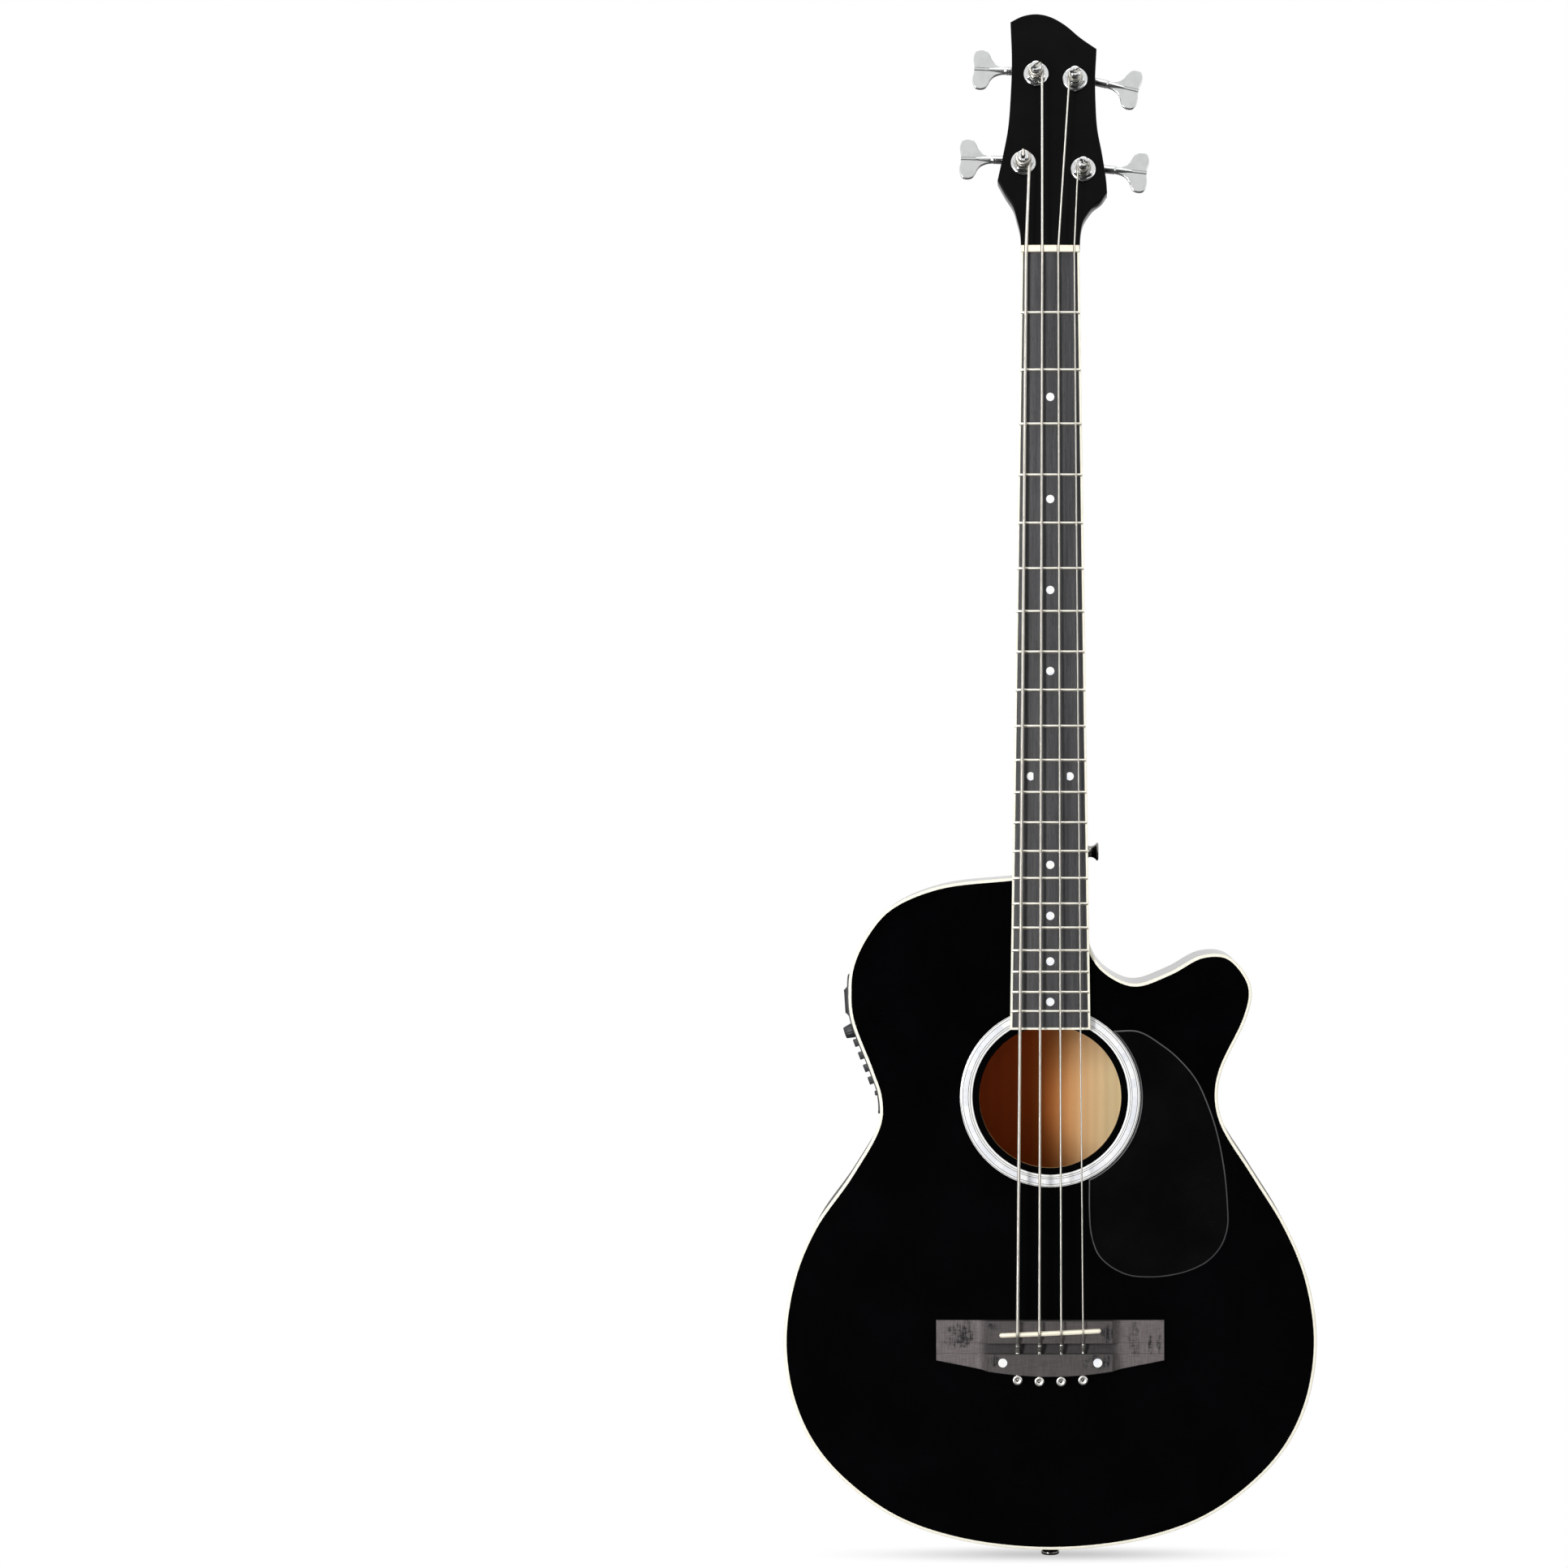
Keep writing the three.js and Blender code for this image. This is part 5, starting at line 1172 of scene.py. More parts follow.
    def walls(self) -> None:
        """The bent sides, lacquered outside, and both bindings."""
        loop = self.outline()
        inner = inset(loop, self.side)
        front = [at_depth(ring, self.binding) for ring in (inner, loop)]
        rear = [self.at_back(ring, self.binding) for ring in (loop, inner)]
        shape = Shape().skin([*front, *rear], along=True)
        inner_start = 3 * len(loop)
        shape.tints[inner_start:] = [1] * len(loop)
        made = shape.build("bent_sides", BENCH, BLACK, BACK_INSIDE_PAINTED_LIGHT)
        self.sides = deliver(made, "body", "black_gloss_lacquer", "sides")
        for name, lay, node in (("front_binding", at_depth, "top_binding"),
                                ("rear_binding", self.at_back, "back_binding")):
            deliver(self._binding(lay).build(name, BENCH, IVORY), "body", "ivory_binding", node)

    def build(self) -> None:
        """Makes the shell and dresses what is inside."""
        self.soundboard()
        self.back_plate()
        self.walls()
        coat(SPRUCE, "x_brace", "back_brace_upper", "back_brace_lower", "top_lining", "back_lining")
        coat(MAHOGANY, "neck_block", "tail_block", "bridge_plate")


# Rosette and pickguard

PICKGUARD_SHARES = (
    (0.498, 0.365), (0.633, 0.288), (0.722, 0.216), (0.822, 0.099), (0.886, -0.034), (0.941, -0.198),
    (0.982, -0.405), (1, -0.6), (1, -0.72), (0.963, -0.828), (0.886, -0.912), (0.776, -0.966),
    (0.644, -0.995), (0.534, -1), (0.434, -0.9875), (0.334, -0.939), (0.267, -0.873), (0.228, -0.765),
    (0.217, -0.635),
)


@dataclass
class Front:
    """What lies on the soundboard round the hole."""

    inner: float = 117.5
    outer: float = 136.0
    proud: float = 0.12
    sunk: float = 1.2
    rim: float = 0.15
    ring_steps: int = 120
    guard_width: float = 134.0
    guard_drop: float = 136.0
    guard_margin: float = 0.8
    guard_low: float = 0.05
    guard_top: float = 1.5
    guard_start: float = 46.5
    guard_end: float = -65.0
    guard_steps: int = 24

    def rosette(self) -> None:
        """The inlaid ring with softly rounded rims."""
        a, b, up = self.inner / 2, self.outer / 2, -self.proud
        profile = [(a, self.sunk), (a, up * 0.3), (a + self.rim, up), (b - self.rim, up), (b, up * 0.3),
                   (b, self.sunk)]
        shape = Shape().turned(profile, self.ring_steps, Axis.Y, Vector((0, 0, HOLE_HEIGHT)), closed=True)
        deliver(shape.build("pearl_rosette", BENCH, ROSETTE), "body", "pearl_inlay", "rosette")

    def pickguard(self) -> None:
        """The thin guard with a bevelled, lighter edge."""
        radius = self.outer / 2 + self.guard_margin
        sweep, steps = self.guard_start - self.guard_end, self.guard_steps
        angles = [math.radians(self.guard_end + sweep * i / steps) for i in range(steps + 1)]
        rim = [Vector((radius * math.cos(angle), 0.0, radius * math.sin(angle))) for angle in angles]
        free = [Vector((x * self.guard_width, 0.0, z * self.guard_drop)) for x, z in PICKGUARD_SHARES]
        line = [*spline([rim[-1], *free, rim[0]], 6), *rim[1:-1]]
        loop = [p + Vector((0.0, 0.0, HOLE_HEIGHT)) for p in line]
        low, high = -self.guard_low, -self.guard_top
        shape = Shape().plate(loop, [(0.0, low), (0.0, high + 0.7), (0.5, high + 0.12), (0.8, high)], 1)
        made = shape.build("bevelled_pickguard", BENCH, GUARD, GUARD_EDGE)
        deliver(made, "body", "pickguard_plastic", "pickguard")

    def build(self) -> None:
        """Makes both."""
        self.rosette()
        self.pickguard()


# Neck

HEAD_SHARES = (
    ((-0.515, 0), (-0.53, 0.06), (-0.585, 0.115), (-0.655, 0.17), (-0.8, 0.226), (-0.928, 0.282)),
    ((-0.928, 0.282), (-0.83, 0.393), (-0.745, 0.505), (-0.7, 0.645), (-0.68, 0.8), (-0.705, 0.965)),
    ((-0.705, 0.965), (-0.5, 0.99), (-0.25, 1), (0, 0.988), (0.26, 0.953), (0.53, 0.898), (0.82, 0.849)),
    ((0.82, 0.849), (0.795, 0.73), (0.8, 0.62), (0.83, 0.505), (0.915, 0.393), (0.985, 0.282), (1, 0.232)),
    ((1, 0.232), (0.9, 0.198), (0.755, 0.171), (0.66, 0.142), (0.58, 0.108), (0.535, 0.06), (0.52, 0)),
)
HEEL_SHARES = (
    (0, 1), (0.1, 0.965), (0.22, 0.84), (0.36, 0.62), (0.52, 0.38), (0.7, 0.17), (0.86, 0.05), (1, 0),
)


@dataclass
class Neck:
    """Neck with heel and headstock, fingerboard, frets, dots, binding and nut."""

    heel_foot: float = 519.8
    heel_length: float = 78.0
    heel_reach: float = 85.0
    heel_top: float = 18.0
    depth: float = 16.0
    back_steps: int = 28
    nut_front: float = 990.0
    nut_width: float = 44.0
    end_width: float = 60.5
    board_end: float = 405.0
    board_top: float = 7.3
    camber: float = 400.0
    binding: float = 1.7
    head_length: float = 183.0
    head_width: float = 86.0
    scale: float = 812.8
    frets: int = 21
    fret_height: float = 1.1
    fret_width: float = 2.4
    fret_margin: float = 0.35
    nut_length: float = 5.0
    nut_rise: float = 3.0
    dot: float = 6.2
    double_dot: float = 29.2
    dot_frets: tuple[int, ...] = (3, 5, 7, 9, 12, 15, 17, 19, 21)
    string_spread: float = 36.0
    slot_widths: tuple[float, ...] = (1.55, 1.3, 1.05, 0.85)
    slot_floors: tuple[float, ...] = (9.4, 9.3, 9.3, 9.35)

    def half(self, z: float) -> float:
        """Half the width of neck and fingerboard at a height."""
        share = (z - self.board_end) / (self.nut_front - self.board_end)
        return self.end_width / 2 + (self.nut_width - self.end_width) / 2 * share

    def fall(self, x: float) -> float:
        """How far the fingerboard's camber falls at a place across."""
        return x * x / 2 / self.camber

    def _section(self, z: float, depth: float, half: float, top: float = 0.0) -> Loop:
        """Rounded back of the neck at a height, behind a flat front at the depth of top."""
        angles = [math.pi * i / self.back_steps for i in range(self.back_steps + 1)]
        return [Vector((half * math.cos(a), top + depth * math.sin(a), z)) for a in angles]

    def shaft(self) -> None:
        """Neck and heel, and the swelling where it runs into the headstock."""
        rings = []
        for point in spline([Vector((0.0, extra, along)) for along, extra in HEEL_SHARES], 5):
            z = self.heel_foot + point.z * self.heel_length
            reach = self.heel_top + point.y * (self.heel_reach - self.heel_top)
            rings.append(self._section(z, reach, self.half(z)))
        start, count = self.heel_foot + self.heel_length, 12
        for i in range(1, count + 1):
            z = start + (self.nut_front - start) * i / count
            reach = self.heel_top + (self.depth - self.heel_top) * i / count
            rings.append(self._section(z, reach, self.half(z)))
        slope, count = math.tan(math.radians(HEAD_TILT)), 8
        for i in range(1, count + 1):
            z = self.nut_front + 3.5 * i
            past = max(z - HEAD_START, 0.0)
            reach = self.depth - 1.1 * i / count + 1.6 * math.sin(math.pi * i / (count + 1))
            top = past * slope + 0.4 * (past > 0)
            rings.append(self._section(z, reach, self.nut_width / 2 - 0.05 * i, top))
        shape = Shape().skin(rings)
        deliver(shape.build("neck_and_heel", BENCH, HEAD_BLACK), "body", "black_neck_lacquer", "neck")

    def headstock(self) -> None:
        """The bare black headstock with softened edges."""
        loop: Loop = []
        for run in HEAD_SHARES:
            line = spline([Vector((x * self.head_width / 2, 0.0, u * self.head_length)) for x, u in run], 7)
            loop.extend(line[:-1])
        loop.append(line[-1])
        soft = ((1.0, 0.0), (0.5, 0.12), (0.15, 0.45), (0.0, 1.0))
        rear = [(inward, HEAD_THICKNESS - depth) for inward, depth in reversed(soft)]
        shape = Shape().plate(loop, [*soft, *rear])
        deliver(shape.build("headstock", BENCH @ HEAD, HEAD_BLACK), "body", "black_neck_lacquer")

    def fret_place(self, n: int) -> float:
        """Height of a fret; fret 0 is the nut."""
        return SADDLE_HEIGHT + self.scale * 2 ** (-n / 12)

    def board(self) -> None:
        """The cambered fingerboard; the frets cover its slots."""
        across = [i / 12 * 2 - 1 for i in range(13)]
        rings = []
        for z in (self.nut_front - SEAT, self.board_end + self.binding):
            half = self.half(z) - self.binding
            top = [Vector((s * half, -self.board_top + self.fall(s * half), z)) for s in across]
            rings.append([*top, Vector((half, -SEAT, z)), Vector((-half, -SEAT, z))])
        made = Shape().skin(rings).build("fingerboard_wood", BENCH, FINGERBOARD)
        deliver(made, "body", "dark_fingerboard_wood", "fingerboard")

    def fret_wires(self) -> None:
        """Frets with round crowns and filed ends."""
        shape = Shape()
        crown = [(math.cos(math.pi * i / 8), math.sin(math.pi * i / 8)) for i in range(9)]
        filed = ((1.0, 0.25), (0.985, 0.8), (0.96, 1.0))
        middle = [(i / 6 - 1, 1.0) for i in range(1, 12)]
        stations = [*((-share, lift) for share, lift in filed), *middle, *reversed(filed)]
        sunk = 0.1
        for n in range(1, self.frets + 1):
            z = self.fret_place(n)
            half = self.half(z) - self.fret_margin
            rings = []
            for share, lift in stations:
                x = share * half
                base, rise = -self.board_top + self.fall(x) + sunk, self.fret_height * lift + sunk
                rings.append([Vector((x, base - rise * s, z + c * self.fret_width / 2)) for c, s in crown])
            shape.skin(rings)
        deliver(shape.build("fret_wires", BENCH, FRET), "body", "dark_fingerboard_wood")

    def dots(self) -> None:
        """Pearl dots between the frets."""
        shape = Shape()
        for n in self.dot_frets:
            z = (self.fret_place(n) + self.fret_place(n - 1)) / 2
            for x in ((-self.double_dot / 2, self.double_dot / 2) if n == 12 else (0.0,)):
                shape.dot(x, self.fall(x) - self.board_top - PROUD, z, self.dot / 2, 0.5, 0.1)
        deliver(shape.build("pearl_dots", BENCH, PEARL), "body", "pearl_inlay")

    def edge_binding(self) -> None:
        """Ivory strips along both edges and the end of the fingerboard."""
        low, high = self.board_end, self.nut_front - SEAT
        top = -self.board_top + self.fall(self.nut_width / 2)
        rings = []
        for z, side in ((high, -1), (low, -1), (low, 1), (high, 1)):
            outer, at_end = self.half(z), z == low
            inner, end = outer - self.binding, self.binding
            ring = ((outer, -SEAT, 0.0), (outer, top + 0.35, 0.0), (outer - 0.1, top + 0.1, 0.1),
                    (outer - 0.35, top, 0.35), (inner, top, end), (inner, -SEAT, end))
            rings.append([Vector((side * x, y, z + at_end * lift)) for x, y, lift in ring])
        made = Shape().skin(rings).build("board_binding", BENCH, IVORY)
        deliver(made, "body", "ivory_binding", "fingerboard_binding")

    def nut(self) -> None:
        """The slotted bone nut."""
        half = self.nut_width / 2
        low, high = self.nut_front, self.nut_front + self.nut_length
        stations = {-half, half, half - 0.5, 0.5 - half, *(half * (i / 10 - 1) for i in range(1, 20))}
        slots = []
        for i, (width, floor) in enumerate(zip(self.slot_widths, self.slot_floors)):
            x = self.string_spread * (i / 3 - 0.5)
            slots.append((x, width, floor))
            stations |= {x + width * share for share in (-1.02, -1.0, -0.9, -0.6, 0.0, 0.6, 0.9, 1.0, 1.02)}
        rings = []
        for x in sorted(stations):
            top = self.board_top + self.nut_rise - self.fall(x)
            for middle, width, floor in slots:
                if abs(x - middle) <= width * 1.001:
                    top = floor - math.sqrt(max(width ** 2 - (x - middle) ** 2, 0.0)) - 0.25
            top -= 0.4 if abs(x) > half - 0.2 else 0.0
            section = ((-SEAT, low), (-top + 0.5, low), (-top, low + 0.5), (-top + 0.2, high - 1.2),
                       (-top + 1.2, high), (-SEAT, high))
            rings.append([Vector((x, y, z)) for y, z in section])
        deliver(Shape().skin(rings).build("bone_nut", BENCH, BONE), "body", "bone", "nut")

    def build(self) -> None:
        """Makes the neck's pieces from back to front."""
        self.shaft()
        self.headstock()
        self.board()
        self.fret_wires()
        self.dots()
        self.edge_binding()
        self.nut()
        coat(STEEL, "truss_rod")
        coat(BRASS, "truss_rod_nut")


# Bridge


@dataclass
class Bridge:
    """Bridge with its raised block, channel and dots, and the saddle."""

    front: float = 8.8
    width: float = 171.8
    block: float = 93.4
    scoop: float = 9.0
    end_length: float = 30.2
    shoulder_length: float = 37.9
    length: float = 41.8
    wing: float = 3.2
    rise: float = 9.2
    channel_start: float = 8.0
    channel_length: float = 8.0
    channel_floor: float = 3.5
    bevel: float = 0.5
    soft: float = 0.3
    saddle_length: float = 76.6
    saddle_width: float = 3.2
    saddle_rise: float = 13.6
    saddle_fall: float = 1.2
    saddle_foot: float = 4.8
    saddle_camber: float = 400.0
    slant: float = 2.6
    dot: float = 6.7
    dot_across: float = 35.7
    dot_drop: float = 31.3

    def tail(self, x: float) -> float:
        """Height of the bridge's lower edge.

        Args:
            x: the place across.

        Returns:
            The height.
        """
        out, half = abs(x), self.block / 2
        if out <= half:
            length = self.length - (self.length - self.shoulder_length) * (out / half) ** 2
        else:
            share = (out - half) / (self.width / 2 - half)
            length = self.shoulder_length + (self.end_length - self.shoulder_length) * share
        return SADDLE_HEIGHT + self.front - length

    def height(self, x: float) -> float:
        """Rise of the bridge over the soundboard."""
        share = min(max((abs(x) - self.block / 2) / self.scoop, 0.0), 1.0)
        return self.rise - (self.rise - self.wing) * math.sin(share * math.pi / 2)

    def wood(self) -> None:
        """The bridge as a row of sections across it."""
        half, inner, bevel, soft = self.width / 2, self.block / 2, self.bevel, self.soft
        right = [half, half - soft, half - bevel,
                 *(inner + self.scoop * (1.15 + i * 0.6) for i in range(4, -1, -1)),
                 *(inner + self.scoop * i / 8 for i in range(8, 0, -1)), inner, inner - 0.4,
                 *(inner * i / 8 for i in range(7, 0, -1))]
        drops = {half: bevel, half - soft: bevel / 3}
        high = SADDLE_HEIGHT + self.front
        a = SADDLE_HEIGHT - self.channel_start
        b = a - self.channel_length
        rings = []
        for x in (*(-x for x in right), 0.0, *reversed(right)):
            top, low = self.height(x) - drops.get(abs(x), 0.0), self.tail(x)
            floor = min(top, self.channel_floor)
            section = ((high, SEAT), (high, top - bevel), (high - bevel, top), (a + soft, top),
                       (a, top - soft), (a - 0.02, floor), (b + 0.02, floor), (b, top - soft),
                       (b - soft, top), (low + bevel, top), (low, top - bevel), (low, SEAT))
            rings.append([Vector((x, -max(y, SEAT), z)) for z, y in section])
        shape = Shape().skin(rings)
        deliver(shape.build("bridge_wood", BENCH, BRIDGE_WOOD), "body", "dark_fingerboard_wood", "bridge")

    def dots(self) -> None:
        """The two pearl dots over the bridge's bolts."""
        shape = Shape()
        z = SADDLE_HEIGHT + self.front - self.dot_drop
        for x in (-self.dot_across, self.dot_across):
            shape.dot(x, -self.rise - PROUD, z, self.dot / 2, 1.0, 0.15)
        deliver(shape.build("bridge_dots", BENCH, PEARL), "body", "pearl_inlay")

    def saddle(self) -> None:
        """The slanted bone saddle with round ends and a crowned top."""
        half, r = self.saddle_length / 2, self.saddle_width / 2
        ends = [half - r + r * math.sin(math.radians(a)) for a in (90, 75, 60, 40, 20, 0)]
        fall, sunk = self.saddle_fall, -self.saddle_foot
        rings = []
        for x in (*(-x for x in ends), *(ends[-1] * (i / 8 - 1) for i in range(1, 16)), *reversed(ends)):
            past = max(abs(x) - (half - r), 0.0)
            w = math.sqrt(max(r * r - past * past, 0.0)) + 0.02
            crown = x * x / 2 / self.saddle_camber - self.saddle_rise + 0.9 * (past / r) ** 2
            section = ((w, sunk), (w, crown + 0.9), (w * 0.8, crown + 0.3), (w * 0.35, crown),
                       (-w * 0.15, crown + 0.02), (-w * 0.6, crown + fall * 0.5), (-w, crown + fall + 0.3),
                       (-w, sunk))
            rings.append([Vector((x, y, z)) for z, y in section])
        lean = Matrix.Rotation(math.radians(-self.slant), 4, "Y")
        place = BENCH @ Matrix.Translation((0, 0, SADDLE_HEIGHT)) @ lean
        deliver(Shape().skin(rings).build("bone_saddle", place, BONE), "body", "bone", "saddle")

    def build(self) -> None:
        """Makes the bridge's pieces."""
        self.wood()
        self.dots()
        self.saddle()
        coat(BRASS, "piezo_pickup")


# Tuners and strings

KEY_SHARES = (
    (0, 0.17), (0.18, 0.21), (0.34, 0.32), (0.45, 0.5), (0.53, 0.76), (0.62, 0.94), (0.76, 1), (0.9, 0.95),
    (0.985, 0.72), (1, 0.45), (0.97, 0.18), (0.965, 0),
)


@dataclass
class Tuner:
    """One enclosed tuner: housing, washer with its hexagon, post and key."""

    string: str
    side: int
    slot_angle: float
    hex_turn: float
    washer: float = 19.3
    washer_thickness: float = 2.0
    hexagon: float = 13.4
    hex_height: float = 3.7
    bore: float = 4.6
    sleeve: float = 5.8
    sleeve_length: float = 14.0
    post_length: float = 20.0
    tip_length: float = 3.5
    post_radius: float = 4.2
    waist: float = 3.2
    slot_width: float = 2.8
    slot_depth: float = 3.2
    hollow: float = 1.8
    hollow_depth: float = 9.0
    gear_depth: float = 21.88
    wheel_radius: float = 6.0
    wheel_half: float = 2.4
    teeth: int = 16
    housing_width: float = 17.0
    housing_low: float = -8.65
    housing_high: float = 13.7
    housing_depth: float = 27.0
    housing_corner: float = 3.0
    screw_margin: float = 4.2
    key_inner: float = 23.0
    key_length: float = 25.8
    key_width: float = 31.8
    paddle: float = 3.0
    place: Matrix = field(init=False)
    key_place: Matrix = field(init=False)

    def __post_init__(self) -> None:
        """Takes the post's and the key's places from their joints."""
        post, key = joint(f"post_turn_{self.string}"), joint(f"key_turn_{self.string}")
        x_axis, y_axis = Vector(key["axis"]), -Vector(post["axis"])
        z_axis = x_axis.cross(y_axis)
        turn = Matrix((x_axis, y_axis, z_axis)).transposed().to_4x4()
        self.place = Matrix.Translation(post["pos_m"]) @ turn @ Matrix.Scale(MM, 4)
        self.key_place = Matrix.Translation(key["pos_m"]) @ turn @ Matrix.Scale(MM, 4)

    def _name(self, word: str) -> str:
        """A piece's name with its string's letter."""
        return f"{word}_{self.string}"

    def bushing(self) -> None:
        """Domed washer, chamfered hexagon and threaded sleeve."""
        w, t, flat = self.washer / 2, self.washer_thickness, self.hexagon / 2
        sleeve, bore, end, top = self.sleeve, self.bore, self.sleeve_length, -SEAT - self.washer_thickness
        shape = Shape().turned([
            (sleeve, end), (sleeve, -SEAT), (w - 0.3, -SEAT), (w, -0.7), (w - 0.05, -1.4), (w - 0.3, -1.85),
            (w - 0.75, top + 0.1), (w - 1.2, top), (w - 1.35, top), (bore, top), (bore, end),
        ], 48, closed=True)
        face = top - self.hex_height
        limits = [(flat * 1.155, -t), (flat * 1.155, face + 1.0), (flat * 1.09, face + 0.35), (flat, face),
                  (5.7, face), (bore, face + 0.5), (bore, -t)]

        def flats(radius: float, angle: float) -> float:
            """The hexagon's reach at an angle, or the ring's own radius where that is less."""
            sector = math.radians(60.0)
            off = (angle + math.radians(self.hex_turn)) % sector - sector / 2
            return min(radius, flat / math.cos(off))

        shape.turned(limits, 48, trim=flats, closed=True)
        deliver(shape.build(self._name("washer_and_nut"), self.place, CHROME), "body", "tuner_chrome",
                self._name("tuner_bushing"))

    def post(self) -> None:
        """The post: a plain shaft, a waist for the string, and a slotted tip as wide as the shaft."""
        r, thin, top = self.post_radius, self.waist, -self.post_length
        neck = top + self.tip_length
        shape = Shape().turned([
            (r, self.gear_depth + 2.5), (r, -6.2), (r - 0.15, -6.5), (thin + 0.25, -7.15), (thin, -7.5),
            (thin, neck), (thin + 0.25, neck - 0.45), (r - 0.15, neck - 0.95), (r, neck - 1.2),
            (r, top + 0.8), (r - 0.15, top + 0.35), (r - 0.5, top + 0.08), (r - 0.9, top),
        ], 48)
        made = shape.build(self._name("slotted_post"), self.place, CHROME)
        w, past = self.slot_width / 2, 9.0
        slot = Shape().block((-w, top - 1, -past), (w, top + self.slot_depth, past))
        hollow = Shape().turned([(self.hollow, top - 1), (self.hollow, top + self.hollow_depth)], 24)
        turn = self.place @ Matrix.Rotation(math.radians(self.slot_angle), 4, "Y")
        # The slot's and hollow's cut faces take the dark metal: painted shade inside them.
        carve(made, PAINTED_SHADE_METAL, (slot, turn), (hollow, turn))
        deliver(made, self._name("post"), "tuner_chrome", self._name("tuner_post"))

    def wheel(self) -> None:
        """The toothed wheel that the worm turns."""
        tip, root = self.wheel_radius + 0.6, self.wheel_radius - 0.75
        tooth = ((root, -0.11), (tip, -0.04), (tip, 0.04), (root, 0.11))
        rings = []
        for side in (-1, 1):
            y, lean = self.gear_depth + side * self.wheel_half, side * 0.055
            middles = [(k + 0.5) * math.tau / self.teeth + lean for k in range(self.teeth)]
            corners = [(radius, middle + off) for middle in middles for radius, off in tooth]
            rings.append([Vector((radius * math.sin(a), y, radius * math.cos(a))) for radius, a in corners])
        made = Shape().skin(rings).build(self._name("worm_wheel"), self.place, BRASS)
        deliver(made, self._name("post"), "tuner_chrome")

    def housing(self) -> None:
        """The sealed cast housing with its rounded back and two screws."""
        half, low, far = self.housing_width / 2, self.housing_low, self.housing_depth
        loop = rounded_box(half, low, self.housing_high, self.housing_corner, 6)
        shape = Shape().plate(loop, [
            (0.0, HEAD_THICKNESS + SEAT), (0.0, far - 2.6), (0.25, far - 1.4), (0.9, far - 0.5),
            (2.0, far - 0.1), (3.4, far),
        ])
        screw = [(2.1, far - 0.6), (2.1, far + 0.25), (1.7, far + 0.55), (0.9, far + 0.7)]
        for x in (half - self.screw_margin, self.screw_margin - half):
            shape.turned(screw, 24, Axis.Y, Vector((x, 0.0, low + self.screw_margin)))
        made = shape.build(self._name("sealed_housing"), self.place, CHROME)
        deliver(made, "body", "tuner_chrome", self._name("tuner_housing"))

    def key(self) -> None:
        """The key: worm shaft, collar, and a flat whale-tail paddle with a rib along its middle and strips of
        painted shade beside it.
        """
        inner, side = self.key_inner, self.side
        far = inner + self.key_length
        shape = Shape().turned([(radius, side * x) for radius, x in (
            (2.0, 2.0), (2.0, 8.9), (3.1, 8.9), (3.2, 9.2), (3.2, inner - 1.5), (2.95, inner - 1.4),
            (2.95, inner - 1.1), (3.35, inner - 1.0), (3.35, inner - 0.1), (3.1, inner), (2.95, inner + 0.2),
            (2.8, inner + 2.5), (2.5, inner + 6.0), (2.1, inner + 10.0), (1.8, inner + 14.0),
            (1.5, inner + 18.5), (0.8, far - 2.0),
        )], 36, Axis.X)
        curve = spline([Vector((u, 0.0, w)) for u, w in KEY_SHARES], 6)
        upper = [(inner + 0.2 + p.x * (self.key_length - 0.2), p.z * self.key_width / 2) for p in curve]
        lower = [(x, -z) for x, z in reversed(upper[:-1])]
        outline = [Vector((side * x, 0.0, z)) for x, z in (*upper, *lower)]
        half = self.paddle / 2
        rim = [(0.0, 0.75), (0.08, 1.1), (0.3, 1.38), (0.65, half)]
        shape.plate(outline, [*((inward, -y) for inward, y in reversed(rim)), *rim])
        ends = (side * (inner + 9.0), side * (far - 1.0))
        rib = ((-1.0, half - 0.1), (-0.75, half + 0.24), (0.0, half + 0.3), (0.75, half + 0.24),
               (1.0, half - 0.1))
        # Thin dark strips along both flanks of the rib: painted shade.
        rib_shade = ((-0.13, half - 0.2), (-0.13, half + 0.02), (0.13, half + 0.02), (0.13, half - 0.2))
        for sign in (-1.0, 1.0):
            shape.skin([[Vector((x, sign * y, z)) for z, y in rib] for x in ends])
            for edge in (-1.1, 1.1):
                shape.skin([[Vector((x, sign * y, edge + z)) for z, y in rib_shade] for x in ends], tint=1)
        made = shape.build(self._name("whale_tail_key"), self.key_place, SATIN_CHROME, PAINTED_SHADE_METAL, sharp=40)
        deliver(made, self._name("key"), "tuner_chrome", self._name("tuner_key"))

    def build(self) -> None:
        """Makes the tuner's pieces."""
        self.bushing()
        self.post()
        self.wheel()
        self.housing()
        self.key()


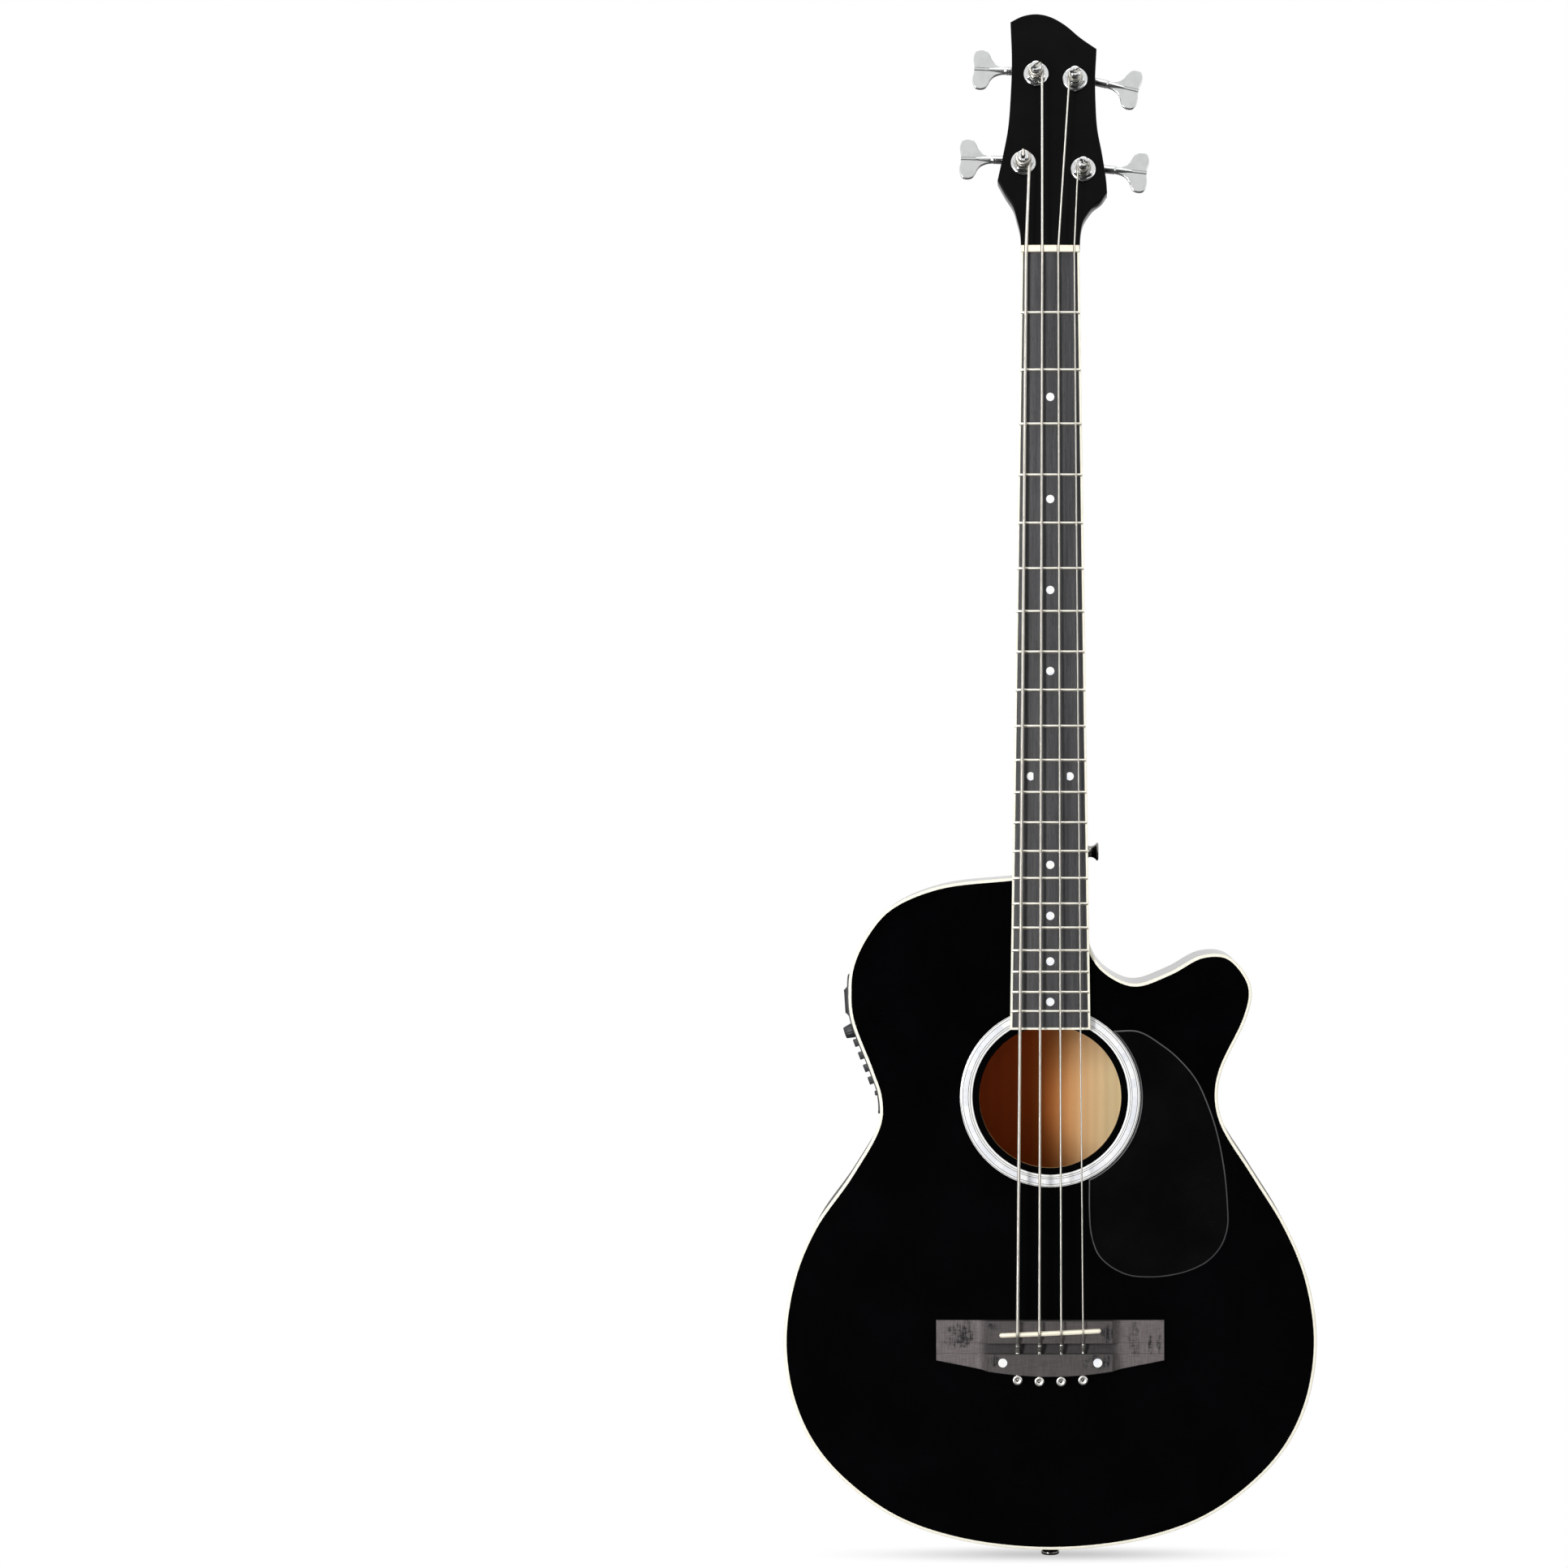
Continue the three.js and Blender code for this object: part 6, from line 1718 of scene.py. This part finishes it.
@dataclass
class WoundString:
    """One wound string from its ball over saddle and nut to its post."""

    name: str
    number: int
    diameter: float
    tuner: Tuner
    bridge: Bridge
    neck: Neck
    turns: float
    saddle_spread: float = 49.2
    hole_height: float = 6.6
    action: float = 0.6
    winding_floor: float = 7.3
    gap: float = 0.5
    fixed_turn: float = 285.0
    turn_steps: int = 48
    sides: int = 12
    ball: float = 7.0
    saddle_gap: float = 0.15
    twist_step: float = 0.5
    post: Vector = field(init=False)

    def __post_init__(self) -> None:
        """Takes the post's place in the headstock from its joint."""
        self.post = (BENCH @ HEAD).inverted() @ self.tuner.place.translation

    @property
    def reach(self) -> float:
        """How far the turns' middle line lies from the post's."""
        return self.tuner.waist + SEAT + self.diameter / 2

    def _route(self) -> Loop:
        """Where the string bends: at its ball, in the channel, on the saddle and on the nut."""
        bridge, neck, r = self.bridge, self.neck, self.diameter / 2
        share = self.number / 3 - 0.5
        nut_x, saddle_x = neck.string_spread * share, self.saddle_spread * share
        ball = Vector((saddle_x, -self.hole_height, bridge.tail(saddle_x) - SEAT - self.ball / 2))
        under = SADDLE_HEIGHT - bridge.channel_start - bridge.channel_length
        channel = Vector((saddle_x, -self.hole_height, under))
        crown = neck.fall(saddle_x) - bridge.saddle_rise
        slanted = SADDLE_HEIGHT + saddle_x * math.tan(math.radians(bridge.slant))
        over_saddle = Vector((saddle_x, crown - self.saddle_gap - r, slanted))
        lift = neck.board_top + neck.fret_height + self.action + r
        over_nut = Vector((nut_x, neck.fall(nut_x) - lift, neck.nut_front + neck.nut_length / 2))
        return [ball, channel, over_saddle, over_nut]

    def _on_post(self, angle: float, level: float) -> Vector:
        """A point of the turns on the post, on the bench."""
        x, z = self.reach * math.cos(angle), self.reach * math.sin(angle)
        return HEAD @ Vector((self.post.x + x, level, self.post.z + z))

    def build(self) -> None:
        """Makes the string with its ball, and the turns that ride with the post."""
        corners = self._route()
        near = HEAD.inverted() @ corners[-1]
        dx, dz = near.x - self.post.x, near.z - self.post.z
        touch = math.atan2(dz, dx) - self.tuner.side * math.acos(self.reach / math.hypot(dx, dz))
        r, sweep, count = self.diameter / 2, -self.tuner.side, self.turn_steps
        level = -(self.winding_floor + SEAT + r)
        fixed = math.radians(self.fixed_turn)
        wrap = [self._on_post(touch + sweep * fixed * i / count, level) for i in range(count + 1)]
        path = rounded([*corners, wrap[0]], 3.0)
        shape = Shape().tube([*path[:-1], *wrap], r, self.sides)
        shape.turned([
            (2.3, -2.0), (3.2, -2.0), (3.5, -1.7), (3.1, -0.7), (3.1, 0.7), (3.5, 1.7), (3.2, 2.0),
            (2.3, 2.0), (1.2, 1.6), (1.2, -1.6),
        ], 32, Axis.Y, corners[0], tint=1, closed=True)
        start = corners[0] + Vector((0.0, 0.0, self.ball / 2 - 0.4))
        bend = rounded([start, corners[1], corners[1].lerp(corners[2], 0.55)], 2.5, 6)
        twist = self._resample(bend, self.twist_step)
        radii = [r + 0.45 + 0.15 * math.sin(i * 1.9) for i in range(len(twist) - 4)]
        shape.tube(twist, [*radii, *[r + 0.1] * 4], self.sides, tint=2)
        made = shape.build(f"wound_string_{self.name}", BENCH, WIRE, BALL_METAL, TWIST, sharp=50)
        deliver(made, "body", "wound_nickel", f"string_{self.name}")
        self._winding(touch + sweep * fixed, level)

    def _winding(self, start: float, level: float) -> None:
        """The upper turns and the end that goes into the post's slot.

        Args:
            start: angle on the post where the fixed turn ends.
            level: depth of the fixed turn in the headstock.
        """
        tuner, r = self.tuner, self.diameter / 2
        sweep, pitch = -tuner.side, self.diameter + self.gap
        axis = math.radians(90.0 - tuner.slot_angle)
        least = self.turns * math.tau
        total = least + ((axis - (start + sweep * least)) * sweep) % math.pi
        count = int(self.turn_steps * total / math.tau)
        first, highest = level - pitch, tuner.tip_length - tuner.post_length + r
        climb = min(pitch * total / math.tau, first - highest)
        path = [self._on_post(start + sweep * total * i / count, first - climb * i / count)
                for i in range(count + 1)]
        seated = tuner.slot_depth - tuner.post_length - r
        centre = HEAD @ Vector((self.post.x, seated, self.post.z))
        rim = path[-1].copy()
        lifted = rim + (HEAD.to_3x3() @ Vector((0.0, seated - (first - climb), 0.0)))
        path = [*path, *rounded([rim, lifted, centre], 2.0, 4)[1:]]
        made = Shape().tube(path, r, self.sides).build(f"string_turns_{self.name}", BENCH, WIRE, sharp=50)
        deliver(made, f"post_{self.name}", "wound_nickel", f"winding_{self.name}")

    @staticmethod
    def _resample(path: Sequence[Vector], step: float) -> Loop:
        """A path with more points.

        Args:
            path: its points.
            step: the longest distance between two points.

        Returns:
            The same path with a point at least at every step.
        """
        line: Loop = [path[0]]
        for a, b in zip(path, path[1:]):
            parts = max(1, math.ceil((b - a).length / step))
            line.extend(a.lerp(b, i / parts) for i in range(1, parts + 1))
        return line


# Preamp


@dataclass
class Preamp:
    """Bezel, controls and battery drawer in the bass side of the upper bout."""

    body: Body
    top: float = 444.6
    length: float = 105.3
    depth: float = 44.0
    half: float = 22.0
    gap: float = 0.3
    thickness: float = 2.0
    running: float = 0.4
    corner: float = 3.0
    steps: int = 44
    case_margin: float = 4.0
    case_width: float = 35.0
    case_depth: float = 20.0
    drawer_place: float = 19.9
    slider_place: float = 50.8
    slider_pitch: float = 9.6
    slider_travel: float = 7.0
    slider_length: float = 6.0
    slot_width: float = 2.4
    slot_depth: float = 1.4
    drawer_length: float = 22.5
    drawer_width: float = 32.0
    drawer_rise: float = 3.0
    drawer_skirt: float = 3.0
    drawer_corner: float = 2.0
    drawer_ribs: tuple[float, ...] = (-7.5, -6.1, -4.7)
    tray_wall: float = 1.2
    battery_length: float = 48.5
    battery_width: float = 26.5
    battery_thickness: float = 17.5
    button_place: float = 90.3
    button_width: float = 3.7
    button_rise: float = 2.5
    knob: float = 11.0
    knob_top: float = 8.0
    knob_height: float = 7.5
    knob_stem: float = 5.6
    ribs: int = 18
    slider_names: tuple[str, ...] = ("low", "low_mid", "high_mid", "high")

    @property
    def front(self) -> float:
        """How far the bezel's face stands off the side."""
        return self.gap + self.thickness

    def _side(self, z: float, steps: int) -> tuple[Vector, Vector]:
        """Point of the bass side at a height, and the direction along it.

        Args:
            z: the height.
            steps: stretches of the outline between two of its points.

        Returns:
            The point and the direction.
        """
        line = [p for p in self.body.outline(steps)[len(OUTLINE_SHARES):-1] if p.x < 0]
        for low, high in zip(line, line[1:]):
            if low.z < z <= high.z:
                return low.lerp(high, (z - low.z) / (high.z - low.z)), (high - low).normalized()
        return line[0], Vector((0.0, 0.0, 1.0))

    def _control(self, below: float, length: float) -> Matrix:
        """Place of a control: X out of the side, Y towards the front, Z up along the side.

        Args:
            below: how far its middle lies below the bezel's top.
            length: the control's length along the side, over which its place is levelled.

        Returns:
            The place.
        """
        low, high = (self._side(self.top - below + step, 2)[0] for step in (-length / 2, length / 2))
        run = (high - low).normalized()
        point = (low + high) / 2
        turn = Matrix((Vector((-run.z, 0.0, run.x)), Vector((0.0, -1.0, 0.0)), run)).transposed().to_4x4()
        return BENCH @ Matrix.Translation((point.x, self.depth, point.z)) @ turn

    def _slider(self, i: int) -> Matrix:
        """Place of a slider by its number from the top."""
        return self._control(self.slider_place + i * self.slider_pitch, self.slider_length)

    @staticmethod
    def _knob() -> Matrix:
        """Place of the knob, from its joint: X out of the side, Y towards the front."""
        turned = joint("volume_turn")
        out, front = Vector(turned["axis"]), Vector((0.0, -1.0, 0.0))
        out = out if out.x < 0 else -out
        turn = Matrix((out, front, out.cross(front))).transposed().to_4x4()
        return Matrix.Translation(turned["pos_m"]) @ turn @ Matrix.Scale(MM, 4)

    def bezel(self) -> None:
        """The thin plate that follows the side, with its window, two holes and four slots."""
        low, high, corner, count = self.gap, self.front, self.corner, self.steps
        rings = []
        for i in range(count + 1):
            z = self.top - self.length * (1 - i / count)
            point, run = self._side(z, 8)
            out = Vector((-run.z, 0.0, run.x))
            edge = min(i, count - i) * self.length / count
            pull = corner - math.sqrt(max(corner ** 2 - max(corner - edge, 0.0) ** 2, 0.0))
            w = self.half - pull
            section = [(-w, low), (-w, high - 0.6), (-w + 0.2, high - 0.15), (-w + 0.7, high),
                       (w - 0.7, high), (w - 0.2, high - 0.15), (w, high - 0.6), (w, low)]
            rings.append([point + out * reach + Vector((0.0, self.depth + y, 0.0)) for y, reach in section])
        made = Shape().skin(rings).build("curved_bezel", BENCH, PLASTIC, sharp=45)
        y, z = self.drawer_width / 2 + self.running, self.drawer_length / 2 + self.running
        window = Shape().block((-4.0, -y, -z), (high + 4.0, y, z))
        cuts = [(window, self._control(self.drawer_place, self.drawer_length))]
        for width, place in ((self.knob_stem, self._knob()),
                             (self.button_width, self._control(self.button_place, self.button_width))):
            reach = width / 2 + self.running
            cuts.append((Shape().turned([(reach, -2.0), (reach, high + 2.0)], 32, Axis.X), place))
        half, reach = self.slot_width / 2, self.slider_travel + self.slot_width / 2
        for i in range(len(self.slider_names)):
            slot = Shape().block((high - self.slot_depth, -reach, -half), (high + 3.0, reach, half))
            cuts.append((slot, self._slider(i)))
        # The cut faces take the near-black plastic: painted shade in the window, holes and slots.
        carve(made, RECESS_SHADE_PLASTIC, *cuts)
        deliver(made, "body", "preamp_plastic", "preamp_bezel")

    def marks(self) -> None:
        """Short pale scale lines beside each slot, the middle one longer."""
        high, thin = self.front, 0.16
        for i, name in enumerate(self.slider_names):
            shape = Shape()
            for k in range(-3, 4):
                y, half = k * self.slider_travel / 3, (1.3 if k else 2.2) / 2
                for side in (-1, 1):
                    z = side * (2.9 + half)
                    shape.block((high - 0.4, y - thin, z - half), (high + 0.08, y + thin, z + half))
            made = shape.build(f"slider_marks_{name}", self._slider(i), MARK)
            deliver(made, "body", "preamp_plastic")

    def sliders(self) -> None:
        """Ribbed slider caps on thin stems."""
        foot = self.front + self.running
        half = ((2.2, 2.1), (3.8, 1.35), (4.0, 1.0), (3.6, 0.7))
        crown = [*((rise, -y) for rise, y in half), (3.2, 0.0), *reversed(half)]
        end = self.slider_length / 2
        for i, name in enumerate(self.slider_names):
            rings = []
            for z, pull in ((-end, 0.3), (0.3 - end, 0.0), (end - 0.3, 0.0), (end, 0.3)):
                section = [(foot, -2.5), *((foot + rise - pull, y) for rise, y in crown), (foot, 2.5)]
                rings.append([Vector((x, y, z)) for x, y in section])
            shape = Shape().skin(rings).block((-4.0, -0.8, -0.8), (foot + 0.2, 0.8, 0.8))
            for side in (-1, 1):
                ridge = ((foot + 3.7, side - 0.15), (foot + 4.0, side), (foot + 3.7, side + 0.15))
                shape.skin([[Vector((x, y, z)) for x, y in ridge] for z in (-2.6, 2.6)])
            made = shape.build(f"slider_cap_{name}", self._slider(i), RUBBER)
            deliver(made, f"slider_{name}", "preamp_plastic", f"tone_slider_{name}")

    def volume(self) -> None:
        """The ribbed, tapered volume knob with a pale pointer."""
        foot, stem = self.front + self.running, self.knob_stem / 2

        def ribbed(radius: float, angle: float) -> float:
            """A radius with shallow flutes."""
            return radius - 0.22 * (0.5 - 0.5 * math.cos(angle * self.ribs)) if radius > 3.2 else radius

        r, t, h = self.knob / 2, self.knob_top / 2, self.knob_height
        shape = Shape().turned([
            (stem, -6.0), (stem, foot), (r - 0.1, foot), (r, foot + 0.2), (r, foot + h * 0.25),
            (t + 0.5, foot + h - 0.7), (t + 0.1, foot + h - 0.15), (t - 0.3, foot + h),
            (2.6, foot + h - 0.05), (2.3, foot + h - 0.4),
        ], self.ribs * 8, Axis.X, trim=ribbed)
        shape.block((foot + h - 0.5, -0.25, 2.4), (foot + h + 0.06, 0.25, t), 1)
        made = shape.build("ribbed_knob", self._knob(), RUBBER, MARK)
        deliver(made, "knob", "preamp_plastic", "volume_knob")

    def button(self) -> None:
        """The small check button."""
        top, r = self.front + self.button_rise, self.button_width / 2
        profile = [(r, -4.0), (r, top - 0.6), (r - 0.15, top - 0.2), (1.3, top), (0.9, top - 0.12),
                   (0.5, top - 0.2)]
        shape = Shape().turned(profile, 32, Axis.X)
        made = shape.build("press_button", self._control(self.button_place, self.button_width), RUBBER)
        deliver(made, "button", "preamp_plastic", "check_button")

    def drawer(self) -> None:
        """The battery drawer's face with a finger grip, and its tray."""
        half_y, half_z = self.drawer_width / 2, self.drawer_length / 2
        face, skirt, wall = self.front + self.drawer_rise, self.drawer_skirt, self.tray_wall
        loop = rounded_box(half_y, -half_z, half_z, self.drawer_corner, 5)
        levels = ((0.0, -skirt), (0.0, face - 2.5), (0.4, face - 2.1), (2.7, face - 0.25), (3.3, face),
                  (3.5, face))
        rings = [[Vector((depth, p.x, p.z)) for p in inset(loop, inward)] for inward, depth in levels]
        shape = Shape().skin(rings)
        ridge = ((face - 0.3, -0.45), (face + 0.28, 0.0), (face - 0.3, 0.45))
        for z in self.drawer_ribs:
            shape.skin([[Vector((x, side * half_y * 0.62, z + off)) for x, off in ridge] for side in (-1, 1)])
        place = self._control(self.drawer_place, self.drawer_length)
        made = shape.build("drawer_face", place, PLASTIC, sharp=40)
        hollow = [(0.2, -11.0), (2.2, -10.0), (2.6, 0.0), (2.2, 10.0), (0.2, 11.0)]
        grip = Shape().turned(hollow, 28, Axis.Y, Vector((face + 1.1, 0.0, half_z * 0.45)))
        # The grip's hollow takes the near-black plastic: painted shade.
        carve(made, RECESS_SHADE_PLASTIC, (grip, place))
        deliver(made, "drawer", "preamp_plastic")
        y, z = (size / 2 + self.running + wall for size in (self.battery_width, self.battery_thickness))
        back = -(self.battery_length + 2 * self.running + wall + skirt)
        tray = Shape().block((back, -y, -z), (0.1 - skirt, y, z)).build("battery_tray", place, PLASTIC)
        pocket = Shape().block((back + wall, wall - y, wall - z), (-skirt, y - wall, z + 1.0))
        # The pocket's walls take the near-black plastic: painted shade.
        carve(tray, RECESS_SHADE_PLASTIC, (pocket, place))
        deliver(tray, "drawer", "preamp_plastic", "battery_drawer")
        coat(PLASTIC, "preamp_case")
        coat(CELL, "battery")

    def opening(self) -> None:
        """The window in the bent side that the case fills."""
        reach, half = self.length / 2 - self.case_margin, self.case_width / 2 + self.running
        high = Vector((self.case_depth, half, reach + self.running))
        window = Shape().block(-high, high)
        carve(self.body.sides, BACK_INSIDE_PAINTED_LIGHT, (window, self._control(self.length / 2, 2 * reach)))

    def build(self) -> None:
        """Makes the preamp's pieces."""
        self.opening()
        self.bezel()
        self.marks()
        self.sliders()
        self.volume()
        self.button()
        self.drawer()


# Strap buttons


@dataclass
class StrapHardware:
    """The strap button on the heel and the jack that serves as the lower one."""

    flange: float = 13.7
    waist: float = 8.5
    base: float = 11.0
    length: float = 10.7
    jack_depth: float = 50.0
    jack_proud: float = 12.2
    bore: float = 3.4

    def heel_button(self) -> None:
        """A turned button with a screw head in its hollow."""
        low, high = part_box("heel_strap_button")
        f, w, b, n = self.flange / 2, self.waist / 2, self.base / 2, self.length
        start = high.x / MM - n
        shape = Shape().turned([
            (2.0, -18.0), (2.0, SEAT), (b, SEAT), (b, 1.4), (b - 0.3, 1.9), (w + 0.5, 2.6), (w, 3.6),
            (w, 5.4), (w + 0.5, 6.8), (f - 1.2, 8.3), (f - 0.2, 8.9), (f, 9.4), (f, 9.9), (f - 0.4, 10.5),
            (f - 1.1, n), (3.6, n), (3.1, n - 0.7),
        ], 48, Axis.X)
        spot = (low + high) / 2
        place = Matrix.Translation((start * MM, spot.y, spot.z)) @ Matrix.Scale(MM, 4)
        made = shape.build("turned_strap_button", place, NICKEL)
        cross = [Shape().block((n - 1.9, -a, -c), (n + 1.0, a, c)) for a, c in ((0.4, 2.2), (2.2, 0.4))]
        carve(made, NICKEL, *((bar, place) for bar in cross))
        deliver(made, "body", "dark_nickel", "heel_strap_button")

    def end_jack(self) -> None:
        """The hollow end pin with its collar and barrel."""
        f, w, p, r = self.flange / 2, self.waist / 2 + 0.85, self.jack_proud, self.bore
        shape = Shape().turned([
            (r + 0.5, 0.0), (f - 0.8, 0.0), (f - 0.2, 0.4), (f, 1.0), (f, 2.2), (f - 0.3, 2.7),
            (w + 0.6, 3.6), (w, 4.6), (w, p - 4.4), (w + 0.6, p - 3.4), (f - 0.3, p - 2.6), (f, p - 2.2),
            (f, p), (5.2, p), (5.2, p + 33.0), (3.0, p + 33.0), (r, 40.0), (r, 0.5),
        ], 48, Axis.Z, Vector((0.0, self.jack_depth, 0.0)), closed=True)
        deliver(shape.build("hollow_end_pin", BENCH, NICKEL), "body", "dark_nickel", "end_pin_jack")

    def build(self) -> None:
        """Makes both."""
        self.heel_button()
        self.end_jack()


# Letter, diameter, turns over the fixed one, side of the head, angle of the post's slot and of the hexagon.
STRINGS = (
    ("e", 2.5, 1.0, -1, 0.0, 0.0),
    ("a", 2.0, 1.0, -1, 48.0, 30.0),
    ("d", 1.5, 1.25, 1, 54.0, 0.0),
    ("g", 1.1, 1.5, 1, 107.0, 30.0),
)


def main() -> None:
    """Builds the studio and the guitar."""
    logging.basicConfig(level=logging.INFO, format="%(message)s")
    studio = Studio()
    studio.camera()
    studio.build()
    body, neck, bridge = Body(), Neck(), Bridge()
    for part in (body, Front(), neck, bridge, Preamp(body), StrapHardware()):
        part.build()
        log.info("%s is built", type(part).__name__)
    for number, (name, diameter, turns, side, slot_angle, hex_turn) in enumerate(STRINGS):
        tuner = Tuner(name, side, slot_angle, hex_turn)
        tuner.build()
        WoundString(name, number, diameter, tuner, bridge, neck, turns).build()


if __name__ == "__main__":
    main()
